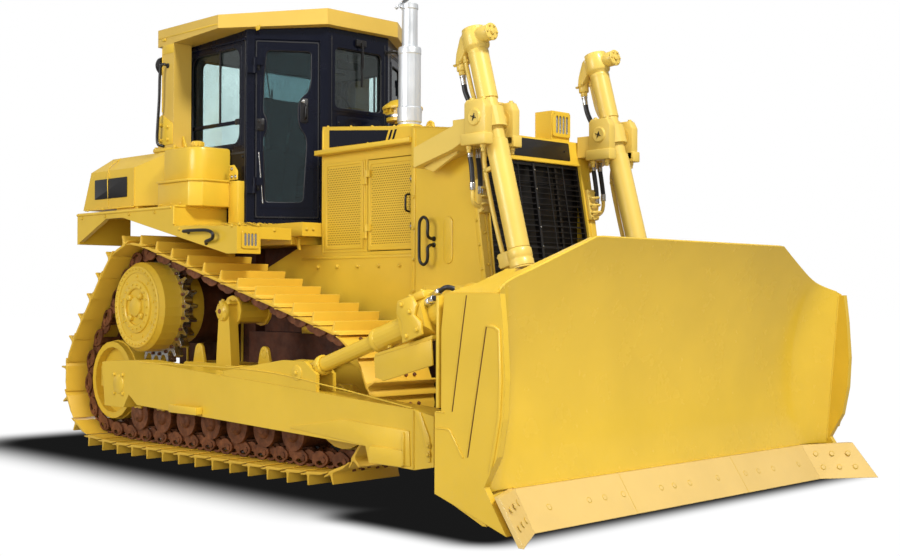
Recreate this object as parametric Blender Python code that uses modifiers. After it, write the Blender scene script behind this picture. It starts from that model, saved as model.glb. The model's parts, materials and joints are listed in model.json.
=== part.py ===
"""A crawler bulldozer with raised drive sprockets and a semi-U blade, at its real size.

Metres, X forward, Y to the machine's left, Z up, the ground at Z = 0.
The right-hand pieces end in _R (Y below zero) and the left-hand ones in _L.
"""

from math import asin, atan2, ceil, cos, degrees, floor, hypot, pi, radians, sin, sqrt, tan

import bmesh
import bpy
from mathutils import Matrix, Vector

# Clearances
GAP = 0.0003            # between pieces that touch
RUN = 0.005             # beside a moving piece
OVERRUN = 0.02          # a cutter past the face that it cuts
BITE = 0.01             # one fused shape into the next

# Track: shoes, chain and the wheels that carry it
GAUGE = 1.98            # between the middles of the two tracks
SHOE_WIDTH = 0.56
SHOE_COUNT = 40
PHASE_SHARE = 0.45      # where the first pin stands along its link
PITCH = 0.216
PIN_HEIGHT = 0.144      # pins above the ground, grousers standing on it
SHOE_OUT = 0.073        # outer face of a shoe from its pins
SHOE_IN = 0.053
SHOE_NOTCH = 0.010      # the valley where two shoes meet
GROUSER_FOOT = 0.036
GROUSER_TIP = 0.014
GROUSER_AT_SHARE = 0.80
RAIL_IN = 0.062
RAIL_NEAR = 0.070       # a chain rail's near side from the track's middle
RAIL_FAR = 0.113
IDLER_PIN_RADIUS = 0.390
REAR_IDLER_X = -2.253
FRONT_IDLER_X = 0.637
IDLER_LIFT = 0.015    # idlers ride this much above the level run
SPROCKET_X = -1.70
SPROCKET_Z = 1.140
SPROCKET_PIN_RADIUS = 0.430
SPROCKET_TEETH = 25
SPROCKET_THICK = 0.056
TOOTH_TIP = 0.452
TOOTH_ROOT = 0.388
SPROCKET_BORE = 0.300
TOOTH = ((0.22, 0), (0.40, 1), (0.60, 1), (0.78, 0))    # share of the step, root (0) or tip (1)

# Track frame, rollers, idler shafts, trunnion
FRAME_HALF = 0.140
FRAME_LOW = 0.370
FRAME_HIGH = 0.620
FRAME_HUMP = 0.740
FRAME_HUMP_REAR = -1.150
FRAME_HUMP_FRONT = 0.050
FRAME_SLOPE = 0.150      # length of the slopes at the hump's ends
FRAME_REAR = -1.870
FRAME_FRONT = 0.245
ROLLER_COUNT = 7
ROLLER_REAR = -1.790
ROLLER_FRONT = 0.150
ROLLER_RADIUS = 0.100
FLANGE_RADIUS = 0.120
FLANGE_NEAR = 0.116
FLANGE_FAR = 0.136
CHEEK_NEAR = 0.118      # idler cheek plates from the track's middle
CHEEK_THICK = 0.026
CHEEK_LOW = 0.500
CHEEK_HIGH = 0.660
CHEEK_PAST = 0.110      # cheek beyond the idler's centre
IDLER_FLANGE_RADIUS = 0.320
IDLER_FLANGE_HALF = 0.060
IDLER_HUB_RADIUS = 0.110
IDLER_WEB_RADIUS = 0.262
IDLER_WEB_HALF = 0.045
IDLER_TREAD_HALF = 0.110
TRUNNION_X = -1.500
TRUNNION_Z = 0.570
TRUNNION_BOSS = 0.120
TRUNNION_PIN = 0.070
ARM_IN = 1.310
ARM_OUT = 1.480
CARRIER_X = -0.560
CARRIER_RADIUS = 0.090
CARRIER_DROP = 0.003
POST_THICK = 0.070
POST_WIDE = 0.230
POST_TOP_WIDE = 0.120

# Main frame, cases and axles
FRAME_WIDE = 0.960
BELLY_LOW = 0.450
BELLY_HIGH = 0.950
BELLY_REAR = -1.250
BELLY_FRONT = 1.400
NOSE_RISE = 0.160
EQUALIZER_X = 0.400
EQUALIZER_WIDE = 0.200
EQUALIZER_DEEP = 0.110
PIVOT_X = -0.950
PIVOT_Z = 0.560
PIVOT_RADIUS = 0.075
CASE_REAR = -2.330
CASE_HALF = 0.420
CASE_LOW = 0.500
CASE_HIGH = 1.600
AXLE_RADIUS = 0.290
AXLE_HALF = 0.790
HITCH_REAR = -2.840
HITCH_HALF = 0.170
HITCH_LOW = 0.430
HITCH_HIGH = 0.800
HITCH_SLOT_LOW = 0.560
HITCH_SLOT_HIGH = 0.680
HITCH_SLOT_DEEP = 0.220
HITCH_PIN_RADIUS = 0.045
HITCH_PIN_PROUD = 0.050
GEARBOX_HALF = 0.330
ENGINE_REAR = -0.262
ENGINE_FRONT = 0.930
ENGINE_HALF = 0.330
ENGINE_HIGH = 1.950

# Final drives
DRIVE_FACE = 1.210
DRIVE_DISC = 0.318
DRIVE_RIM = 0.345
DRIVE_DRUM = 0.348
DRIVE_STEP = 0.036

# Hood, side guards and engine doors
HOOD_REAR = -0.300
HOOD_FRONT = 0.720
HOOD_HALF = 0.520
HOOD_WALL = 0.030
HOOD_TOP_REAR = 2.460
HOOD_TOP_FRONT = 2.372
HOOD_LOW = 1.515
SIDE_GUARD_REAR = -0.535
SIDE_GUARD_THICK = 0.050
GUSSET_REAR = -1.000
GUSSET_HIGH = 1.425
GUSSET_LOW = 1.200
DOOR_LOW = 1.540
DOOR_HIGH = 2.185
DOOR_REAR = 0.205
DOOR_FRONT = 0.692
DOOR_THICK = 0.028
ENGINE_HINGE_HEIGHTS = (1.68, 2.06)
ENGINE_HINGE_LONG = 0.050
ENGINE_HINGE_RADIUS = 0.010
ENGINE_HINGE_OUT = 0.014
LEDGE_LOW_REAR = 2.245
LEDGE_LOW_FRONT = 2.260
LEDGE_THICK = 0.035
LEDGE_OUT = 0.075

# Radiator guard and grille
GUARD_HALF = 0.580
GUARD_WALL = 0.050
GUARD_TOP_REAR = 2.372
GUARD_TOP_FRONT = 2.300
GUARD_FRONT_HIGH = 1.275
GUARD_FRONT_LOW = 1.480
GUARD_LOW = 0.955
GRILLE_HALF_HIGH = 0.470
GRILLE_HALF_LOW = 0.515
GRILLE_HIGH = 2.130
GRILLE_LOW = 0.990
GRILLE_BAR = 0.010
GRILLE_DEEP = 0.030
GRILLE_BARS = 3
GRILLE_SLATS = 7
CORE_REAR = 1.080
CORE_FRONT = 1.240

# Lift cylinders and yokes
LIFT_Y = 0.610
YOKE_X = 1.495
YOKE_Z = 2.335
ROD_EYE_X = 2.020
ROD_EYE_Z = 0.450
BARREL_RADIUS = 0.060
BARREL_UP = 0.600
BARREL_DOWN = 0.965
BARREL_CAP_RADIUS = 0.078
BARREL_CAP = 0.120
GLAND_RADIUS = 0.074
GLAND = 0.070
ROD_RADIUS = 0.038
ROD_HOME = 0.350        # the rod's inner end from the trunnion, blade on the ground
BORE_RADIUS = 0.052
COLLAR_HALF = 0.085
COLLAR_LONG = 0.130
BARREL_PIN = 0.042
YOKE_IN = 0.465
YOKE_OUT = 0.755
YOKE_PLATE = 0.055
YOKE_FRONT = 1.570
YOKE_LOW = 2.190
YOKE_NOSE = 0.070         # radius of the lugs round the trunnion
YOKE_BACK = 0.083
YOKE_ARM_REAR = 0.930
YOKE_ARM_LOW = 2.060
EYE_RADIUS = 0.075
EYE_HALF = 0.045
EYE_PIN = 0.030
EYE_DRIFT = 0.014    # the eye wanders this much round its pin

# Cab, doors, roof and posts
CAB_FLOOR = 1.760
CAB_TOP = 3.300
CAB_REAR = -1.680
CAB_HALF = 0.800
CAB_CORNER = -0.853     # where the side turns into the door
CAB_FRONT = -0.504
CAB_FRONT_HALF = 0.303
CAB_WALL = 0.060
CAB_SILL = 0.050
CAB_CEILING = 3.120
DOOR_EDGE = 0.060       # frame beside a cab door
CAB_DOOR_LOW = 1.800
CAB_DOOR_HIGH = 3.150
CAB_DOOR_THICK = 0.045
CAB_GLASS = 0.008
CAB_HINGE_HEIGHTS = (2.05, 2.95)
CAB_HINGE_LONG = 0.060
CAB_HINGE_RADIUS = 0.014
CAB_HINGE_OUT = 0.020
WINDOW_EDGE = 0.055
FRONT_GLASS_LOW = 2.640
FRONT_GLASS_HIGH = 3.130
SIDE_GLASS_LOW = 2.360
SIDE_GLASS_HIGH = 3.110
SIDE_GLASS_REAR = -1.600
SIDE_GLASS_FRONT = -0.930
DOOR_GLASS_LOW = 1.900
DOOR_GLASS_HIGH = 3.080
ROOF_REAR = -1.757
ROOF_HALF = CAB_HALF + 0.200
ROOF_CORNER = -0.934
ROOF_FRONT = -0.448
ROOF_FRONT_HALF = 0.355
ROOF_HIGH = 3.385
ROOF_RIM = 3.310        # top of the rim along the sides
ROOF_UNDER = ((-1.757, 3.175), (-0.934, 3.210), (-0.448, 3.265))    # the underside: x, z
ROOF_SKIRT = 0.200      # how far a post or the roof's middle passes its neighbours
POST_FRONT = -1.530
POST_REAR = -1.690
POST_FOOT_REAR = -1.755
POST_FLARE = 2.640      # the foot widens below this height
POST_IN = CAB_HALF + 0.040
POST_OUT = CAB_HALF + 0.200
POST_FOOT = 2.375
POST_PLATE_OUT = 0.050

# Platform, fenders and tanks
PLATFORM_LOW = 1.601
PLATFORM_HALF = 0.700
PLATFORM_REAR = -1.700
PLATFORM_FRONT = -0.303
PLATFORM_BAND = 0.100
PLATFORM_LIP = 0.130
FENDER_OUT = 1.270
FENDER_THICK = 0.030
FENDER_REAR = -2.520
FENDER_TOP = 1.890
FENDER_STEP = -1.100
FENDER_STEP_TOP = 1.740
FENDER_FRONT = -0.300
FENDER_FRONT_LOW = 1.520
FENDER_REAR_LOW = 1.640
FENDER_SKIRT = 0.035
FENDER_LIP = 0.060
FENDER_NOSE_IN = 1.070   # the full-depth front face starts here
FENDER_BAND = 0.085
FENDER_ARCH = 0.450      # the wheel arch runs this far
FENDER_RISE = 0.720
TANK_LOW_OUT = 1.170
TANK_LOW_FRONT = -0.985
TANK_LOW_HIGH = 2.085
TANK_HIGH_OUT = 1.120
TANK_HIGH_FRONT = -1.045
TANK_REAR = -1.480
TANK_HIGH = 2.340
TANK_LEDGE = 0.020
TANK_CORNER = 0.070      # bevel of the front outer corners
TANK_PILLAR_FRONT = -0.870
TANK_PILLAR_OUT = 0.060  # outward from the cab
FUEL_FRONT = -1.705
FUEL_REAR = -2.700
FUEL_REAR_HIGH = -2.570
FUEL_TURN = -1.900       # the side turns inward here
FUEL_NOSE = -1.490       # its front beside the cab
FUEL_NOSE_HALF = 1.000
FUEL_BEVEL = 0.110
FUEL_FOOT_WIDE = 0.200
FUEL_HALF = 1.120
FUEL_SHOULDER = 2.235
FUEL_HIGH = 2.345
FUEL_CHAMFER = 0.160
FUEL_LOW = 1.930    # Stack, pre-cleaner, lamps
STACK_X = 0.345
STACK_Y = -0.250
STACK_RADIUS = 0.080
STACK_TOP_RADIUS = 0.056
STACK_STEP = 2.990
STACK_TOP = 3.300
CLEANER_X = -0.220
CLEANER_Y = 0.200
CLEANER_NECK = 0.060
CLEANER_RADIUS = 0.125
CLEANER_LID = 0.153
CLEANER_LID_TOP = 0.090
CLEANER_DEEP = 0.160
CLEANER_HIGH = 2.720
LAMP_REAR = 1.100
LAMP_FRONT = 1.250
LAMP_IN = 0.240
LAMP_OUT = 0.430
LAMP_HIGH = 2.505    # Seat and console
SEAT_X = -1.080
SEAT_WIDE = 0.500
SEAT_DEEP = 0.480
SEAT_LOW = 2.080
SEAT_THICK = 0.130
BACK_HIGH = 2.830
BACK_THICK = 0.120
PEDESTAL_WIDE = 0.340
DASH_FRONT = -0.580
DASH_DEEP = 0.170
DASH_HALF = 0.220
DASH_HIGH = 2.520

# Blade
BLADE_HALF = 1.750
BOARD_FOOT_X = 2.430
BOARD_FOOT_Z = 0.225
BOARD_TOP_X = 2.620
BOARD_TOP_Z = 1.551
BOARD_SAG = 0.105
BOARD_THICK = 0.030
BACK_HIGH_X = 2.240
BACK_HIGH_Z = 1.243
BACK_MID_X = 2.215
BACK_STEP_Z = 0.620
BACK_LOW_X = 2.167
BACK_LOW_Z = 0.190
BACK_FOOT_Z = 0.060
END_THICK = 0.040
END_EDGE = ((2.620, 0.420), (2.660, 0.611), (2.672, 0.810), (2.656, 1.058), (2.635, 1.240))    # front edge: x, z
END_SOLE = ((2.429, 0.111), (2.683, 0.032), (2.528, 0.260))     # lower edge: x, z
END_FRONT_X = 2.672
END_WAIST_Z = 1.050
WING_SLOPE = 0.600      # forward per metre outward
WING_LOW_X = 2.528      # the wing's outer edge at the foot and at the top
WING_HIGH_X = 2.618
WING_FOOT_Z = 0.260
WING_TOP_Z = 1.240
TOP_FLAT = 0.955
KINK_Y = 1.400
KINK_Z = 1.365
EDGE_HALF = 1.448
EDGE_TIP_X = 2.602
EDGE_HIGH_X = 2.460
EDGE_HIGH_Z = 0.215
EDGE_THICK = 0.030
BIT_TIP_X = 2.840
BIT_TIP_Y = 1.796
BIT_HIGH_X = 2.660
BIT_HIGH_Y = 1.778
BIT_HIGH_Z = 0.225
LUG_THICK = 0.045
LUG_RISE = 0.110
WING_REACH = 0.500

# Push arms, braces
ARM_REAR = -1.740
ARM_FRONT = 1.720
ARM_NOSE = 1.880
ARM_NECK_X = -1.240
ARM_REAR_LOW = 0.400
ARM_REAR_HIGH = 0.735
ARM_HIGH = 0.755
ARM_LOW = 0.430
ARM_FRONT_HIGH = 0.587
ARM_FRONT_LOW = 0.245
ARM_STEP_X = 1.330
ARM_STEP_LOW = 0.345
ARM_STEP_LONG = 0.030
ARM_HEEL_LONG = 0.190    # the trunnion boss's lower edge, forward of its neck
ARM_HEEL_FRONT = 0.115
ARM_HEEL_RISE = 0.100
BRACKET_REAR = -0.160
BRACKET_FRONT = 0.830
BRACKET_HIGH = 0.820
BRACKET_THICK = 0.028
BRACE_EYE_X = 0.640
BRACE_EYE_Z = 0.745
BRACE_Y = 1.395
BRACE_TOP_X = 2.130
BRACE_TOP_Z = 1.225
BRACE_EYE_RADIUS = 0.075
BRACE_EYE_HALF = 0.052
TILT_ROD_RADIUS = 0.048
TILT_BARREL_RADIUS = 0.073
TILT_HEAD_RADIUS = 0.135
TILT_BARREL_AT_SHARE = 0.45
TILT_HEAD_AT_SHARE = 0.66
TILT_TAIL_AT_SHARE = 0.79
EARS_AT_SHARE = 0.85
BRACE_TUBE_RADIUS = 0.062

YELLOW = (0.80, 0.50, 0.07)
PALE_STEEL = (0.62, 0.62, 0.60)
DARK = (0.02, 0.022, 0.028)
GLASS = (0.05, 0.09, 0.09)
IRON = (0.20, 0.12, 0.07)
SEAT_GREY = (0.06, 0.06, 0.06)

PARTS = "bulldozer"
CUTTERS = "cutters"


def clear_scene():
    for obj in list(bpy.data.objects):
        bpy.data.objects.remove(obj, do_unlink=True)
    for name in (PARTS, CUTTERS):
        bpy.context.scene.collection.children.link(bpy.data.collections.new(name))


def material(name, colour, roughness, metallic=0.0):
    made = bpy.data.materials.get(name)
    if made is None:
        made = bpy.data.materials.new(name)
        made.use_nodes = True
        shader = made.node_tree.nodes["Principled BSDF"]
        shader.inputs["Base Color"].default_value = (*colour, 1.0)
        shader.inputs["Roughness"].default_value = roughness
        shader.inputs["Metallic"].default_value = metallic
    return made


def paint():
    return material("yellow_paint", YELLOW, 0.35)


def dark_paint():
    return material("dark_paint", DARK, 0.4)


def iron():
    return material("brown_iron", IRON, 0.6, 0.6)


def steel():
    return material("bright_steel", PALE_STEEL, 0.3, 1.0)


def glass():
    return material("dark_glass", GLASS, 0.05)


# Shapes, each a mesh object in world coordinates

def placed(mesh, name):
    obj = bpy.data.objects.new(name, mesh)
    bpy.data.collections[PARTS].objects.link(obj)
    return obj


def from_bmesh(bm, name):
    bmesh.ops.recalc_face_normals(bm, faces=bm.faces)
    mesh = bpy.data.meshes.new(name)
    bm.to_mesh(mesh)
    bm.free()
    return placed(mesh, name)


def block(name, x, y, z):
    """A box between two values on each axis."""
    bm = bmesh.new()
    bmesh.ops.create_cube(bm, size=1.0)
    size = Vector((abs(x[1] - x[0]), abs(y[1] - y[0]), abs(z[1] - z[0])))
    middle = Vector((x[0] + x[1], y[0] + y[1], z[0] + z[1])) / 2
    bmesh.ops.transform(bm, matrix=Matrix.Translation(middle) @ Matrix.Diagonal((*size, 1.0)), verts=bm.verts)
    return from_bmesh(bm, name)


def bar(name, start, end, radius, sides=16, end_radius=None, spin=0.0):
    """A round bar or a cone between two points, its facets spun by an angle."""
    start, end = Vector(start), Vector(end)
    along = end - start
    bm = bmesh.new()
    top = radius if end_radius is None else end_radius
    bmesh.ops.create_cone(bm, cap_ends=True, segments=sides, radius1=radius, radius2=top, depth=along.length)
    turn = along.to_track_quat("Z", "Y").to_matrix().to_4x4()
    turn = turn @ Matrix.Rotation(spin, 4, "Z")
    bmesh.ops.transform(bm, matrix=Matrix.Translation((start + end) / 2) @ turn, verts=bm.verts)
    return from_bmesh(bm, name)


def socket(start, end, pin_radius, sides):
    """The cutter for a pin's hole: its facets clear the pin's corners however far the pin turns."""
    return bar("socket", start, end, (pin_radius + GAP) / cos(pi / sides), sides, spin=pi / sides)


AXIS_TURNS = {
    "x": Matrix(((0, 0, 1, 0), (1, 0, 0, 0), (0, 1, 0, 0), (0, 0, 0, 1))),
    "y": Matrix(((1, 0, 0, 0), (0, 0, -1, 0), (0, 1, 0, 0), (0, 0, 0, 1))),
    "z": Matrix.Identity(4),
}


def slab(name, outlines, axis, low, high):
    """Flat outlines (one, or an outer one and its holes) drawn across an axis and carried from low to high."""
    if not isinstance(outlines[0][0], (tuple, list)):
        outlines = [outlines]
    curve = bpy.data.curves.new(name, "CURVE")
    curve.dimensions = "2D"
    curve.fill_mode = "BOTH"
    curve.extrude = abs(high - low) / 2
    for outline in outlines:
        spline = curve.splines.new("POLY")
        spline.points.add(len(outline) - 1)
        for point, (across, up) in zip(spline.points, outline):
            point.co = (across, up, 0.0, 1.0)
        spline.use_cyclic_u = True
    drawn = placed(curve, name)
    bpy.context.view_layer.update()
    graph = bpy.context.evaluated_depsgraph_get()
    mesh = bpy.data.meshes.new_from_object(drawn.evaluated_get(graph))
    bpy.data.objects.remove(drawn, do_unlink=True)
    middle = (low + high) / 2
    shift = {"x": (middle, 0, 0), "y": (0, middle, 0), "z": (0, 0, middle)}[axis]
    mesh.transform(Matrix.Translation(shift) @ AXIS_TURNS[axis])
    bm = bmesh.new()
    bm.from_mesh(mesh)
    bmesh.ops.remove_doubles(bm, verts=bm.verts, dist=GAP / 10)
    return from_bmesh(bm, name)


def turned(name, profile, centre, steps, side=1):
    """A closed (radius, along) profile turned about an axis along Y through a centre (x, z)."""
    bm = bmesh.new()
    verts = [bm.verts.new((radius, 0.0, along)) for radius, along in profile]
    for first, second in zip(verts, verts[1:]):
        bm.edges.new((first, second))
    mesh = bpy.data.meshes.new(name)
    bm.to_mesh(mesh)
    bm.free()
    obj = placed(mesh, name)
    screw = obj.modifiers.new("turn", "SCREW")
    screw.steps = screw.render_steps = steps
    screw.use_merge_vertices = True
    screw.merge_threshold = GAP / 10
    made = baked(obj)
    made.data.transform(
        Matrix.Translation((centre[0], 0, centre[1])) @ Matrix.Diagonal((1, side, 1, 1)) @ AXIS_TURNS["y"]
        @ Matrix.Diagonal((1, 1, -1, 1))
    )
    bm = bmesh.new()
    bm.from_mesh(made.data)
    bmesh.ops.recalc_face_normals(bm, faces=bm.faces)
    bm.to_mesh(made.data)
    bm.free()
    return made


def baked(obj):
    """The object with its modifiers applied."""
    bpy.context.view_layer.update()
    graph = bpy.context.evaluated_depsgraph_get()
    mesh = bpy.data.meshes.new_from_object(obj.evaluated_get(graph))
    name = obj.name
    bpy.data.objects.remove(obj, do_unlink=True)
    return placed(mesh, name)


def merged(name, pieces, cuts=()):
    """The pieces as one body, less the cuts."""
    first, *others = pieces
    for number, (other, operation) in enumerate(
        [(piece, "UNION") for piece in others] + [(cutter, "DIFFERENCE") for cutter in cuts]
    ):
        modifier = first.modifiers.new(f"step_{number}", "BOOLEAN")
        modifier.operation = operation
        modifier.object = other
    first.name = name
    made = baked(first)
    for other in [*others, *cuts]:
        bpy.data.objects.remove(other, do_unlink=True)
    made.name = name
    return made


def finish(obj, look, name=None):
    """Gives a piece its material and shading."""
    if name:
        obj.name = name
    obj.data.materials.clear()
    obj.data.materials.append(look)
    obj.data.shade_smooth()
    obj.data.set_sharp_from_angle(angle=radians(30))
    return obj


def both_sides():
    return (("R", -1), ("L", 1))


def span(side, near, far):
    """Two distances from the machine's middle as Y values on one side."""
    return (side * near, side * far)


def arc_points(centre, radius, start, end, steps):
    """Points on an arc between two angles in degrees."""
    angles = [radians(start + (end - start) * i / steps) for i in range(steps + 1)]
    return [(centre[0] + radius * cos(a), centre[1] + radius * sin(a)) for a in angles]


# The track's path

def tangent_run(first, first_radius, second, second_radius):
    """Outer tangent points of two circles walked clockwise as seen from the machine's right."""
    dx, dz = second[0] - first[0], second[1] - first[1]
    length = hypot(dx, dz)
    heading = atan2(dz, dx)
    lean = asin((first_radius - second_radius) / length)
    normal = heading + pi / 2 - lean
    out = (cos(normal), sin(normal))
    return (
        (first[0] + first_radius * out[0], first[1] + first_radius * out[1]),
        (second[0] + second_radius * out[0], second[1] + second_radius * out[1]),
        normal,
    )


IDLER_Z = PIN_HEIGHT + IDLER_PIN_RADIUS + IDLER_LIFT


def pin_path():
    """Points along the pins' line, close together, round the three wheels and flat under the rollers."""
    flat = PIN_HEIGHT + IDLER_PIN_RADIUS
    wheels = (
        ((REAR_IDLER_X, IDLER_Z), IDLER_PIN_RADIUS),
        ((SPROCKET_X, SPROCKET_Z), SPROCKET_PIN_RADIUS),
        ((FRONT_IDLER_X, IDLER_Z), IDLER_PIN_RADIUS),
    )
    ramp = PITCH * 1.5
    points = []
    runs = [tangent_run(*wheels[i], *wheels[i + 1]) for i in range(2)]
    foot = -pi / 2
    arcs = (
        (wheels[0], 2 * pi + foot, runs[0][2]),
        (wheels[1], runs[0][2], runs[1][2]),
        (wheels[2], runs[1][2], foot),
    )
    for (centre, radius), start, end in arcs:
        count = max(2, ceil(abs(start - end) / radians(3)))
        for step in range(count + 1):
            angle = start + (end - start) * step / count
            points.append((centre[0] + radius * cos(angle), centre[1] + radius * sin(angle)))
    level = flat - IDLER_PIN_RADIUS
    points.append((FRONT_IDLER_X - ramp, level))
    points.append((REAR_IDLER_X + ramp, level))
    return points


def pins():
    """The pins, evenly spaced along the path."""
    path = pin_path()
    path.append(path[0])
    lengths = [0.0]
    for (ax, az), (bx, bz) in zip(path, path[1:]):
        lengths.append(lengths[-1] + hypot(bx - ax, bz - az))
    total = lengths[-1]
    found, at = [], 0
    for number in range(SHOE_COUNT):
        target = total * (number + PHASE_SHARE) / SHOE_COUNT
        while lengths[at + 1] < target:
            at += 1
        share = (target - lengths[at]) / (lengths[at + 1] - lengths[at])
        (ax, az), (bx, bz) = path[at], path[at + 1]
        found.append((ax + (bx - ax) * share, az + (bz - az) * share))
    return found


def link_frames():
    """For each link its first pin, unit direction, outward normal and length."""
    points = pins()
    frames = []
    for (ax, az), (bx, bz) in zip(points, points[1:] + points[:1]):
        length = hypot(bx - ax, bz - az)
        tx, tz = (bx - ax) / length, (bz - az) / length
        frames.append(((ax, az), (tx, tz), (-tz, tx), length))
    return frames


def offset_ring(distance):
    """The pins' polygon moved outward by a distance, with mitred corners."""
    frames = link_frames()
    ring = []
    for previous, frame in zip(frames[-1:] + frames[:-1], frames):
        mx, mz = previous[2][0] + frame[2][0], previous[2][1] + frame[2][1]
        scale = distance * 2 / (mx * mx + mz * mz)
        ring.append((frame[0][0] + mx * scale, frame[0][1] + mz * scale))
    return ring


def shoe_ring():
    """The outer outline of all shoes, five points a shoe: the valley before it and its grouser."""
    outline = []
    for (px, pz), (tx, tz), (nx, nz), length in link_frames():
        foot = length * GROUSER_AT_SHARE
        for along, out in (
            (0, SHOE_OUT - SHOE_NOTCH),
            (foot - GROUSER_FOOT / 2, SHOE_OUT),
            (foot - GROUSER_TIP / 2, PIN_HEIGHT),
            (foot + GROUSER_TIP / 2, PIN_HEIGHT),
            (foot + GROUSER_FOOT / 2, SHOE_OUT),
        ):
            outline.append((px + tx * along + nx * out, pz + tz * along + nz * out))
    return outline


def track(tag, side):
    """One closed loop: shoes outside, two chain rails inside, walked link by link."""
    middle, half = side * GAUGE / 2, SHOE_WIDTH / 2
    bm = bmesh.new()

    def row(points, across):
        return [bm.verts.new((x, middle + across, z)) for x, z in points]

    outer = [row(shoe_ring(), across) for across in (-half, half)]
    plate = [row(offset_ring(SHOE_IN), across) for across in (-half, -RAIL_FAR, -RAIL_NEAR, RAIL_NEAR, RAIL_FAR, half)]
    rails = [row(offset_ring(-RAIL_IN), across) for across in (-RAIL_FAR, -RAIL_NEAR, RAIL_NEAR, RAIL_FAR)]
    section = [plate[0], plate[1], rails[0], rails[1], plate[2], plate[3], rails[2], rails[3], plate[4], plate[5]]
    for first, second in [tuple(outer), *zip(section, section[1:])]:
        for i in range(len(first)):
            j = (i + 1) % len(first)
            bm.faces.new((first[i], first[j], second[j], second[i]))
    points = len(outer[0]) // SHOE_COUNT
    for edge, inner in ((outer[0], plate[0]), (outer[1], plate[-1])):
        for link in range(SHOE_COUNT):
            start = link * points
            face = [edge[(start + i) % len(edge)] for i in range(points + 1)]
            bm.faces.new(face + [inner[(link + 1) % SHOE_COUNT], inner[link]])
    finish(from_bmesh(bm, f"track_{tag}"), iron())


def wheel_face(pin_radius):
    """Radius of a wheel's tread that just clears the chain's rails."""
    return sqrt(pin_radius ** 2 - (PITCH / 2) ** 2) - RAIL_IN - 2 * GAP


def idler_profile():
    """An idler across its width, hub, web, tread and centre flange, from the track's middle."""
    tread = wheel_face(IDLER_PIN_RADIUS) - RUN / 2
    half, hub = IDLER_TREAD_HALF, CHEEK_NEAR + BITE
    profile = (
        (0, -hub), (IDLER_HUB_RADIUS, -hub), (IDLER_HUB_RADIUS, -IDLER_WEB_HALF),
        (IDLER_WEB_RADIUS, -IDLER_WEB_HALF), (IDLER_WEB_RADIUS, -half), (tread, -half),
        (tread, -IDLER_FLANGE_HALF), (IDLER_FLANGE_RADIUS, -IDLER_FLANGE_HALF),
        (IDLER_FLANGE_RADIUS, IDLER_FLANGE_HALF), (tread, IDLER_FLANGE_HALF), (tread, half),
        (IDLER_WEB_RADIUS, half), (IDLER_WEB_RADIUS, IDLER_WEB_HALF),
        (IDLER_HUB_RADIUS, IDLER_WEB_HALF), (IDLER_HUB_RADIUS, hub), (0, hub),
    )
    return [(radius, along + GAUGE / 2) for radius, along in profile]


def sprocket(tag, side):
    middle = GAUGE / 2
    frames = link_frames()
    nearest = min(frames, key=lambda f: hypot(f[0][0] - SPROCKET_X, f[0][1] - SPROCKET_Z - SPROCKET_PIN_RADIUS))
    phase = atan2(nearest[0][1] - SPROCKET_Z, nearest[0][0] - SPROCKET_X)
    step = 2 * pi / SPROCKET_TEETH
    outline = []
    for tooth in range(SPROCKET_TEETH):
        for share, tip in TOOTH:
            radius = TOOTH_ROOT + (TOOTH_TIP - TOOTH_ROOT) * tip
            angle = phase + (tooth + share) * step
            outline.append((SPROCKET_X + radius * cos(angle), SPROCKET_Z + radius * sin(angle)))
    bore = [
        (SPROCKET_X + SPROCKET_BORE * cos(2 * pi * i / 32), SPROCKET_Z + SPROCKET_BORE * sin(2 * pi * i / 32))
        for i in range(32)
    ]
    half = SPROCKET_THICK / 2
    ring = slab(f"sprocket_{tag}", [outline, bore], "y", side * (middle - half), side * (middle + half))
    return finish(ring, steel())


def final_drive(tag, side):
    middle = GAUGE / 2
    half = SPROCKET_THICK / 2 + GAP
    neck = SPROCKET_BORE * cos(pi / 32) - GAP
    inner = AXLE_HALF + GAP
    profile = (
        (0, inner), (AXLE_RADIUS, inner), (AXLE_RADIUS, middle - half - DRIVE_STEP),
        (neck, middle - half - DRIVE_STEP), (neck, middle + half),
        (DRIVE_DRUM, middle + half), (DRIVE_DRUM, middle + half + DRIVE_STEP * 2),
        (DRIVE_RIM, DRIVE_FACE - DRIVE_STEP), (DRIVE_DISC, DRIVE_FACE), (0, DRIVE_FACE),
    )
    return finish(turned(f"final_drive_{tag}", profile, (SPROCKET_X, SPROCKET_Z), 32, side), paint())


def roller(x, z, radius):
    middle = GAUGE / 2
    profile = (
        (0, -FLANGE_FAR), (radius + FLANGE_RADIUS - ROLLER_RADIUS, -FLANGE_FAR),
        (radius + FLANGE_RADIUS - ROLLER_RADIUS, -FLANGE_NEAR), (radius, -FLANGE_NEAR),
        (radius, FLANGE_NEAR), (radius + FLANGE_RADIUS - ROLLER_RADIUS, FLANGE_NEAR),
        (radius + FLANGE_RADIUS - ROLLER_RADIUS, FLANGE_FAR), (0, FLANGE_FAR),
    )
    return [(r, along + middle) for r, along in profile], (x, z)


def upper_rail_height(x):
    """Height of the chain rail's lower face on the upper run."""
    best = None
    for (px, pz), (tx, tz), (nx, nz), length in link_frames():
        if tx > 0 and nz > 0.5 and px <= x <= px + tx * length:
            best = pz + (x - px) * tz / tx - RAIL_IN / nz
    return best


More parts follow.
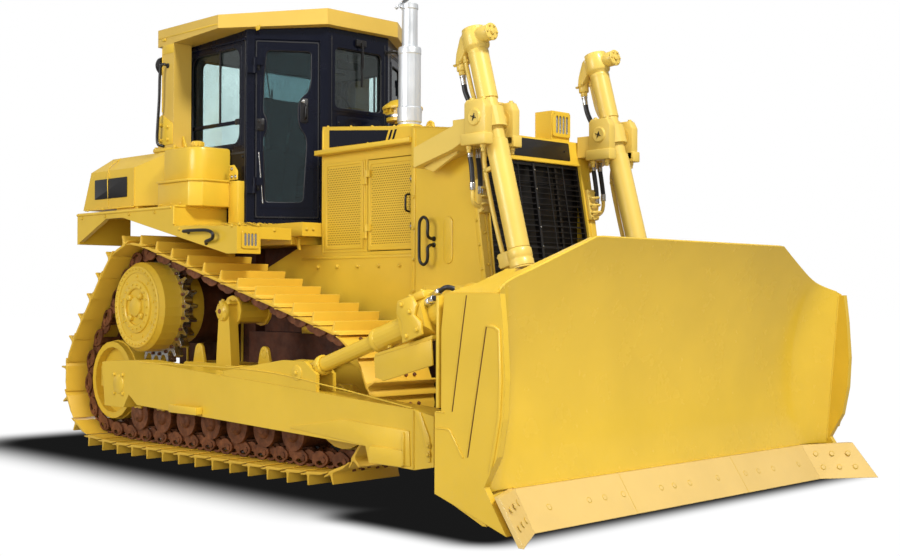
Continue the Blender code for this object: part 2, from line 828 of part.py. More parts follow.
def track_frame(tag, side):
    middle = GAUGE / 2
    pieces = [slab("beam", [
        (FRAME_REAR, FRAME_LOW), (FRAME_FRONT, FRAME_LOW), (FRAME_FRONT, FRAME_HIGH),
        (FRAME_HUMP_FRONT, FRAME_HUMP), (FRAME_HUMP_REAR, FRAME_HUMP), (FRAME_HUMP_REAR - FRAME_SLOPE, FRAME_HIGH),
        (FRAME_REAR, FRAME_HIGH),
    ], "y", side * (middle - FRAME_HALF), side * (middle + FRAME_HALF))]
    for near in (-1, 1):
        start, end = middle + near * CHEEK_NEAR, middle + near * (CHEEK_NEAR + CHEEK_THICK)
        pieces.append(block("cheek", (REAR_IDLER_X - CHEEK_PAST, FRONT_IDLER_X + CHEEK_PAST),
                            span(side, start, end), (CHEEK_LOW, CHEEK_HIGH)))
    centre_z = PIN_HEIGHT + RAIL_IN + ROLLER_RADIUS + GAP
    spacing = (ROLLER_FRONT - ROLLER_REAR) / (ROLLER_COUNT - 1)
    for number in range(ROLLER_COUNT):
        profile, centre = roller(ROLLER_REAR + number * spacing, centre_z, ROLLER_RADIUS)
        pieces.append(turned("roller", profile, centre, 12, side))
    for x in (REAR_IDLER_X, FRONT_IDLER_X):
        pieces.append(turned("idler", idler_profile(), (x, IDLER_Z), 24, side))
    top = upper_rail_height(CARRIER_X) - CARRIER_DROP - CARRIER_RADIUS
    profile, centre = roller(CARRIER_X, top, CARRIER_RADIUS)
    pieces.append(turned("carrier", profile, centre, 12, side))
    post_in, post_out = middle + FLANGE_FAR - BITE / 2, middle + FLANGE_FAR + POST_THICK
    foot, head = POST_WIDE / 2, POST_TOP_WIDE / 2
    crown = arc_points((CARRIER_X, top), head, 0, 180, 6)
    pieces.append(slab("post", [
        (CARRIER_X - foot, FRAME_HIGH - FRAME_HALF), (CARRIER_X + foot, FRAME_HIGH - FRAME_HALF), *crown,
    ], "y", side * post_in, side * post_out))
    pieces.append(bar("boss", (TRUNNION_X, side * (middle + FRAME_HALF - BITE), TRUNNION_Z),
                      (TRUNNION_X, side * (ARM_IN - RUN), TRUNNION_Z), TRUNNION_BOSS, 20))
    pieces.append(bar("pin", (TRUNNION_X, side * (ARM_IN - RUN - BITE), TRUNNION_Z),
                      (TRUNNION_X, side * (ARM_OUT - RUN), TRUNNION_Z), TRUNNION_PIN, 20))
    return finish(merged(f"track_frame_{tag}", pieces), paint())


# Main frame and drive line

def main_frame():
    half = FRAME_WIDE / 2
    slot_rear, slot_front = EQUALIZER_X - EQUALIZER_WIDE / 2 - GAP, EQUALIZER_X + EQUALIZER_WIDE / 2 + GAP
    roof = BELLY_LOW + EQUALIZER_DEEP + GAP
    body = slab("main_frame", [
        (BELLY_REAR, BELLY_LOW), (slot_rear, BELLY_LOW), (slot_rear, roof), (slot_front, roof),
        (slot_front, BELLY_LOW), (BELLY_FRONT - NOSE_RISE, BELLY_LOW), (BELLY_FRONT, BELLY_LOW + NOSE_RISE),
        (BELLY_FRONT, BELLY_HIGH), (BELLY_REAR, BELLY_HIGH),
    ], "y", -half, half)
    hole = socket((PIVOT_X, -half - OVERRUN, PIVOT_Z), (PIVOT_X, half + OVERRUN, PIVOT_Z), PIVOT_RADIUS, 20)
    return finish(merged("main_frame", [body], [hole]), paint())


def axles():
    inner = GAUGE / 2 - CHEEK_NEAR - CHEEK_THICK - GAP
    finish(bar("pivot_shaft", (PIVOT_X, -inner, PIVOT_Z), (PIVOT_X, inner, PIVOT_Z), PIVOT_RADIUS, 20), iron())
    wide = EQUALIZER_WIDE / 2
    finish(block("equalizer_bar", (EQUALIZER_X - wide, EQUALIZER_X + wide), (-inner, inner),
                 (BELLY_LOW, BELLY_LOW + EQUALIZER_DEEP)), paint())


def rear_case():
    body = block("case", (CASE_REAR, BELLY_REAR - GAP), (-CASE_HALF, CASE_HALF), (CASE_LOW, CASE_HIGH))
    axle = bar("axle", (SPROCKET_X, -AXLE_HALF, SPROCKET_Z), (SPROCKET_X, AXLE_HALF, SPROCKET_Z), AXLE_RADIUS, 32)
    return finish(merged("rear_case", [body, axle]), paint())


def hitch():
    body = block("hitch", (HITCH_REAR, CASE_REAR - GAP), (-HITCH_HALF, HITCH_HALF), (HITCH_LOW, HITCH_HIGH))
    slot = block("slot", (HITCH_REAR - OVERRUN, HITCH_REAR + HITCH_SLOT_DEEP),
                 (-HITCH_HALF - OVERRUN, HITCH_HALF + OVERRUN), (HITCH_SLOT_LOW, HITCH_SLOT_HIGH))
    pin_x = HITCH_REAR + HITCH_SLOT_DEEP / 2
    pin = bar("pin", (pin_x, 0, HITCH_LOW + BITE), (pin_x, 0, HITCH_HIGH + HITCH_PIN_PROUD), HITCH_PIN_RADIUS, 16)
    finish(merged("drawbar_hitch", [merged("hitch", [body], [slot]), pin]), iron())


def drive_line():
    finish(block("gearbox", (BELLY_REAR, HOOD_REAR - GAP), (-GEARBOX_HALF, GEARBOX_HALF),
                 (BELLY_HIGH + GAP, PLATFORM_LOW - GAP)), iron())
    finish(block("engine", (ENGINE_REAR, ENGINE_FRONT), (-ENGINE_HALF, ENGINE_HALF),
                 (BELLY_HIGH + GAP, ENGINE_HIGH)), iron())


# Hood and radiator guard

def hood():
    outer = slab("hood", [
        (HOOD_REAR, HOOD_LOW), (HOOD_FRONT, HOOD_LOW), (HOOD_FRONT, HOOD_TOP_FRONT), (HOOD_REAR, HOOD_TOP_REAR),
    ], "y", -HOOD_HALF, HOOD_HALF)
    inner = slab("inside", [
        (HOOD_REAR + HOOD_WALL, HOOD_LOW - OVERRUN), (HOOD_FRONT + OVERRUN, HOOD_LOW - OVERRUN),
        (HOOD_FRONT + OVERRUN, HOOD_TOP_FRONT - HOOD_WALL), (HOOD_REAR + HOOD_WALL, HOOD_TOP_REAR - HOOD_WALL),
    ], "y", HOOD_WALL - HOOD_HALF, HOOD_HALF - HOOD_WALL)
    doorways = block("doorways", (DOOR_REAR, DOOR_FRONT), (-HOOD_HALF - OVERRUN, HOOD_HALF + OVERRUN),
                     (DOOR_LOW, DOOR_HIGH))
    ledges = []
    for side in (-1, 1):
        ledges.append(slab("ledge", [
            (HOOD_REAR, LEDGE_LOW_REAR), (HOOD_FRONT, LEDGE_LOW_FRONT),
            (HOOD_FRONT, LEDGE_LOW_FRONT + LEDGE_THICK), (HOOD_REAR, LEDGE_LOW_REAR + LEDGE_THICK),
        ], "y", side * (HOOD_HALF - BITE), side * (HOOD_HALF + LEDGE_OUT)))
    shell = merged("hood", [outer, *ledges], [inner, doorways])
    for side in (-1, 1):
        door_half, frame_half = engine_hinges(side)
        discard(door_half)
        shell = merged("hood", [shell, *frame_half])
    return finish(shell, paint())


def engine_covers():
    for tag, side in both_sides():
        near, far = HOOD_HALF - DOOR_THICK, HOOD_HALF
        panel = block("panel", (DOOR_REAR + RUN, DOOR_FRONT - RUN), span(side, near, far),
                      (DOOR_LOW + RUN, DOOR_HIGH - RUN))
        door_half, frame_half = engine_hinges(side)
        discard(frame_half)
        finish(merged(f"engine_door_{tag}", [panel, *door_half]), paint())
        finish(slab(f"side_guard_{tag}", [
            (SIDE_GUARD_REAR, BELLY_HIGH + GAP), (HOOD_FRONT - GAP, BELLY_HIGH + GAP), (HOOD_FRONT - GAP, HOOD_LOW - GAP),
            (HOOD_REAR - GAP, HOOD_LOW - GAP), (HOOD_REAR - GAP, PLATFORM_LOW - GAP), (SIDE_GUARD_REAR, PLATFORM_LOW - GAP),
            (GUSSET_REAR, GUSSET_HIGH), (SIDE_GUARD_REAR, GUSSET_LOW),
        ], "y", side * (HOOD_HALF - SIDE_GUARD_THICK), side * HOOD_HALF), paint())


def guard_front_x(z):
    """The leaning front face of the radiator guard."""
    share = (z - GUARD_LOW) / (GUARD_TOP_FRONT - GUARD_LOW)
    return GUARD_FRONT_LOW + (GUARD_FRONT_HIGH - GUARD_FRONT_LOW) * share


def radiator_guard():
    rear = HOOD_FRONT + GAP
    outer = slab("guard", [
        (rear, GUARD_LOW), (GUARD_FRONT_LOW, GUARD_LOW), (GUARD_FRONT_HIGH, GUARD_TOP_FRONT), (rear, GUARD_TOP_REAR),
    ], "y", -GUARD_HALF, GUARD_HALF)
    inner = slab("inside", [
        (rear - OVERRUN, GUARD_LOW - OVERRUN), (guard_front_x(GUARD_LOW) - GUARD_WALL, GUARD_LOW - OVERRUN),
        (guard_front_x(GRILLE_HIGH) - GUARD_WALL, GRILLE_HIGH + GUARD_WALL),
        (rear - OVERRUN, GRILLE_HIGH + GUARD_WALL),
    ], "y", GUARD_WALL - GUARD_HALF, GUARD_HALF - GUARD_WALL)
    mouth = slab("mouth", [
        (-GRILLE_HALF_LOW, GRILLE_LOW), (GRILLE_HALF_LOW, GRILLE_LOW),
        (GRILLE_HALF_HIGH, GRILLE_HIGH), (-GRILLE_HALF_HIGH, GRILLE_HIGH),
    ], "x", CORE_FRONT, GUARD_FRONT_LOW + OVERRUN)
    lamps = [
        block("lamp", (LAMP_REAR, LAMP_FRONT), span(side, LAMP_IN, LAMP_OUT), (GUARD_TOP_FRONT - GUARD_WALL / 2, LAMP_HIGH))
        for side in (-1, 1)
    ]
    return finish(merged("radiator_guard", [merged("guard", [outer], [inner, mouth]), *lamps]), paint())


def grille():
    """Bars and slats in a leaning frame behind the guard's mouth."""
    height = GRILLE_HIGH - GRILLE_LOW - 2 * GAP
    width_low, width_high = GRILLE_HALF_LOW - GAP, GRILLE_HALF_HIGH - GAP
    frame_outer = [
        (-width_low, GRILLE_LOW + GAP), (width_low, GRILLE_LOW + GAP),
        (width_high, GRILLE_HIGH - GAP), (-width_high, GRILLE_HIGH - GAP),
    ]
    rim = GRILLE_BAR * 2
    frame_inner = [
        (-width_low + rim, GRILLE_LOW + rim), (width_low - rim, GRILLE_LOW + rim),
        (width_high - rim, GRILLE_HIGH - rim), (-width_high + rim, GRILLE_HIGH - rim),
    ]
    front = guard_front_x(GRILLE_LOW)
    lean = (GUARD_FRONT_HIGH - GUARD_FRONT_LOW) / (GUARD_TOP_FRONT - GUARD_LOW)
    pieces = [slab("rim", [frame_outer, frame_inner], "x", -GRILLE_DEEP, 0)]
    for number in range(GRILLE_BARS):
        y = width_high * (2 * (number + 1) / (GRILLE_BARS + 1) - 1)
        pieces.append(block("upright", (-GRILLE_DEEP, -BITE / 2), (y - GRILLE_BAR, y + GRILLE_BAR),
                            (GRILLE_LOW + rim / 2, GRILLE_HIGH - rim / 2)))
    for number in range(GRILLE_SLATS):
        z = GRILLE_LOW + height * (number + 1) / (GRILLE_SLATS + 1)
        half = width_low + (width_high - width_low) * (number + 1) / (GRILLE_SLATS + 1) - rim / 2
        pieces.append(block("slat", (-GRILLE_DEEP + BITE / 2, -BITE), (-half, half),
                            (z - GRILLE_BAR / 2, z + GRILLE_BAR / 2)))
    made = merged("grille", pieces)
    shear = Matrix.Identity(4)
    shear[0][2] = lean
    shear[0][3] = front - lean * GRILLE_LOW - GUARD_WALL / 4
    made.data.transform(shear)
    return finish(made, dark_paint())


def radiator():
    return finish(block("radiator_core", (CORE_REAR, CORE_FRONT - GAP),
                        (GUARD_WALL - GUARD_HALF + GAP, GUARD_HALF - GUARD_WALL - GAP),
                        (BELLY_HIGH + GAP, GRILLE_HIGH)), dark_paint())


def hood_top(x):
    """Height of the hood's and guard's top at a place along it."""
    if x <= HOOD_FRONT:
        share = (x - HOOD_REAR) / (HOOD_FRONT - HOOD_REAR)
        return HOOD_TOP_REAR + (HOOD_TOP_FRONT - HOOD_TOP_REAR) * share
    share = (x - HOOD_FRONT) / (GUARD_FRONT_HIGH - HOOD_FRONT)
    return GUARD_TOP_REAR + (GUARD_TOP_FRONT - GUARD_TOP_REAR) * share


def seated(name, pieces, centre_x, half_deep, y, look):
    """Pieces standing on the sloping hood: their feet are cut off parallel to it."""
    rear, front = centre_x - half_deep, centre_x + half_deep
    depth = half_deep * 4
    cutter = slab("foot", [
        (rear - OVERRUN, hood_top(rear - OVERRUN) + GAP), (front + OVERRUN, hood_top(front + OVERRUN) + GAP),
        (front + OVERRUN, hood_top(front) - depth), (rear - OVERRUN, hood_top(rear) - depth),
    ], "y", y - depth, y + depth)
    return finish(merged(name, pieces, [cutter]), look)


def stack():
    foot = hood_top(STACK_X) - STACK_RADIUS
    lower = bar("muffler", (STACK_X, STACK_Y, foot), (STACK_X, STACK_Y, STACK_STEP), STACK_RADIUS, 24)
    upper = bar("pipe", (STACK_X, STACK_Y, STACK_STEP - BITE), (STACK_X, STACK_Y, STACK_TOP), STACK_TOP_RADIUS, 20)
    seated("exhaust_stack", [lower, upper], STACK_X, STACK_RADIUS, STACK_Y, steel())


def cleaner():
    foot = hood_top(CLEANER_X) - CLEANER_NECK
    low, brim = CLEANER_HIGH - CLEANER_DEEP, CLEANER_HIGH - CLEANER_NECK

    def ring(name, start, end, radius, top=None):
        return bar(name, (CLEANER_X, CLEANER_Y, start), (CLEANER_X, CLEANER_Y, end), radius, 24, top)

    neck = ring("neck", foot, low + BITE, CLEANER_NECK)
    bowl = ring("bowl", low, brim, CLEANER_RADIUS)
    rim = ring("rim", brim - BITE, brim + BITE, CLEANER_LID)
    lid = ring("lid", brim + BITE / 2, CLEANER_HIGH, CLEANER_LID - BITE, CLEANER_LID_TOP)
    seated("pre_cleaner", [neck, bowl, rim, lid], CLEANER_X, CLEANER_NECK, CLEANER_Y, paint())


# Lift cylinders

def lift_axis():
    along = Vector((ROD_EYE_X - YOKE_X, 0, ROD_EYE_Z - YOKE_Z))
    return along.normalized(), along.length


def lift_point(side, distance):
    along, _ = lift_axis()
    return Vector((YOKE_X, side * LIFT_Y, YOKE_Z)) + along * distance


def yoke(tag, side):
    rear = guard_front_x(YOKE_LOW) + GAP
    front = rear + YOKE_BACK
    lug = [(rear, YOKE_Z), (rear, YOKE_LOW), (YOKE_FRONT - YOKE_NOSE, YOKE_LOW)]
    lug += arc_points((YOKE_X, YOKE_Z), YOKE_NOSE, -30, 180, 7)
    plates = [
        slab("plate", lug, "y", side * near, side * (near + YOKE_PLATE)) for near in (YOKE_IN, YOKE_OUT - YOKE_PLATE)
    ]
    back = block("back", (rear, front), span(side, YOKE_IN, YOKE_OUT), (YOKE_LOW, YOKE_Z))
    arm = slab("arm", [
        (YOKE_ARM_REAR, YOKE_ARM_LOW), (rear - BITE, YOKE_LOW - BITE * 4), (front, YOKE_LOW),
        (front, YOKE_Z - BITE), (YOKE_ARM_REAR, YOKE_LOW),
    ], "y", side * (GUARD_HALF + GAP), side * YOKE_OUT)
    hole = socket((YOKE_X, side * (YOKE_IN - OVERRUN), YOKE_Z), (YOKE_X, side * (YOKE_OUT + OVERRUN), YOKE_Z),
                  BARREL_PIN, 16)
    return finish(merged(f"lift_yoke_{tag}", [plates[0], back, plates[1], arm], [hole]), paint())


def lift_barrel(tag, side):
    body = bar("barrel", lift_point(side, -BARREL_UP), lift_point(side, BARREL_DOWN), BARREL_RADIUS, 20)
    cap = bar("cap", lift_point(side, -BARREL_UP - BITE), lift_point(side, BARREL_CAP - BARREL_UP),
              BARREL_CAP_RADIUS, 20)
    gland = bar("gland", lift_point(side, BARREL_DOWN - GLAND), lift_point(side, BARREL_DOWN + BITE), GLAND_RADIUS, 20)
    collar = bar("collar", lift_point(side, -COLLAR_LONG / 2), lift_point(side, COLLAR_LONG / 2), COLLAR_HALF, 20)
    pin = bar("pins", (YOKE_X, side * (YOKE_IN + BITE), YOKE_Z), (YOKE_X, side * (YOKE_OUT - BITE), YOKE_Z),
              BARREL_PIN, 16)
    bore = bar("bore", lift_point(side, ROD_HOME - BITE - stroke_up()), lift_point(side, BARREL_DOWN + OVERRUN),
               ROD_RADIUS + GAP, 16)
    return finish(merged(f"lift_barrel_{tag}", [body, cap, gland, collar, pin], [bore]), paint())


def stroke_up():
    """How far the rod draws in when the blade is fully up."""
    return lift_axis()[1] - eye_distance(LIFT_UP)


def eye_distance(angle):
    """Trunnion to rod eye with the blade raised by an angle."""
    dx, dz = ROD_EYE_X - TRUNNION_X, ROD_EYE_Z - TRUNNION_Z
    x = TRUNNION_X + dx * cos(angle) - dz * sin(angle)
    z = TRUNNION_Z + dz * cos(angle) + dx * sin(angle)
    return hypot(x - YOKE_X, z - YOKE_Z)


LIFT_UP = radians(14.5)


def lift_rod(tag, side):
    _, length = lift_axis()
    shaft = bar("rod", lift_point(side, ROD_HOME), lift_point(side, length), ROD_RADIUS, 16)
    eye = bar("eye", (ROD_EYE_X, side * (LIFT_Y - EYE_HALF), ROD_EYE_Z),
              (ROD_EYE_X, side * (LIFT_Y + EYE_HALF), ROD_EYE_Z), EYE_RADIUS, 20)
    bore = bar("bore", (ROD_EYE_X, side * (LIFT_Y - EYE_HALF * 2), ROD_EYE_Z),
               (ROD_EYE_X, side * (LIFT_Y + EYE_HALF * 2), ROD_EYE_Z), EYE_PIN + EYE_DRIFT, 16)
    return finish(merged(f"lift_rod_{tag}", [shaft, eye], [bore]), steel())


# Cab

def cab_plan(inset):
    """The cab's outline from above, moved inward by an inset: rear, side, door face and front."""
    door = Vector((CAB_FRONT - CAB_CORNER, CAB_HALF - CAB_FRONT_HALF))
    lean = atan2(door.y, door.x)
    corner_shift = inset * tan(lean / 2)
    front_shift = inset * tan((pi / 2 - lean) / 2)
    right = [
        (CAB_REAR + inset, inset - CAB_HALF),
        (CAB_CORNER - corner_shift, inset - CAB_HALF),
        (CAB_FRONT - inset, front_shift - CAB_FRONT_HALF),
    ]
    return right + [(x, -y) for x, y in reversed(right)]


def door_frame_of(side):
    """The door face: its rear corner, unit direction forward, unit normal outward, and length."""
    start = Vector((CAB_CORNER, side * CAB_HALF, 0))
    end = Vector((CAB_FRONT, side * CAB_FRONT_HALF, 0))
    along = (end - start).normalized()
    out = Vector((along.y, -along.x, 0)) * -side
    return start, along, out, (end - start).length


def on_door(side, along, out, z):
    start, direction, normal, _ = door_frame_of(side)
    point = start + direction * along + normal * out
    return (point.x, point.y, z)


def door_slab(name, side, near, far, inner, outer, low, high):
    """A box on a cab door's face: along it, through it and upward."""
    corners = [on_door(side, a, o, 0)[:2] for a, o in ((near, inner), (far, inner), (far, outer), (near, outer))]
    return slab(name, corners, "z", low, high)


def knuckle(axis, along, low, high, radius):
    """Half of a hinge: a short tube on the hinge's axis and the leaf that joins it to one side."""
    x, y = axis
    tube = bar("tube", (x, y, low), (x, y, high), radius, 12)
    direction = Vector(along).normalized()
    out = Vector((direction.y, -direction.x))
    if out.y * y < 0:
        out = -out
    leaf = slab("leaf", [
        (x + direction.x * a + out.x * o, y + direction.y * a + out.y * o)
        for a, o in ((0, radius * 0.5), (radius * 4, radius * 0.5), (radius * 4, -radius * 2), (radius * 1.3, -radius * 2),
                     (radius * 1.3, -radius * 0.5), (0, -radius * 0.5))
    ], "z", low + GAP, high - GAP)
    return [tube, leaf]


def hinge_halves(axis, along, heights, long, radius):
    """The door's knuckles and the frame's, the door's resting above."""
    back = (-along[0], -along[1])
    door = [piece for z in heights for piece in knuckle(axis, along, z, z + long, radius)]
    frame = [piece for z in heights for piece in knuckle(axis, back, z - long - GAP, z - GAP, radius)]
    return door, frame


def cab_hinges(side):
    _, direction, _, _ = door_frame_of(side)
    axis = on_door(side, DOOR_EDGE + RUN / 2, CAB_HINGE_OUT, 0)[:2]
    return hinge_halves(axis, direction[:2], CAB_HINGE_HEIGHTS, CAB_HINGE_LONG, CAB_HINGE_RADIUS)


def engine_hinges(side):
    axis = (DOOR_REAR + RUN / 2, side * (HOOD_HALF + ENGINE_HINGE_OUT))
    return hinge_halves(axis, (1, 0), ENGINE_HINGE_HEIGHTS, ENGINE_HINGE_LONG, ENGINE_HINGE_RADIUS)


def discard(pieces):
    for piece in pieces:
        bpy.data.objects.remove(piece, do_unlink=True)


def cab():
    shell = slab("cab_shell", cab_plan(0), "z", CAB_FLOOR, CAB_TOP)
    inside = slab("inside", cab_plan(CAB_WALL), "z", CAB_FLOOR + CAB_SILL, CAB_CEILING)
    cuts = [inside, slab("roof_line", roof_side(-GAP), "y", -ROOF_HALF, ROOF_HALF)]
    for side in (-1, 1):
        length = door_frame_of(side)[3]
        cuts.append(door_slab("doorway", side, DOOR_EDGE, length - DOOR_EDGE, -CAB_WALL * 2, OVERRUN,
                              CAB_DOOR_LOW, CAB_DOOR_HIGH))
    cuts.append(block("side_windows", (SIDE_GLASS_REAR, SIDE_GLASS_FRONT), (-CAB_HALF - OVERRUN, CAB_HALF + OVERRUN),
                      (SIDE_GLASS_LOW, SIDE_GLASS_HIGH)))
    half = CAB_FRONT_HALF - WINDOW_EDGE
    cuts.append(block("windscreen", (CAB_FRONT - CAB_WALL * 2, CAB_FRONT + OVERRUN), (-half, half),
                      (FRONT_GLASS_LOW, FRONT_GLASS_HIGH)))
    half = CAB_HALF - CAB_WALL - WINDOW_EDGE
    cuts.append(block("rear_window", (CAB_REAR - OVERRUN, CAB_REAR + CAB_WALL * 2), (-half, half),
                      (SIDE_GLASS_LOW, SIDE_GLASS_HIGH)))
    cab = merged("cab", [shell], cuts)
    for side in (-1, 1):
        door_half, frame_half = cab_hinges(side)
        discard(door_half)
        cab = merged("cab", [cab, *frame_half])
    finish(cab, dark_paint())


def cab_glass():
    """Panes fitted in the windows, in the middle of the wall."""
    low, high = SIDE_GLASS_LOW + GAP, SIDE_GLASS_HIGH - GAP
    deep = CAB_WALL / 2
    for tag, side in both_sides():
        finish(block(f"side_glass_{tag}", (SIDE_GLASS_REAR + GAP, SIDE_GLASS_FRONT - GAP),
                     span(side, CAB_HALF - deep, CAB_HALF - deep + CAB_GLASS), (low, high)), glass())
    half = CAB_FRONT_HALF - WINDOW_EDGE - GAP
    finish(block("windscreen", (CAB_FRONT - deep, CAB_FRONT - deep + CAB_GLASS), (-half, half),
                 (FRONT_GLASS_LOW + GAP, FRONT_GLASS_HIGH - GAP)), glass())
    half = CAB_HALF - CAB_WALL - WINDOW_EDGE - GAP
    finish(block("rear_glass", (CAB_REAR + deep, CAB_REAR + deep + CAB_GLASS), (-half, half), (low, high)), glass())


def cab_door(tag, side):
    length = door_frame_of(side)[3]
    near, far = DOOR_EDGE + RUN, length - DOOR_EDGE - RUN
    panel = door_slab("panel", side, near, far, -CAB_DOOR_THICK, 0, CAB_DOOR_LOW + RUN, CAB_DOOR_HIGH - RUN)
    opening = door_slab("opening", side, near + WINDOW_EDGE, far - WINDOW_EDGE, -CAB_DOOR_THICK - OVERRUN, OVERRUN,
                        DOOR_GLASS_LOW, DOOR_GLASS_HIGH)
    door_half, frame_half = cab_hinges(side)
    discard(frame_half)
    finish(merged(f"cab_door_{tag}", [merged("panel", [panel], [opening]), *door_half]), dark_paint())
    deep = CAB_DOOR_THICK / 2
    finish(door_slab(f"door_glass_{tag}", side, near + WINDOW_EDGE + GAP, far - WINDOW_EDGE - GAP,
                     -deep, CAB_GLASS - deep, DOOR_GLASS_LOW + GAP, DOOR_GLASS_HIGH - GAP), glass())


def roof_side(rise):
    """The space above the roof's underside as seen from the side, its lower edge moved up by a rise."""
    under = [(x, z + rise) for x, z in ROOF_UNDER]
    (rear, low), (front, high) = under[0], under[-1]
    reach = ROOF_SKIRT
    return [(rear - reach, low), *under, (front + reach, high), (front + reach, high + reach * 2), (rear - reach, low + reach * 2)]


def rops():
    """The roof and the two posts that hold it, one welded structure over the cab."""
    right = [(ROOF_REAR, -ROOF_HALF), (ROOF_CORNER, -ROOF_HALF), (ROOF_FRONT, -ROOF_FRONT_HALF)]
    plan = right + [(x, -y) for x, y in reversed(right)]
    under = [(x, z) for x, z in ROOF_UNDER]
    below = slab("below", [
        (under[0][0] - ROOF_SKIRT, under[0][1]), *under, (under[-1][0] + ROOF_SKIRT, under[-1][1]),
        (under[-1][0] + ROOF_SKIRT, POST_FOOT), (under[0][0] - ROOF_SKIRT, POST_FOOT),
    ], "y", -ROOF_HALF - OVERRUN, ROOF_HALF + OVERRUN)
    crowns = [
        slab("crown", [
            (side * ROOF_FRONT_HALF, ROOF_HIGH), (side * (ROOF_HALF + ROOF_SKIRT), ROOF_RIM - (ROOF_HIGH - ROOF_RIM) * ROOF_SKIRT / (ROOF_HALF - ROOF_FRONT_HALF)),
            (side * (ROOF_HALF + ROOF_SKIRT), ROOF_HIGH + OVERRUN), (side * ROOF_FRONT_HALF, ROOF_HIGH + OVERRUN),
        ], "x", ROOF_REAR - OVERRUN, ROOF_FRONT + OVERRUN)
        for side in (-1, 1)
    ]
    roof = merged("roof", [slab("roof", plan, "z", POST_FLARE, ROOF_HIGH)], [below, *crowns])
    pieces = [roof]
    for side in (-1, 1):
        pieces.append(slab("post", [
            (POST_FOOT_REAR, POST_FOOT), (POST_FRONT, POST_FOOT), (POST_FRONT, ROOF_UNDER[0][1] + BITE * 2),
            (POST_REAR, ROOF_UNDER[0][1] + BITE * 2), (POST_REAR, POST_FLARE),
        ], "y", side * POST_IN, side * POST_OUT))
        pieces.append(block("plate", (POST_FOOT_REAR - POST_PLATE_OUT, POST_FRONT + POST_PLATE_OUT / 2),
                            span(side, POST_IN - BITE, POST_OUT), (FUEL_HIGH + GAP, POST_FOOT + BITE)))
    finish(merged("rops_roof", pieces), paint())


def seat():
    wide, deep = SEAT_WIDE / 2, SEAT_DEEP / 2
    pedestal = block("pedestal", (SEAT_X - PEDESTAL_WIDE / 2, SEAT_X + PEDESTAL_WIDE / 2),
                     (-PEDESTAL_WIDE / 2, PEDESTAL_WIDE / 2), (CAB_FLOOR + CAB_SILL + GAP, SEAT_LOW + BITE))
    cushion = block("cushion", (SEAT_X - deep, SEAT_X + deep), (-wide, wide), (SEAT_LOW, SEAT_LOW + SEAT_THICK))
    back = block("back", (SEAT_X - deep - BACK_THICK + BITE, SEAT_X - deep + BITE), (-wide, wide),
                 (SEAT_LOW, BACK_HIGH))
    finish(merged("seat", [cushion, pedestal, back]), material("seat_cloth", SEAT_GREY, 0.9))
    dash = block("dash", (DASH_FRONT - DASH_DEEP, DASH_FRONT), (-DASH_HALF, DASH_HALF),
                 (CAB_FLOOR + CAB_SILL + GAP, DASH_HIGH))
    finish(dash, dark_paint(), "dashboard")


# Platform, fenders and tanks

def platform():
    half, top = PLATFORM_HALF, CAB_FLOOR - GAP
    finish(slab("platform", [
        (PLATFORM_REAR, PLATFORM_LOW), (PLATFORM_FRONT - PLATFORM_LIP, PLATFORM_LOW),
        (PLATFORM_FRONT - PLATFORM_LIP, top - PLATFORM_BAND), (PLATFORM_FRONT, top - PLATFORM_BAND),
        (PLATFORM_FRONT, top), (PLATFORM_REAR, top),
    ], "y", -half, half), paint())


def fender(tag, side):
    inner = CAB_HALF + GAP
    deck = slab("deck", [
        (FENDER_REAR, FENDER_TOP - FENDER_THICK), (FENDER_STEP - FENDER_THICK, FENDER_TOP - FENDER_THICK),
        (FENDER_STEP - FENDER_THICK, FENDER_STEP_TOP - FENDER_THICK),
        (FENDER_FRONT - FENDER_THICK, FENDER_STEP_TOP - FENDER_THICK * 2),
        (FENDER_FRONT - FENDER_THICK, FENDER_FRONT_LOW), (FENDER_FRONT, FENDER_FRONT_LOW),
        (FENDER_FRONT, FENDER_STEP_TOP - FENDER_THICK), (FENDER_STEP, FENDER_STEP_TOP),
        (FENDER_STEP, FENDER_TOP), (FENDER_REAR, FENDER_TOP),
    ], "y", side * inner, side * FENDER_OUT)
    lip = FENDER_TOP - FENDER_LIP
    skirt = slab("skirt", [
        (FENDER_REAR, FENDER_REAR_LOW), (FENDER_REAR + FENDER_ARCH, lip), (FENDER_STEP - FENDER_RISE, lip),
        (FENDER_FRONT - FENDER_LIP * 2, FENDER_FRONT_LOW), (FENDER_FRONT, FENDER_FRONT_LOW),
        (FENDER_FRONT, FENDER_STEP_TOP - FENDER_THICK), (FENDER_STEP, FENDER_STEP_TOP),
        (FENDER_STEP, FENDER_TOP), (FENDER_REAR, FENDER_TOP),
    ], "y", side * (FENDER_OUT - FENDER_SKIRT), side * FENDER_OUT)
    back = block("back", (FENDER_REAR, FENDER_REAR + FENDER_THICK), span(side, inner, FENDER_OUT),
                 (FENDER_REAR_LOW, FENDER_TOP))
    notch = block("notch", (FENDER_FRONT - FENDER_THICK - OVERRUN, FENDER_FRONT + OVERRUN), span(side, inner - OVERRUN, FENDER_NOSE_IN),
                  (FENDER_FRONT_LOW - OVERRUN, FENDER_STEP_TOP - FENDER_THICK - FENDER_BAND))
    finish(merged(f"fender_{tag}", [deck, skirt, back], [notch]), paint())


def tank_plan(side, inner, front, out):
    """A tank's outline from above, its front outer corner bevelled."""
    return [
        (TANK_REAR, side * inner), (front, side * inner), (front, side * (out - TANK_CORNER)),
        (front - TANK_CORNER, side * out), (TANK_REAR, side * out),
    ]


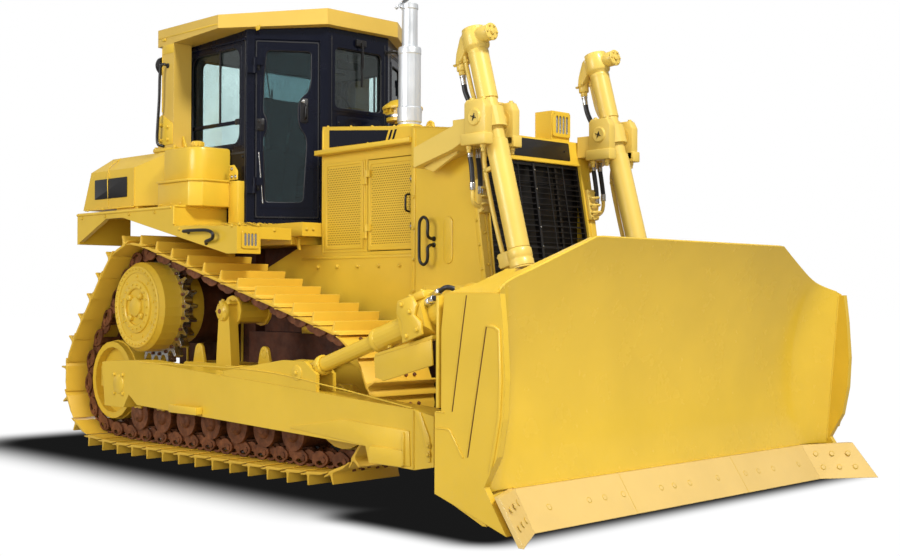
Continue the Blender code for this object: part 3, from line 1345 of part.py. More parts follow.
def tanks():
    for tag, side in both_sides():
        inner = CAB_HALF + GAP * 2
        lower = slab("lower", tank_plan(side, inner, TANK_LOW_FRONT, TANK_LOW_OUT), "z", FENDER_TOP + GAP, TANK_LOW_HIGH)
        ledge = slab("ledge", tank_plan(side, inner, TANK_LOW_FRONT + TANK_LEDGE, TANK_LOW_OUT + TANK_LEDGE), "z",
                     TANK_LOW_HIGH - BITE, TANK_LOW_HIGH + TANK_LEDGE)
        upper = slab("upper", tank_plan(side, inner, TANK_HIGH_FRONT, TANK_HIGH_OUT), "z", TANK_LOW_HIGH, TANK_HIGH)
        pillar = block("pillar", (TANK_LOW_FRONT - BITE, TANK_PILLAR_FRONT), span(side, inner, inner + TANK_PILLAR_OUT),
                       (FENDER_STEP_TOP + BITE, TANK_LOW_HIGH + TANK_LEDGE / 2))
        name = "hydraulic_tank" if side < 0 else "battery_box"
        finish(merged(name, [lower, ledge, upper, pillar]), paint())


def fuel_tank():
    """A wide tank behind the cab, its shoulders reaching forward on both sides of it."""
    beside = CAB_HALF + GAP * 2
    right = [
        (FUEL_REAR, -FUEL_HALF), (FUEL_TURN, -FUEL_HALF), (FUEL_NOSE, -FUEL_NOSE_HALF), (FUEL_NOSE, -beside),
        (FUEL_FRONT, -beside),
    ]
    body = slab("fuel", right + [(x, -y) for x, y in reversed(right)], "z", FUEL_LOW, FUEL_HIGH)
    past = FUEL_HALF + OVERRUN * 2
    lean = (FUEL_REAR_HIGH - FUEL_REAR) / (FUEL_SHOULDER - FUEL_LOW)
    cuts = [slab("back", [
        (FUEL_REAR - lean * OVERRUN, FUEL_LOW - OVERRUN), (FUEL_REAR_HIGH, FUEL_SHOULDER),
        (FUEL_REAR_HIGH + FUEL_CHAMFER, FUEL_HIGH), (FUEL_REAR_HIGH + FUEL_CHAMFER, FUEL_HIGH + OVERRUN),
        (FUEL_REAR - FUEL_CHAMFER, FUEL_HIGH + OVERRUN), (FUEL_REAR - FUEL_CHAMFER, FUEL_LOW - OVERRUN),
    ], "y", -past, past)]
    for side in (-1, 1):
        cuts.append(slab("bevel", [
            (side * FUEL_HALF, FUEL_SHOULDER), (side * (FUEL_HALF - FUEL_BEVEL), FUEL_HIGH),
            (side * (FUEL_HALF - FUEL_BEVEL), FUEL_HIGH + OVERRUN), (side * past, FUEL_HIGH + OVERRUN),
            (side * past, FUEL_SHOULDER - OVERRUN * 2),
        ], "x", FUEL_REAR - FUEL_CHAMFER, FUEL_NOSE + OVERRUN))
    pieces = [merged("tank", [body], cuts)]
    for side in (-1, 1):
        pieces.append(block("foot", (FUEL_FRONT - FUEL_CHAMFER * 3, FUEL_FRONT - FUEL_CHAMFER),
                            span(side, FUEL_HALF - FUEL_FOOT_WIDE, FUEL_HALF - BITE), (FENDER_TOP + GAP, FUEL_LOW + BITE)))
    finish(merged("fuel_tank", pieces), paint())


# Blade and push arms

def board_x(z, shift=0.0):
    """The mouldboard's front face at a height: an arc between its foot and its top."""
    foot, top = Vector((BOARD_FOOT_X, BOARD_FOOT_Z)), Vector((BOARD_TOP_X, BOARD_TOP_Z))
    chord = top - foot
    radius = chord.length ** 2 / (8 * BOARD_SAG) + BOARD_SAG / 2
    out = Vector((chord.y, -chord.x)).normalized()
    centre = (foot + top) / 2 + out * (radius - BOARD_SAG)
    return centre.x - sqrt((radius + shift) ** 2 - (z - centre.y) ** 2)


def edge_line(z, back=0.0):
    """The cutting edge's leaning front face at a height, or a plane behind it."""
    slope = (EDGE_HIGH_X - EDGE_TIP_X) / EDGE_HIGH_Z
    return EDGE_TIP_X + slope * z - back / cos(atan2(-slope, 1))


def board_outline(steps=10):
    front = [
        (board_x(z), z)
        for z in (BOARD_FOOT_Z + (BOARD_TOP_Z - BOARD_FOOT_Z) * i / steps for i in range(steps + 1))
    ]
    back = [
        (BOARD_TOP_X - BOARD_THICK * 2, BOARD_TOP_Z), (board_x(KINK_Z) - BOARD_THICK * 3, KINK_Z),
        (BACK_HIGH_X, BACK_HIGH_Z), (BACK_MID_X, BACK_HIGH_Z - BOARD_THICK * 4), (BACK_MID_X, BACK_STEP_Z),
        (BACK_LOW_X, BACK_STEP_Z), (BACK_LOW_X, BACK_LOW_Z),
        (edge_line(BACK_FOOT_Z, EDGE_THICK + GAP) - BOARD_THICK, BACK_FOOT_Z),
        (edge_line(BACK_FOOT_Z, EDGE_THICK + GAP), BACK_FOOT_Z),
        (edge_line(EDGE_HIGH_Z, EDGE_THICK + GAP), EDGE_HIGH_Z),
    ]
    return front + back


def end_plate_outline():
    return [
        (BACK_LOW_X, BACK_LOW_Z), *END_SOLE, *END_EDGE, (BACK_HIGH_X, WING_TOP_Z), (BACK_MID_X, END_WAIST_Z),
        (BACK_MID_X, BACK_STEP_Z), (BACK_LOW_X, BACK_STEP_Z),
    ]


def arm_bracket(side):
    """The blade's brackets for one side: the push arm's seat, the brace's ears and the lift rod's ears and pin."""
    pieces = [block("seat", (ARM_NOSE + GAP, BACK_LOW_X + BITE), span(side, ARM_IN + BITE * 2, ARM_OUT - BITE * 2),
                    (ARM_FRONT_LOW + BITE * 3, ARM_FRONT_HIGH - BITE * 3))]
    for near in (BRACE_Y - BRACE_EYE_HALF - GAP - LUG_THICK, BRACE_Y + BRACE_EYE_HALF + GAP):
        pieces.append(slab("ear", [
            (BACK_HIGH_X + BITE * 3, BRACE_TOP_Z - LUG_RISE), (BACK_HIGH_X + BITE * 3, BACK_HIGH_Z + BITE),
            (BRACE_TOP_X - BRACE_EYE_RADIUS, BRACE_TOP_Z + BRACE_EYE_RADIUS * 0.7),
            (BRACE_TOP_X - BRACE_EYE_RADIUS, BRACE_TOP_Z - BRACE_EYE_RADIUS),
        ], "y", side * near, side * (near + LUG_THICK)))
    for near in (LIFT_Y - EYE_HALF - RUN - LUG_THICK, LIFT_Y + EYE_HALF + RUN):
        pieces.append(slab("lug", [
            (BACK_LOW_X + BITE, ROD_EYE_Z + EYE_RADIUS), (ROD_EYE_X - EYE_RADIUS / 2, ROD_EYE_Z + EYE_RADIUS),
            (ROD_EYE_X - EYE_RADIUS, ROD_EYE_Z + EYE_RADIUS / 2), (ROD_EYE_X - EYE_RADIUS, ROD_EYE_Z - EYE_RADIUS / 2),
            (ROD_EYE_X - EYE_RADIUS / 2, ROD_EYE_Z - EYE_RADIUS), (BACK_LOW_X + BITE, ROD_EYE_Z - LUG_RISE),
        ], "y", side * near, side * (near + LUG_THICK)))
    reach = EYE_HALF + RUN + LUG_THICK + BITE
    pieces.append(bar("pin", (ROD_EYE_X, side * (LIFT_Y - reach), ROD_EYE_Z),
                      (ROD_EYE_X, side * (LIFT_Y + reach), ROD_EYE_Z), EYE_PIN, 16))
    return pieces


def blade():
    inside = BLADE_HALF - END_THICK / 2
    pieces = [slab("board", board_outline(), "y", -inside, inside)]
    for side in (-1, 1):
        reach = WING_REACH
        wing = slab("wing", [
            (BACK_MID_X + BITE, side * (BLADE_HALF - reach)),
            (WING_LOW_X - WING_SLOPE * reach, side * (BLADE_HALF - reach)),
            (WING_LOW_X - WING_SLOPE * END_THICK / 2, side * inside), (BACK_MID_X + BITE, side * inside),
        ], "z", WING_FOOT_Z, KINK_Z + BITE)
        lean = Matrix.Identity(4)
        lean[0][2] = (WING_HIGH_X - WING_LOW_X) / (WING_TOP_Z - WING_FOOT_Z)
        lean[0][3] = -lean[0][2] * WING_FOOT_Z
        wing.data.transform(lean)
        pieces.append(wing)
        pieces.append(slab("end", end_plate_outline(), "y", side * (BLADE_HALF - END_THICK), side * BLADE_HALF))
    trims = []
    for side in (-1, 1):
        past = BLADE_HALF + 2 * END_THICK
        slope = (KINK_Z - WING_TOP_Z) / (BLADE_HALF - KINK_Y)
        trims.append(slab("trim", [
            (side * TOP_FLAT, BOARD_TOP_Z), (side * KINK_Y, KINK_Z), (side * past, WING_TOP_Z - slope * 2 * END_THICK + GAP),
            (side * past, BOARD_TOP_Z + BITE), (side * TOP_FLAT, BOARD_TOP_Z + BITE),
        ], "x", BACK_LOW_X - OVERRUN, END_FRONT_X + OVERRUN))
    board = merged("board", pieces, trims)
    finish(merged("blade", [board, *arm_bracket(-1), *arm_bracket(1)]), paint())


def cutting_edge():
    outline = [
        (EDGE_TIP_X, 0), (EDGE_HIGH_X, EDGE_HIGH_Z), (edge_line(EDGE_HIGH_Z, EDGE_THICK), EDGE_HIGH_Z),
        (edge_line(0, EDGE_THICK), 0),
    ]
    finish(slab("cutting_edge", outline, "y", -EDGE_HALF + GAP, EDGE_HALF - GAP), iron())


def end_bit(tag, side):
    """A four-cornered plate from the cutting edge's end to its own outer tip."""
    front = [
        (EDGE_TIP_X, EDGE_HALF, 0), (BIT_TIP_X, BIT_TIP_Y, 0),
        (BIT_HIGH_X, BIT_HIGH_Y, BIT_HIGH_Z), (EDGE_HIGH_X, EDGE_HALF, EDGE_HIGH_Z),
    ]
    thick = edge_line(0) - edge_line(0, EDGE_THICK)
    bm = bmesh.new()
    verts = [bm.verts.new((x - back, side * y, z)) for back in (0, thick) for x, y, z in front]
    for face in ((0, 1, 2), (0, 2, 3), (4, 6, 5), (4, 7, 6)):
        bm.faces.new([verts[i] for i in face])
    for i in range(4):
        j = (i + 1) % 4
        bm.faces.new((verts[i], verts[i + 4], verts[j + 4], verts[j]))
    finish(from_bmesh(bm, f"end_bit_{tag}"), iron())


# Push arms and braces

def push_arm(tag, side):
    body = slab("arm", [
        (ARM_REAR, ARM_REAR_HIGH - BITE), (ARM_REAR + BITE * 4, ARM_REAR_LOW), (ARM_NECK_X - ARM_HEEL_LONG, ARM_REAR_LOW),
        (ARM_NECK_X - ARM_HEEL_FRONT, ARM_REAR_LOW + ARM_HEEL_RISE), (ARM_NECK_X, ARM_LOW),
        (ARM_STEP_X - ARM_STEP_LONG, ARM_STEP_LOW),
        (ARM_STEP_X, ARM_FRONT_LOW + BITE), (ARM_FRONT, ARM_FRONT_LOW), (ARM_NOSE, ARM_FRONT_LOW + BITE * 3),
        (ARM_NOSE, ARM_FRONT_HIGH - BITE * 3), (ARM_FRONT, ARM_FRONT_HIGH), (ARM_NECK_X, ARM_HIGH),
        (ARM_REAR + BITE * 6, ARM_REAR_HIGH),
    ], "y", side * ARM_IN, side * ARM_OUT)
    plates = []
    for near in (BRACE_Y - BRACE_EYE_HALF - GAP - BRACKET_THICK, BRACE_Y + BRACE_EYE_HALF + GAP):
        plates.append(slab("bracket", [
            (BRACKET_REAR, ARM_LOW + ARM_HEEL_RISE), (BRACKET_FRONT, ARM_LOW + ARM_HEEL_RISE), (BRACKET_FRONT, BRACE_EYE_Z),
            (BRACE_EYE_X + BRACE_EYE_RADIUS, BRACKET_HIGH), (BRACE_EYE_X - BRACE_EYE_RADIUS * 2, BRACKET_HIGH),
            (BRACKET_REAR, ARM_HIGH - BITE * 3),
        ], "y", side * near, side * (near + BRACKET_THICK)))
    hole = socket((TRUNNION_X, side * (ARM_IN - OVERRUN), TRUNNION_Z),
                  (TRUNNION_X, side * (ARM_OUT + OVERRUN), TRUNNION_Z), TRUNNION_PIN, 20)
    finish(merged(f"push_arm_{tag}", [body, *plates], [hole]), paint())


def along_brace(side, share):
    """A point on the brace's line from its eye on the arm to its eye on the blade."""
    start = Vector((BRACE_EYE_X, side * BRACE_Y, BRACE_EYE_Z))
    end = Vector((BRACE_TOP_X, side * BRACE_Y, BRACE_TOP_Z))
    return start + (end - start) * share


def brace_eye(side, x, z):
    return bar("eye", (x, side * (BRACE_Y - BRACE_EYE_HALF), z), (x, side * (BRACE_Y + BRACE_EYE_HALF), z),
               BRACE_EYE_RADIUS, 20)


def tilt_cylinder():
    """On the right, a hydraulic cylinder tips the blade: its rod is on the arm, its barrel on the blade."""
    side = -1
    pieces = [
        bar("rod", along_brace(side, 0), along_brace(side, 1), TILT_ROD_RADIUS, 16),
        brace_eye(side, BRACE_EYE_X, BRACE_EYE_Z),
        bar("barrel", along_brace(side, TILT_BARREL_AT_SHARE), along_brace(side, TILT_HEAD_AT_SHARE + 0.02),
            TILT_BARREL_RADIUS, 20),
        bar("head", along_brace(side, TILT_HEAD_AT_SHARE), along_brace(side, TILT_TAIL_AT_SHARE), TILT_HEAD_RADIUS, 6),
        bar("tail", along_brace(side, TILT_TAIL_AT_SHARE - 0.02), along_brace(side, EARS_AT_SHARE), TILT_BARREL_RADIUS, 20),
        brace_eye(side, BRACE_TOP_X, BRACE_TOP_Z),
    ]
    finish(merged("tilt_cylinder", pieces), paint())


def brace_tube():
    """On the left, a threaded tube holds the same length."""
    side = 1
    pieces = [
        bar("thread", along_brace(side, 0), along_brace(side, 1), TILT_ROD_RADIUS, 16),
        bar("tube", along_brace(side, 1 - EARS_AT_SHARE), along_brace(side, EARS_AT_SHARE), BRACE_TUBE_RADIUS, 20),
        bar("collar", along_brace(side, TILT_BARREL_AT_SHARE), along_brace(side, TILT_HEAD_AT_SHARE),
            TILT_BARREL_RADIUS, 20),
        brace_eye(side, BRACE_EYE_X, BRACE_EYE_Z), brace_eye(side, BRACE_TOP_X, BRACE_TOP_Z),
    ]
    finish(merged("brace_tube", pieces), paint())


def main():
    clear_scene()
    main_frame()
    axles()
    rear_case()
    hitch()
    drive_line()
    for tag, side in both_sides():
        track(tag, side)
        sprocket(tag, side)
        final_drive(tag, side)
        track_frame(tag, side)
        yoke(tag, side)
        lift_barrel(tag, side)
        lift_rod(tag, side)
        cab_door(tag, side)
        fender(tag, side)
        push_arm(tag, side)
        end_bit(tag, side)
    hood()
    engine_covers()
    radiator_guard()
    grille()
    radiator()
    stack()
    cleaner()
    cab()
    cab_glass()
    rops()
    seat()
    platform()
    tanks()
    fuel_tank()
    blade()
    cutting_edge()
    tilt_cylinder()
    brace_tube()


main()
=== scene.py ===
"""Looks of the crawler bulldozer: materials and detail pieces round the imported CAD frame.

Metres, X forward, Y to the machine's left, Z up. _R pieces are on the right (Y below zero).
"""

import json
from math import asin, atan2, ceil, cos, exp, hypot, pi, radians, sin, sqrt

import bmesh
import bpy
from mathutils import Matrix, Vector

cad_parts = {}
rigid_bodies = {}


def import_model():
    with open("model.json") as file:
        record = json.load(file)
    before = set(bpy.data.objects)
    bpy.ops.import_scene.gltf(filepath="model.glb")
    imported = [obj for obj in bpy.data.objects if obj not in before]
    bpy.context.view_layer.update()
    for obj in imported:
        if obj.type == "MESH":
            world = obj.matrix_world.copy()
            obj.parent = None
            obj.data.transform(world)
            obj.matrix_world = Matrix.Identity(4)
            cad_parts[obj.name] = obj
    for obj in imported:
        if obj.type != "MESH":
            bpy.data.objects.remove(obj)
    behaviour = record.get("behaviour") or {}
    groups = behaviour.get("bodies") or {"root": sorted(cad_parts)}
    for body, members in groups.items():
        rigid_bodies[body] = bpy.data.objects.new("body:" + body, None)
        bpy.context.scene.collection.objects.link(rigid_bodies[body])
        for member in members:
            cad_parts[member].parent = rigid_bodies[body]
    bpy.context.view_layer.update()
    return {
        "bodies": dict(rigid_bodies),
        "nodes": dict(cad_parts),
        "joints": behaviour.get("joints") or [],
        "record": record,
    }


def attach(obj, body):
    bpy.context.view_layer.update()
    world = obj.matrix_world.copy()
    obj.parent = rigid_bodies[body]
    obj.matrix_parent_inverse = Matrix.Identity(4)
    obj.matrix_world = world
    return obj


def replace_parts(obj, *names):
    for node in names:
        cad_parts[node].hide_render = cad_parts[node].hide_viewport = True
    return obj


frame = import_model()
NODES = frame["nodes"]

FORE, AFT, LEFT, RIGHT, UP, DOWN = (1, 0, 0), (-1, 0, 0), (0, 1, 0), (0, -1, 0), (0, 0, 1), (0, 0, -1)


# Materials

class Nodes:
    """A material's node tree with short calls for the nodes used here."""

    def __init__(self, name):
        self.material = bpy.data.materials.new(name)
        self.material.use_nodes = True
        self.tree = self.material.node_tree
        self.shader = self.tree.nodes["Principled BSDF"]

    def add(self, kind, **values):
        """A new node with values in some of its inputs."""
        node = self.tree.nodes.new(kind)
        for key, value in values.items():
            node.inputs[key.replace("_", " ")].default_value = value
        return node

    def link(self, source, target):
        self.tree.links.new(source, target)

    def place(self):
        if not hasattr(self, "coords"):
            self.coords = self.add("ShaderNodeTexCoord").outputs["Object"]
        return self.coords

    def noise(self, scale, detail=3, roughness=0.55, stretch=None):
        node = self.add("ShaderNodeTexNoise", Scale=scale, Detail=detail, Roughness=roughness)
        source = self.place()
        if stretch:
            mapping = self.add("ShaderNodeMapping", Scale=stretch)
            self.link(source, mapping.inputs["Vector"])
            source = mapping.outputs["Vector"]
        self.link(source, node.inputs["Vector"])
        return node.outputs["Fac"]

    def ramp(self, source, *stops):
        node = self.add("ShaderNodeValToRGB")
        elements = node.color_ramp.elements
        while len(elements) < len(stops):
            elements.new(0.5)
        for element, (at, colour) in zip(elements, stops):
            element.position = at
            if not isinstance(colour, tuple):
                colour = (colour, colour, colour)
            element.color = (*colour, 1)
        self.link(source, node.inputs["Fac"])
        return node.outputs["Color"]

    def mix(self, share, first, second):
        node = self.add("ShaderNodeMix")
        node.data_type = "RGBA"
        for socket, value in ((node.inputs[0], share), (node.inputs[6], first), (node.inputs[7], second)):
            if hasattr(value, "is_output"):
                self.link(value, socket)
            elif isinstance(value, tuple):
                socket.default_value = (*value, 1)
            else:
                socket.default_value = value
        return node.outputs[2]

    def height(self, low, high):
        """0 below a height, 1 above another."""
        split = self.add("ShaderNodeSeparateXYZ")
        self.link(self.place(), split.inputs[0])
        node = self.add("ShaderNodeMapRange", From_Min=low, From_Max=high)
        self.link(split.outputs["Z"], node.inputs["Value"])
        return node.outputs["Result"]

    def bump(self, source, strength, distance, rounding=0):
        node = self.add("ShaderNodeBump", Strength=strength, Distance=distance)
        self.link(source, node.inputs["Height"])
        if rounding:
            soft = self.add("ShaderNodeBevel", Radius=rounding)
            soft.samples = 4
            self.link(soft.outputs["Normal"], node.inputs["Normal"])
        self.link(node.outputs["Normal"], self.shader.inputs["Normal"])

    def set(self, **values):
        for key, value in values.items():
            socket = self.shader.inputs[key.replace("_", " ")]
            if hasattr(value, "is_output"):
                self.link(value, socket)
            elif isinstance(value, tuple) and len(value) == 3:
                socket.default_value = (*value, 1)
            else:
                socket.default_value = value
        return self


def paint(name, clean, dusty, rough=0.32, coat=0.35, rounding=0.006, shine=0.4):
    """Gloss enamel: large soft tint changes, faint orange peel, dust low down."""
    n = Nodes(name)
    tint = n.ramp(n.noise(1.7, 4), (0.35, tuple(c * 0.95 for c in clean)), (0.65, tuple(min(1, c * 1.04)
                for c in clean)))
    specks = n.ramp(n.noise(34, 5, 0.7), (0.52, 0), (0.8, 0.4))
    low = n.ramp(n.height(0, 1.2), (0, 0.42), (1, 0.06))
    dust = n.add("ShaderNodeMix")
    dust.data_type = "RGBA"
    dust.blend_type = "MULTIPLY"
    dust.inputs[0].default_value = 1
    n.link(specks, dust.inputs[6])
    n.link(low, dust.inputs[7])
    n.set(Base_Color=n.mix(dust.outputs[2], tint, dusty))
    n.set(Roughness=n.ramp(n.noise(6, 4), (0.3, rough - 0.06), (0.7, rough + 0.07)))
    n.set(Coat_Weight=coat, Coat_Roughness=0.08, Specular_IOR_Level=shine)
    n.bump(n.noise(160, 2), 0.05, 0.002, rounding)
    return n.material


def metal(name, dark, light, rough, scale=9, stretch=None, metallic=1, depth=0.15):
    n = Nodes(name)
    n.set(Base_Color=n.ramp(n.noise(scale, 6, 0.65, stretch), (0.35, dark), (0.65, light)))
    n.set(Roughness=n.ramp(n.noise(scale * 2.3, 4), (0.3, rough * 0.8), (0.7, min(1, rough * 1.25))))
    n.set(Metallic=metallic)
    n.bump(n.noise(scale * 9, 4), depth, 0.002, 0.003)
    return n.material


def rubber(name, colour, rough):
    n = Nodes(name)
    n.set(Base_Color=n.ramp(n.noise(30, 4), (0.3, colour), (0.7, tuple(c * 1.8 for c in colour))))
    n.set(Roughness=n.ramp(n.noise(12), (0.3, rough - 0.08), (0.7, rough + 0.08)))
    n.bump(n.noise(240, 2), 0.2, 0.001)
    return n.material


def cloth(name, colour):
    n = Nodes(name)
    wave = n.add("ShaderNodeTexWave", Scale=120, Distortion=1.5)
    n.link(n.place(), wave.inputs["Vector"])
    n.set(Base_Color=n.mix(wave.outputs["Fac"], colour, tuple(c * 2 for c in colour)), Roughness=0.9, Sheen_Weight=0.4)
    n.bump(wave.outputs["Fac"], 0.3, 0.002)
    return n.material


def pane(name, colour, clear):
    """Tinted glass seen through, with a faint film that varies over the pane."""
    n = Nodes(name)
    film = n.ramp(n.noise(2.2, 3), (0.3, tuple(c * 0.8 for c in colour)), (0.7, colour))
    n.set(Base_Color=film, Transmission_Weight=clear, IOR=1.45, Specular_IOR_Level=0.5)
    n.set(Roughness=n.ramp(n.noise(9), (0.3, 0.01), (0.8, 0.05)))
    return n.material


YELLOW = paint("machine_yellow", (0.71, 0.462, 0.036), (0.56, 0.42, 0.17), 0.34, 0.16)
YELLOW_TRACK = paint("track_yellow", (0.72, 0.445, 0.04), (0.46, 0.31, 0.13), 0.42, 0.08, 0.004)
YELLOW_BLADE = paint("blade_yellow", (0.74, 0.49, 0.04), (0.76, 0.55, 0.2), 0.24, 0.25)
# Painted highlight: a paler copy of the yellow on the cutting edge and end bits, standing in for the light on the
# upward-facing lower band
YELLOW_EDGE_LIT = paint("edge_yellow_painted_highlight", (0.7, 0.49, 0.16), (0.68, 0.52, 0.28), 0.36, 0.1)
# Painted shade: a darker, paler copy of the yellow on the roof, set against the strong light that falls on its top
YELLOW_ROOF_SHADED = paint("roof_yellow_painted_shade", (0.65, 0.43, 0.075), (0.56, 0.42, 0.17), 0.36, 0.12)
# Painted highlight: a paler, more beige copy of the yellow on the lift barrels and yokes, standing in for the light on
# them
YELLOW_LIFT_LIT = paint("lift_yellow_painted_highlight", (0.73, 0.52, 0.105), (0.6, 0.46, 0.2), 0.36, 0.12)
NAVY = paint("cab_navy", (0.0026, 0.0036, 0.0105), (0.008, 0.008, 0.01), 0.24, 0.04, 0.004, 0.22)
BLACK = paint("black_enamel", (0.007, 0.006, 0.006), (0.022, 0.018, 0.015), 0.36, 0.12, 0.003)
BROWN = metal("chain_iron", (0.088, 0.027, 0.009), (0.235, 0.085, 0.032), 0.62, 14, metallic=0.3)
# Painted shade: a dark brown standing in for the shade on the case, frame and other parts between and under the tracks
SHADE = metal("underbody_painted_shade", (0.042, 0.012, 0.005), (0.1, 0.03, 0.012), 0.75, 6, metallic=0.1)
STEEL = metal("polished_steel", (0.42, 0.41, 0.39), (0.78, 0.77, 0.74), 0.24, 5, (1, 1, 6))
CHROME = metal("chromed_rod", (0.7, 0.7, 0.7), (0.86, 0.86, 0.86), 0.08, 3)
STACK_STEEL = metal("stack_steel", (0.6, 0.63, 0.66), (0.78, 0.8, 0.83), 0.36, 3, (8, 8, 0.6), metallic=0.6)
HOSE = rubber("hose_rubber", (0.012, 0.012, 0.014), 0.42)
SEAL = rubber("window_seal", (0.006, 0.006, 0.007), 0.5)
SEAT_CLOTH = cloth("seat_weave", (0.025, 0.027, 0.031))
GLASS = pane("tinted_glass", (0.45, 0.535, 0.53), 0.985)
DOOR_GLASS = pane("door_glass", (0.055, 0.105, 0.115), 0.985)
LENS = pane("lamp_lens", (0.88, 0.9, 0.92), 0.75)
WIRE = paint("grille_black", (0.006, 0.005, 0.005), (0.02, 0.015, 0.013), 0.42, 0.05, 0)
# Painted shade: the dark brown of the shaded inside seen through punched holes, put on flat discs
HOLE_SHADE = paint("punched_hole_painted_shade", (0.17, 0.085, 0.008), (0.1, 0.05, 0.01), 0.7, 0, 0)
FLOOR_MAT = rubber("cab_floor", (0.012, 0.012, 0.013), 0.75)
LINER = cloth("roof_liner", (0.045, 0.045, 0.048))
TRIM = rubber("moulded_trim", (0.018, 0.018, 0.02), 0.55)


# Building pieces

AXIS_TURNS = {
    "x": Matrix(((0, 0, 1, 0), (1, 0, 0, 0), (0, 1, 0, 0), (0, 0, 0, 1))),
    "y": Matrix(((1, 0, 0, 0), (0, 0, -1, 0), (0, 1, 0, 0), (0, 0, 0, 1))),
    "z": Matrix.Identity(4),
}
MIRROR = Matrix.Diagonal((1, -1, 1, 1))
NEARLY_UPRIGHT = 0.98       # cosine past which a direction counts as vertical
SHARP_FOLD = 28             # degrees from which an edge is bevelled
RIPPLE_DEPTH, RIPPLES = 0.14, 420       # share of a weld's radius; radians in a metre
WASHER_HEIGHT, WASHER_WIDTH, HEAD_HEIGHT, HEAD_BEVEL = 0.22, 1.45, 0.95, 0.12     # shares of a bolt head's radius


def aim(point, direction):
    """A frame at a point whose Z runs along a direction."""
    z = Vector(direction).normalized()
    up = Vector(FORE if abs(z.z) > NEARLY_UPRIGHT else UP)
    x = up.cross(z).normalized()
    y = z.cross(x)
    turn = Matrix((x, y, z)).transposed().to_4x4()
    return Matrix.Translation(Vector(point)) @ turn


def placed(name, data):
    """A new object in the scene."""
    obj = bpy.data.objects.new(name, data)
    bpy.context.scene.collection.objects.link(obj)
    return obj


def spun(place, degrees, axis="Z"):
    """A frame at a place, turned about one of its axes."""
    return Matrix.Translation(place) @ Matrix.Rotation(radians(degrees), 4, axis)


def turned(axis, at):
    """The frame of an outline drawn across an axis."""
    return AXIS_TURNS[axis] if at is None else at @ AXIS_TURNS[axis]


def stitch(part, first, second):
    """Faces between two closed rows of points."""
    for k in range(len(first)):
        j = (k + 1) % len(first)
        part.faces.new((first[k], first[j], second[j], second[k]))


def circle(part, centre, side, other, radius, sides):
    angles = [2 * pi * k / sides for k in range(sides)]
    return [part.verts.new(centre + (side * cos(a) + other * sin(a)) * radius) for a in angles]


def extrude(part, faces, rise):
    grown = bmesh.ops.extrude_face_region(part, geom=faces)
    moved = [v for v in grown["geom"] if isinstance(v, bmesh.types.BMVert)]
    bmesh.ops.translate(part, vec=(0, 0, rise), verts=moved)


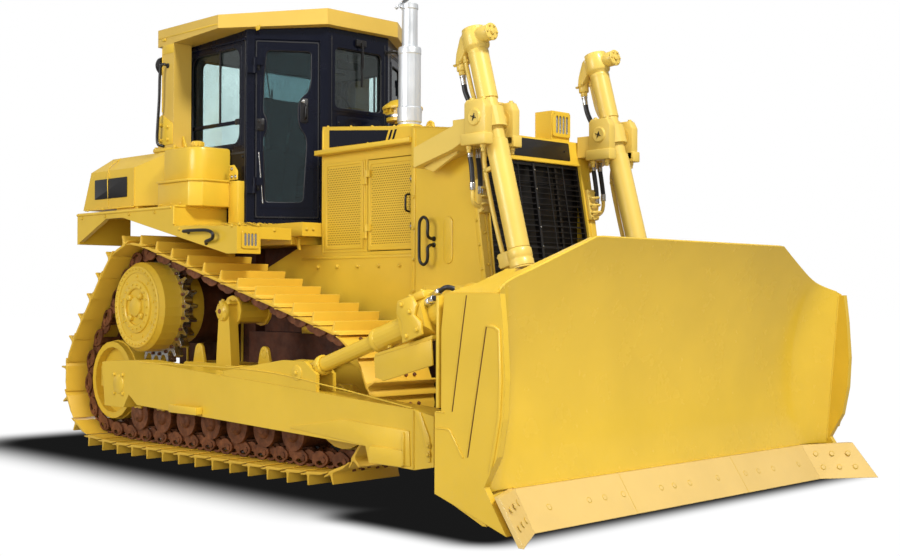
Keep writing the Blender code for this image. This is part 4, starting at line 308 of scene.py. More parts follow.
class Piece:
    """A mesh piece put together from bevelled shapes. mat picks one of its materials."""

    def __init__(self, name, body, *materials):
        self.name, self.body, self.materials = name, body, materials
        self.bm = bmesh.new()

    def take(self, part, mat=0, bevel=0, segments=2, at=None):
        if bevel:
            sharp = [e for e in part.edges if len(e.link_faces) == 2 and e.calc_face_angle(0) > radians(SHARP_FOLD)]
            if sharp:
                bmesh.ops.bevel(part, geom=sharp, offset=bevel, segments=segments, profile=0.5, affect="EDGES",
                                clamp_overlap=True)
        if at is not None:
            bmesh.ops.transform(part, matrix=at, verts=part.verts)
        bmesh.ops.recalc_face_normals(part, faces=part.faces)
        for face in part.faces:
            face.material_index = mat
        mesh = bpy.data.meshes.new("scratch")
        part.to_mesh(mesh)
        part.free()
        self.bm.from_mesh(mesh)
        bpy.data.meshes.remove(mesh)

    def box(self, x, y, z, mat=0, bevel=0.004, at=None):
        part = bmesh.new()
        bmesh.ops.create_cube(part, size=1)
        low = Vector((min(x), min(y), min(z)))
        high = Vector((max(x), max(y), max(z)))
        place = Matrix.Translation((low + high) / 2) @ Matrix.Diagonal((*(high - low), 1))
        bmesh.ops.transform(part, matrix=place, verts=part.verts)
        self.take(part, mat, bevel, 2, at)

    def rod(self, start, end, radius, sides=24, mat=0, bevel=0):
        start, end = Vector(start), Vector(end)
        part = bmesh.new()
        bmesh.ops.create_cone(part, cap_ends=True, segments=sides, radius1=radius, radius2=radius,
                              depth=(end - start).length)
        self.take(part, mat, bevel, 2, aim((start + end) / 2, end - start))

    def plate(self, outline, axis, low, high, mat=0, bevel=0.003, at=None):
        """An outline drawn across an axis, filled and carried from low to high."""
        part = bmesh.new()
        verts = [part.verts.new((a, b, low)) for a, b in outline]
        extrude(part, [part.faces.new(verts)], high - low)
        if axis == "y":
            bmesh.ops.transform(part, matrix=Matrix.Diagonal((1, 1, -1, 1)), verts=part.verts)
        self.take(part, mat, bevel, 2, turned(axis, at))

    def ring(self, outer, inner, axis, low, high, mat=0, bevel=0, at=None):
        """A plate with one opening: both outlines have the same number of points."""
        part = bmesh.new()
        sign = -1 if axis == "y" else 1
        loops = [[part.verts.new((a, b, sign * level)) for a, b in outline]
                 for level in (low, high) for outline in (outer, inner)]
        for first, second in ((0, 1), (1, 3), (3, 2), (2, 0)):
            stitch(part, loops[first], loops[second])
        self.take(part, mat, bevel, 1, turned(axis, at))

    def pierced(self, outer, holes, axis, low, high, mat=0, bevel=0, at=None):
        """A plate with openings of any outline."""
        part = bmesh.new()
        sign = -1 if axis == "y" else 1
        edges = []
        for outline in (outer, *holes):
            verts = [part.verts.new((a, b, sign * low)) for a, b in outline]
            edges += [part.edges.new((verts[i], verts[(i + 1) % len(verts)])) for i in range(len(verts))]
        bmesh.ops.triangle_fill(part, edges=edges, use_beauty=True, use_dissolve=False)
        extrude(part, part.faces[:], sign * (high - low))
        self.take(part, mat, bevel, 1, turned(axis, at))

    def loop(self, points, radius, sides=8, mat=0):
        """A tube round a closed outline."""
        part = bmesh.new()
        points = [Vector(p) for p in points]
        count = len(points)
        normal = sum(((points[i] - points[0]).cross(points[(i + 1) % count] - points[0]) for i in range(count)),
                     Vector()).normalized()
        rings = []
        for i, point in enumerate(points):
            along = (points[(i + 1) % count] - points[i - 1]).normalized()
            side = along.cross(normal).normalized()
            rings.append(circle(part, point, side, normal, radius, sides))
        for first, second in zip(rings, rings[1:] + rings[:1]):
            stitch(part, first, second)
        self.take(part, mat)

    def lathe(self, profile, point, direction, sides=32, mat=0):
        """A closed (radius, along) profile turned about a line through a point."""
        part = bmesh.new()
        verts = [part.verts.new((max(r, 0), 0, a)) for r, a in profile]
        edges = [part.edges.new(pair) for pair in zip(verts, verts[1:])]
        bmesh.ops.spin(part, geom=verts + edges, cent=(0, 0, 0), axis=UP, angle=2 * pi, steps=sides, use_merge=True)
        bmesh.ops.remove_doubles(part, verts=part.verts, dist=1e-5)
        self.take(part, mat, at=aim(point, direction))

    def bolt(self, point, direction, radius=0.014, mat=0, washer=True):
        """A hexagon head on its washer."""
        direction = Vector(direction).normalized()
        point = Vector(point)
        if washer:
            self.rod(point - direction * 0.002, point + direction * radius * WASHER_HEIGHT, radius * WASHER_WIDTH, 16,
                     mat)
        self.rod(point, point + direction * radius * HEAD_HEIGHT, radius, 6, mat, bevel=radius * HEAD_BEVEL)

    def bolts(self, points, direction, radius=0.014, mat=0):
        for point in points:
            self.bolt(point, direction, radius, mat)

    def bolt_ring(self, centre, direction, ring_radius, count, radius=0.012, mat=0):
        at = aim(centre, direction)
        for i in range(count):
            angle = 2 * pi * i / count
            point = at @ Vector((ring_radius * cos(angle), ring_radius * sin(angle), 0))
            self.bolt(point, direction, radius, mat, washer=False)

    def tube(self, points, radius, sides=12, mat=0, smooth=6):
        """A round tube along a smooth line through the points. The radius can change along it."""
        path = curve_through([Vector(p) for p in points], smooth)
        part = bmesh.new()
        rings = []
        side = None
        for i, point in enumerate(path):
            before, after = path[max(i - 1, 0)], path[min(i + 1, len(path) - 1)]
            along = (after - before).normalized()
            if side is None:
                side = along.orthogonal().normalized()
            side = (side - along * side.dot(along)).normalized()
            other = along.cross(side)
            size = radius(i / (len(path) - 1)) if callable(radius) else radius
            rings.append(circle(part, point, side, other, size, sides))
        for first, second in zip(rings, rings[1:]):
            stitch(part, first, second)
        part.faces.new(list(reversed(rings[0])))
        part.faces.new(rings[-1])
        self.take(part, mat)

    def weld(self, points, radius=0.006, mat=0):
        """A rippled weld bead."""
        length = sum((Vector(b) - Vector(a)).length for a, b in zip(points, points[1:]))
        steps = max(4, int(length / 0.02) // max(1, len(points) - 1))
        self.tube(points, lambda share: radius * (1 + RIPPLE_DEPTH * sin(share * length * RIPPLES)), 6, mat, steps)

    def mirrored(self):
        """A right-hand piece's twin on the left side of the machine."""
        twin = Piece(f"{self.name[:-2]}_L", self.body.replace("_R", "_L"), *self.materials)
        mesh = bpy.data.meshes.new("scratch")
        self.bm.to_mesh(mesh)
        twin.bm.from_mesh(mesh)
        bpy.data.meshes.remove(mesh)
        bmesh.ops.transform(twin.bm, matrix=MIRROR, verts=twin.bm.verts)
        bmesh.ops.reverse_faces(twin.bm, faces=twin.bm.faces)
        return twin

    def done(self, *replaced, angle=35):
        mesh = bpy.data.meshes.new(self.name)
        self.bm.to_mesh(mesh)
        self.bm.free()
        for material in self.materials:
            mesh.materials.append(material)
        mesh.shade_smooth()
        mesh.set_sharp_from_angle(angle=radians(angle))
        obj = placed(self.name, mesh)
        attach(obj, self.body)
        if replaced:
            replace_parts(obj, *replaced)
        return obj


def curve_through(points, steps):
    """A Catmull-Rom line through the points."""
    if len(points) < 3:
        return [points[0].lerp(points[-1], i / steps) for i in range(steps + 1)]
    padded = [points[0] * 2 - points[1], *points, points[-1] * 2 - points[-2]]
    line = []
    for a, b, c, d in zip(padded, padded[1:], padded[2:], padded[3:]):
        for i in range(steps):
            t = i / steps
            bend, twist = 2 * a - 5 * b + 4 * c - d, 3 * b - a - 3 * c + d
            line.append(0.5 * (2 * b + (c - a) * t + bend * t ** 2 + twist * t ** 3))
    line.append(points[-1])
    return line


def arc(centre, radius, start, end, steps):
    angles = [radians(start + (end - start) * i / steps) for i in range(steps + 1)]
    return [(centre[0] + radius * cos(a), centre[1] + radius * sin(a)) for a in angles]


def rounded(low, high, radius, steps=4):
    """A rectangle with round corners, from its low corner anticlockwise."""
    (x0, y0), (x1, y1) = low, high
    points = []
    for cx, cy, start in ((x1 - radius, y0 + radius, -90), (x1 - radius, y1 - radius, 0),
                          (x0 + radius, y1 - radius, 90), (x0 + radius, y0 + radius, 180)):
        points += arc((cx, cy), radius, start, start + 90, steps)
    return points


def band(inner, outer, low, high):
    """The profile of a plain ring."""
    return [(inner, low), (outer, low), (outer, high), (inner, high), (inner, low)]


def both(piece, right=(), left=()):
    """Finishes a right-hand piece and its mirror image on the left, with the nodes that each replaces."""
    twin = piece.mirrored()
    piece.done(*right)
    twin.done(*left)


# Tracks: the same pins' path as the frame's tracks

GAUGE = 1.98
SHOE_WIDTH = 0.56
SHOE_COUNT = 40
PHASE_SHARE = 0.45
PITCH = 0.216
PIN_HEIGHT = 0.144
IDLER_PIN_RADIUS = 0.39
IDLER_Z = PIN_HEIGHT + IDLER_PIN_RADIUS + 0.015
REAR_IDLER_X, FRONT_IDLER_X = -2.253, 0.637
SPROCKET = (-1.7, 1.14)
SPROCKET_PIN_RADIUS = 0.43
TEETH = 25
SEGMENT_BORE, SEGMENT_BOLTS, SEGMENT_HALF = 0.301, 0.366, 0.036      # radii, half thickness
ROLLERS, FIRST_ROLLER_X, LAST_ROLLER_X = 7, -1.79, 0.15
ROLLER_FLANGE, ROLLER_TREAD = 0.1215, 0.1015     # radii


def tangent_angle(first, first_radius, second, second_radius):
    dx, dz = second[0] - first[0], second[1] - first[1]
    return atan2(dz, dx) + pi / 2 - asin((first_radius - second_radius) / hypot(dx, dz))


def pin_points():
    wheels = (
        ((REAR_IDLER_X, IDLER_Z), IDLER_PIN_RADIUS), (SPROCKET, SPROCKET_PIN_RADIUS),
        ((FRONT_IDLER_X, IDLER_Z), IDLER_PIN_RADIUS),
    )
    first = tangent_angle(*wheels[0], *wheels[1])
    second = tangent_angle(*wheels[1], *wheels[2])
    path = []
    for (centre, radius), start, end in zip(wheels, (1.5 * pi, first, second), (first, second, -pi / 2)):
        count = max(2, ceil(abs(start - end) / radians(3)))
        for step in range(count + 1):
            angle = start + (end - start) * step / count
            path.append((centre[0] + radius * cos(angle), centre[1] + radius * sin(angle)))
    path += [(FRONT_IDLER_X - PITCH * 1.5, PIN_HEIGHT), (REAR_IDLER_X + PITCH * 1.5, PIN_HEIGHT), path[0]]
    lengths = [0]
    for (ax, az), (bx, bz) in zip(path, path[1:]):
        lengths.append(lengths[-1] + hypot(bx - ax, bz - az))
    found, at = [], 0
    for number in range(SHOE_COUNT):
        target = lengths[-1] * (number + PHASE_SHARE) / SHOE_COUNT
        while lengths[at + 1] < target:
            at += 1
        share = (target - lengths[at]) / (lengths[at + 1] - lengths[at])
        (ax, az), (bx, bz) = path[at], path[at + 1]
        found.append((ax + (bx - ax) * share, az + (bz - az) * share))
    return found


def link_matrices():
    """For each link a frame at its first pin: X along the chain, Y to the left, Z outward; and its length."""
    points = pin_points()
    found = []
    for (ax, az), (bx, bz) in zip(points, points[1:] + points[:1]):
        length = hypot(bx - ax, bz - az)
        tx, tz = (bx - ax) / length, (bz - az) / length
        turn = Matrix(((tx, 0, -tz, ax), (0, 1, 0, -GAUGE / 2), (tz, 0, tx, az), (0, 0, 0, 1)))
        found.append((turn, length))
    return found


def track():
    """Shoes with grousers and curved lips, bolted to pairs of slotted links with pins and bushings."""
    piece = Piece("track_chain_R", "machine", YELLOW_TRACK, BROWN)
    half = SHOE_WIDTH / 2
    for at, length in link_matrices():
        foot = length * 0.8
        shoe = [(-0.024, 0.0455), (0.01, 0.053), (foot, 0.054), (length - 0.032, 0.054), (length - 0.018, 0.063),
                (length + 0.03, 0.0705), (length + 0.034, 0.0755), (length + 0.026, 0.0785), (length - 0.006, 0.079),
                (foot + 0.02, 0.074), (foot + 0.009, 0.082), (foot + 0.006, PIN_HEIGHT - 0.002),
                (foot - 0.006, PIN_HEIGHT - 0.001), (foot - 0.011, 0.086), (foot - 0.024, 0.073), (0.046, 0.0715),
                (0.034, 0.067), (0.012, 0.0605), (-0.014, 0.0565), (-0.026, 0.051),]
        piece.plate(shoe, "y", -half, half, 0, 0.0015, at)
        for along in (length * 0.22, length * 0.52):
            for across in (-0.135, -0.062, 0.062, 0.135):
                centre = at @ Vector((along, across, 0.072))
                piece.bolt(centre, at.to_3x3() @ Vector(UP), 0.013, 1, washer=False)
        for side in (-1, 1):
            for start, low, high in ((-0.046, 0.098, 0.113), (length / 2 - 0.022, 0.082, 0.097)):
                end = start + length / 2 + 0.068
                mid = (start + end) / 2
                reach = (end - start) / 2
                outer, inner = [], []
                for step in range(16):
                    angle = 2 * pi * step / 16
                    c, s = cos(angle), sin(angle)
                    squash = 1 / max(abs(c), abs(s), 0.8 * (abs(c) + abs(s)) - 0.02)
                    outer.append((mid + reach * c * squash, -0.006 + (0.055 if s < 0 else 0.059) * s * squash))
                    inner.append((mid + reach * 0.42 * c, 0.02 + 0.015 * s))
                lo, hi = sorted((side * low, side * high))
                piece.ring(outer, inner, "y", lo, hi, 1, 0, at)
            piece.rod(at @ Vector((0, side * 0.108, 0)), at @ Vector((0, side * 0.12, 0)), 0.021, 12, 1)
        piece.rod(at @ Vector((0, -0.084, 0)), at @ Vector((0, 0.084, 0)), 0.031, 12, 1)
    both(piece, right=("track_R",), left=("track_L",))


def sprocket():
    """Bolted tooth segments round the final drive."""
    points = pin_points()
    top = (SPROCKET[0], SPROCKET[1] + SPROCKET_PIN_RADIUS)
    nearest = min(points, key=lambda p: hypot(p[0] - top[0], p[1] - top[1]))
    phase = atan2(nearest[1] - SPROCKET[1], nearest[0] - SPROCKET[0])
    step = 2 * pi / TEETH
    piece = Piece("sprocket_teeth_R", "machine", STEEL, BROWN)
    shape = ((0.06, 0.379), (0.2, 0.383), (0.31, 0.402), (0.38, 0.438), (0.43, 0.451), (0.57, 0.451), (0.62, 0.438),
             (0.69, 0.402), (0.8, 0.383), (0.94, 0.379))
    outer, inner = [], []
    for tooth in range(TEETH):
        for share, radius in shape:
            angle = phase + (tooth + share) * step
            outer.append((SPROCKET[0] + radius * cos(angle), SPROCKET[1] + radius * sin(angle)))
            inner.append((SPROCKET[0] + SEGMENT_BORE * cos(angle), SPROCKET[1] + SEGMENT_BORE * sin(angle)))
    piece.ring(outer, inner, "y", -GAUGE / 2 - SEGMENT_HALF, -GAUGE / 2 + SEGMENT_HALF, 0, 0.004)
    for i in range(TEETH):
        angle = phase + (i + 0.5) * step
        for side in (-1, 1):
            point = (SPROCKET[0] + SEGMENT_BOLTS * cos(angle), -GAUGE / 2 + side * SEGMENT_HALF,
                     SPROCKET[1] + SEGMENT_BOLTS * sin(angle))
            piece.bolt(point, (0, side, 0), 0.013, 1, washer=False)
    both(piece, right=("sprocket_R",), left=("sprocket_L",))


def final_drive():
    """Cover rings, bolt circles and the hub's bosses on the outer face."""
    face = -1.21
    piece = Piece("final_drive_cover_R", "machine", YELLOW)
    centre = Vector((SPROCKET[0], face, SPROCKET[1]))
    out = Vector(RIGHT)

    def raised(profile, sides=64):
        piece.lathe(profile, centre, out, sides)

    raised([(0.318, -0.004), (0.318, 0.003), (0.31, 0.01), (0.272, 0.01), (0.262, 0.004), (0.262, -0.004),
            (0.318, -0.004)])
    raised([(0.205, -0.004), (0.2, 0.012), (0.19, 0.018), (0.15, 0.02), (0.14, 0.012), (0.14, -0.004), (0.205, -0.004)])
    raised([(0, 0.026), (0.06, 0.025), (0.072, 0.02), (0.076, 0.01), (0.08, -0.004), (0, -0.004)], 40)
    piece.bolt_ring(centre + out * 0.009, out, 0.291, 40, 0.0085)
    piece.bolt_ring(centre + out * 0.019, out, 0.172, 18, 0.0085)
    for angle in (50, 140, 230, 320):
        point = centre + Vector((0.108 * cos(radians(angle)), 0, 0.108 * sin(radians(angle))))
        piece.lathe([(0, 0.03), (0.018, 0.029), (0.024, 0.02), (0.026, -0.003), (0, -0.003)], point, out, 20)
    for angle in range(10, 370, 40):
        point = centre + Vector((0.236 * cos(radians(angle)), 0, 0.236 * sin(radians(angle))))
        piece.rod(point - out * 0.003, point + out * 0.006, 0.012, 16, bevel=0.002)
    shoulder = centre - out * 0.105
    piece.bolt_ring(shoulder + out * 0.036, out, 0.334, 44, 0.007)
    both(piece)


def roller_row():
    """Collars, caps and guards beside the rollers, idler bolts, lifting eyes and the carrier's bracket."""
    piece = Piece("track_frame_fittings_R", "machine", YELLOW, BROWN, STEEL)
    middle = -GAUGE / 2
    low = PIN_HEIGHT + 0.062 + 0.1
    outer, inner = 0.136 + 0.0015, 0.116 - 0.0015      # flange's faces from the roller's middle
    for number in range(ROLLERS):
        x = FIRST_ROLLER_X + (LAST_ROLLER_X - FIRST_ROLLER_X) * number / (ROLLERS - 1)
        piece.lathe([(0, -outer), (ROLLER_FLANGE, -outer), (ROLLER_FLANGE, -inner), (ROLLER_TREAD, -inner),
                     (ROLLER_TREAD, inner), (ROLLER_FLANGE, inner), (ROLLER_FLANGE, outer), (0, outer)],
                    (x, middle, low), LEFT, 40, 1)
        for side in (-1, 1):
            y = middle + side * 0.136
            piece.lathe([(0, 0.03), (0.03, 0.03), (0.036, 0.024), (0.052, 0.02), (0.06, 0.012), (0.064, -0.002),
                         (0, -0.002)], (x, y, low), (0, side, 0), 20, 1)
            piece.box((x - 0.05, x + 0.05), sorted((y, y + side * 0.02)), (low + 0.045, 0.372), 0, 0.006)
            piece.bolts([(x + dx, y + side * 0.01, 0.356 - 0.012) for dx in (-0.034, 0.034)], DOWN, 0.01, 1)
    for x in (REAR_IDLER_X, FRONT_IDLER_X):
        for side in (-1, 1):
            y = middle + side * 0.144
            piece.lathe([(0, 0.026), (0.04, 0.026), (0.052, 0.02), (0.078, 0.014), (0.086, 0.004), (0.086, -0.001),
                         (0, -0.001)], (x, y, IDLER_Z + 0.031), (0, side, 0), 28)
            piece.bolt_ring((x, y + side * 0.012, IDLER_Z + 0.031), (0, side, 0), 0.066, 8, 0.008)
    # Lifting eyes, pad and bolted cover on the beam
    eye = [(-0.075, 0), (0.075, 0), (0.048, 0.095), *arc((0, 0.095), 0.048, 0, 180, 8), (-0.048, 0.095)]
    for x in (-0.2, -1):
        piece.plate([(x + a, 0.735 + b) for a, b in eye], "y", -1.112, -1.088, 0, 0.004)
        piece.lathe(band(0.02, 0.036, -0.014, 0.014), (x, -1.1, 0.832), RIGHT, 20)
    piece.box((0.07, 0.23), (-1.118, -1), (0.735, 0.772), 0, 0.008)
    piece.box((-0.9, -0.06), (-1.134, -1.126), (0.43, 0.7), 0, 0.004)
    piece.bolts([(x, -1.134, z) for x in (-0.86, -0.62, -0.34, -0.1) for z in (0.46, 0.67)], RIGHT, 0.012)
    # Carrier roller's bracket: round head, cap bolts and a sloping arm
    head = Vector((-0.56, -1.196, 1.117))
    piece.lathe([(0, 0.036), (0.03, 0.036), (0.04, 0.026), (0.062, 0.022), (0.07, 0.01), (0.07, -0.004), (0, -0.004)],
                head, RIGHT, 28)
    piece.lathe([(0, 0.006), (0.016, 0.004), (0.018, -0.002), (0, -0.002)], head + Vector((0, -0.036, 0)), RIGHT, 16, 1)
    piece.bolt_ring(head + Vector((0, -0.022, 0)), RIGHT, 0.052, 6, 0.008)
    piece.box((-0.628, -0.492), (-1.196, -1.06), (1.165, 1.192), 0, 0.01)
    piece.bolts([(x, y, 1.192) for x in (-0.6, -0.52) for y in (-1.175, -1.12)], UP, 0.011)
    both(piece)


# Lift cylinders and yokes

TRUNNION_AT = Vector((1.495, -0.61, 2.335))
LIFT_TURN = Matrix(((0.963335, 0, -0.268303), (0, 1, 0), (0.268303, 0, 0.963335))).to_4x4()
BARREL_AT = Matrix.Translation(TRUNNION_AT) @ LIFT_TURN      # X forward, Y left, Z up along the barrel


def lift_fittings():
    """Head casting, feed tube, hose and gland of a lift cylinder."""
    piece = Piece("lift_barrel_fittings_R", "lift_barrel_R", YELLOW_LIFT_LIT, STEEL, HOSE, SEAL)
    up = BARREL_AT.to_3x3() @ Vector(UP)

    def at(*point):
        return BARREL_AT @ Vector(point)

    piece.lathe([(0, 0.614), (0.046, 0.613), (0.064, 0.606), (0.08, 0.592), (0.083, 0.575), (0.083, 0.492),
                 (0.079, 0.482), (0.07, 0.474), (0.064, 0.462), (0.0605, 0.458), (0.048, 0.458), (0.048, 0.53),
                 (0, 0.53)], TRUNNION_AT, up, 40)
    piece.lathe([(0.048, 0.436), (0.066, 0.436), (0.068, 0.442), (0.068, 0.456), (0.066, 0.462), (0.048, 0.462),
                 (0.048, 0.436)], TRUNNION_AT, up, 40)
    # Tube of the barrel, above and below the trunnion
    for low, high, radius in ((-0.847, -0.142, 0.0705), (0.132, 0.44, 0.0665)):
        piece.lathe([(0.0595, low), (radius - 0.002, low), (radius, low + 0.002), (radius, high - 0.004),
                     (radius - 0.004, high), (0.0595, high), (0.0595, low)], TRUNNION_AT, up, 40)
    # Arm of the head to the elbow
    piece.plate([(0.03, 0.608), (-0.055, 0.606), (-0.092, 0.588), (-0.15, 0.5), (-0.176, 0.436), (-0.15, 0.424),
                 (-0.108, 0.452), (-0.072, 0.486), (-0.052, 0.486), (-0.052, 0.53), (0.03, 0.53)], "y", -0.046, 0.046,
                0, 0.012, BARREL_AT)
    piece.rod(at(-0.15, 0, 0.47), at(-0.163, 0, 0.392), 0.036, 24, bevel=0.006)
    piece.bolts([at(-0.158 + dx, dy, 0.44) for dx, dy in ((-0.03, -0.03), (-0.03, 0.03), (0.024, -0.034),
                (0.024, 0.034))], -up, 0.01)
    # Valve boss and its cover
    piece.rod(at(0.052, -0.012, 0.546), at(0.148, -0.012, 0.53), 0.052, 32, bevel=0.008)
    piece.rod(at(0.146, -0.012, 0.53), at(0.158, -0.012, 0.528), 0.056, 32, bevel=0.004)
    face = BARREL_AT.to_3x3() @ Vector((0.986, 0, -0.164))
    piece.bolt_ring(at(0.158, -0.012, 0.528), face, 0.042, 6, 0.008)
    piece.rod(at(0.156, -0.012, 0.528), at(0.168, -0.012, 0.526), 0.018, 20, bevel=0.003)
    piece.box((-0.02, 0.07), (-0.052, 0.034), (0.53, 0.6), 0, 0.014, BARREL_AT)
    # Hose with its ferrule, from the elbow down to a port on the trunnion ring
    piece.rod(at(-0.163, 0, 0.396), at(-0.168, 0, 0.366), 0.026, 6, 0, bevel=0.003)
    piece.rod(at(-0.167, 0, 0.37), at(-0.173, 0, 0.3), 0.0185, 20, 1, bevel=0.003)
    piece.rod(at(-0.168, 0, 0.362), at(-0.169, 0, 0.35), 0.022, 20, 1, bevel=0.002)
    piece.tube([at(-0.172, 0, 0.308), at(-0.174, 0, 0.262), at(-0.165, 0.002, 0.205), at(-0.146, 0.006, 0.15),
                at(-0.12, 0.01, 0.108), at(-0.098, 0.012, 0.088)], 0.0175, 18, 2, 8)
    piece.rod(at(-0.108, 0.012, 0.098), at(-0.072, 0.012, 0.058), 0.021, 6, 1, bevel=0.002)
    piece.box((-0.086, -0.047), (-0.018, 0.04), (0.028, 0.074), 0, 0.006, BARREL_AT)
    # Feed tube round the trunnion to the gland's port
    piece.tube([at(-0.098, -0.02, 0.468), at(-0.101, -0.02, 0.4), at(-0.098, -0.02, 0.24), at(-0.078, -0.034, 0.15),
                at(-0.054, -0.05, 0.08), at(-0.053, -0.052, 0), at(-0.055, -0.05, -0.1), at(-0.088, -0.036, -0.19),
                at(-0.116, -0.026, -0.3), at(-0.124, -0.024, -0.56), at(-0.12, -0.02, -0.8),
                at(-0.116, -0.014, -0.846)], 0.0145, 16, 0, 8)
    piece.box((-0.122, -0.056), (-0.04, -0.004), (-0.316, -0.29), 0, 0.004, BARREL_AT)
    piece.bolt(at(-0.112, -0.04, -0.303), RIGHT, 0.008)
    piece.rod(at(-0.098, -0.02, 0.44), at(-0.098, -0.02, 0.42), 0.021, 6, bevel=0.002)
    # Gland: collar, port block, bolts and wiper
    piece.lathe([(0.0605, -0.846), (0.072, -0.85), (0.0775, -0.858), (0.0775, -0.905), (0.0745, -0.91),
                 (0.0745, -0.922), (0.0775, -0.927), (0.0775, -0.962), (0.072, -0.968), (0.058, -0.968), (0.058, -0.9),
                 (0.0605, -0.846)], TRUNNION_AT, up, 40)
    piece.box((-0.146, -0.05), (-0.05, 0.028), (-0.94, -0.842), 0, 0.012, BARREL_AT)
    piece.bolts([at(-0.146, y, z) for y in (-0.036, 0.012) for z in (-0.864, -0.916)],
                -(BARREL_AT.to_3x3() @ Vector(FORE)), 0.008)
    piece.tube([at(-0.1, -0.01, -0.93), at(-0.104, -0.01, -0.972), at(-0.09, -0.01, -0.996), at(-0.068, -0.008, -0.984),
                at(-0.062, -0.006, -0.95)], 0.012, 14, 0, 6)
    piece.bolt_ring(at(0, 0, -0.967), -up, 0.0665, 8, 0.007)
    piece.lathe([(0.0545, -0.96), (0.059, -0.96), (0.059, -0.9685), (0.0555, -0.97), (0.0545, -0.96)], TRUNNION_AT, up,
                32, 3)
    both(piece)


def rod_fittings():
    """Eye collar and weld at the rod's foot, pin plates on the blade's ears."""
    eye = Vector((2.02, -0.61, 0.45))
    piece = Piece("lift_rod_collar_R", "lift_rod_R", STEEL, YELLOW)
    up = LIFT_TURN.to_3x3() @ Vector(UP)
    piece.lathe([(0.0385, 0.068), (0.056, 0.066), (0.058, 0.074), (0.052, 0.094), (0.0385, 0.102), (0.0385, 0.068)],
                eye, up, 32)
    for side in (-1, 1):
        half = 0.0435
        piece.lathe([(0.052, 0), (0.073, 0), (0.07, 0.004), (0.054, 0.004), (0.052, 0)],
                    eye + Vector((0, side * half, 0)), (0, side, 0), 32)
    both(piece)


def yoke_fittings():
    """Bearing caps, pin covers, bolts and the hoses that go down to the guard's manifold."""
    piece = Piece("lift_yoke_fittings_R", "machine", YELLOW_LIFT_LIT, STEEL, HOSE, BLACK)
    x, z = TRUNNION_AT.x, TRUNNION_AT.z
    for low, high, out in ((-0.768, -0.703, -1), (-0.517, -0.452, 1)):
        piece.plate([(x - 0.092, z - 0.155), (x + 0.09, z - 0.155), (x + 0.092, z + 0.062), (x + 0.064, z + 0.112),
                     (x - 0.072, z + 0.112), (x - 0.092, z + 0.09)], "y", low, high, 0, 0.007)
        piece.box((x - 0.11, x + 0.1), (low - (0.014 if out < 0 else 0), high + (0.014 if out > 0 else 0)),
                  (z - 0.172, z - 0.1), 0, 0.008)
        edge = low if out < 0 else high
        centre = Vector((x, edge, z))
        piece.lathe([(0, 0.006), (0.01, 0.006), (0.013, 0.01), (0.046, 0.012), (0.052, 0.008), (0.054, -0.003),
                     (0, -0.003)], centre, (0, out, 0), 40)
        for turn in (0, 90):
            spin = spun(centre, turn + 20, "Y")
            piece.box((-0.024, 0.024), (min(0, out * 0.0135), max(0, out * 0.0135)), (-0.003, 0.003), 3, 0.001, spin)
        middle = (low + high) / 2
        piece.bolts([(x - 0.056, middle, z + 0.112), (x + 0.046, middle, z + 0.112)], UP, 0.014)
        for dx in (-0.072, 0.05):
            piece.rod((x + dx, middle + out * 0.008, 2.166), (x + dx, middle + out * 0.008, 2.142), 0.019, 6,
                      bevel=0.003)
            piece.rod((x + dx, middle + out * 0.008, 2.144), (x + dx, middle + out * 0.008, 2.12), 0.013, 16,
                      bevel=0.003)
    # Weld round the arm's foot on the guard and its stiffening rib
    piece.weld([(0.93, -0.586, 2.058), (1.292, -0.586, 2.182)], 0.007)
    piece.weld([(0.93, -0.586, 2.19), (1.25, -0.586, 2.31)], 0.007)
    piece.weld([(0.93, -0.586, 2.06), (0.93, -0.586, 2.188)], 0.007)
    piece.plate([(0.96, 2.062), (1.27, 2.17), (1.27, 2.13), (1.06, 2.03)], "y", -0.7, -0.676, 0, 0.004)
    # Hoses
    for across, drop in ((-0.58, 0), (-0.652, -0.02)):
        start = Vector((1.34, across, 2.196))
        piece.rod(start, start - Vector((0, 0, 0.03)), 0.023, 6, 0, bevel=0.003)
        piece.rod(start - Vector((0, 0, 0.026)), start - Vector((-0.004, 0, 0.092)), 0.018, 18, 1, bevel=0.003)
        piece.tube([start - Vector((-0.003, 0, 0.08)), start - Vector((-0.016, 0, 0.15)),
                    start - Vector((-0.026, 0.002, 0.22)), start - Vector((-0.03, 0.004, 0.28 + drop))], 0.016, 16, 2,
                   7)
        low = start - Vector((-0.03, 0.004, 0.27 + drop))
        piece.rod(low, low - Vector((0, 0, 0.05)), 0.0185, 16, 1, bevel=0.003)
        bend = low - Vector((0, 0, 0.046))
        piece.tube([bend, bend - Vector((0.001, 0, 0.04)), bend - Vector((0.004, -0.01, 0.075)),
                    bend - Vector((0.006, -0.04, 0.098)), Vector((bend.x + 0.004, -0.572, bend.z - 0.108))], 0.013, 14,
                   0, 6)
    slope = spun((1.342, 0, 1.86), -8.67, "Y")
    piece.box((-0.004, 0.03), (-0.592, -0.5), (-0.105, 0.11), 0, 0.008, slope)
    piece.bolts([slope @ Vector((0.03, across, height)) for across in (-0.575, -0.517) for height in (-0.085, 0.088)],
                slope.to_3x3() @ Vector(FORE), 0.01)
    for height in (0.046, -0.006, -0.056):
        piece.tube([slope @ Vector(p) for p in ((0.026, -0.585, height), (0.052, -0.586, height + 0.003),
                                                (0.056, -0.552, height), (0.052, -0.516, height - 0.003),
                                                (0.026, -0.514, height))], 0.0085, 12, 0, 5)
    both(piece)


# Hood and radiator guard

GUARD_SLOPE = Matrix(((0.98857, 0, -0.15075), (0, 1, 0), (0.15075, 0, 0.98857))).to_4x4()
GUARD_AT = Matrix.Translation((1.275, 0, 2.3)) @ GUARD_SLOPE      # X out of the front face, Z up along it


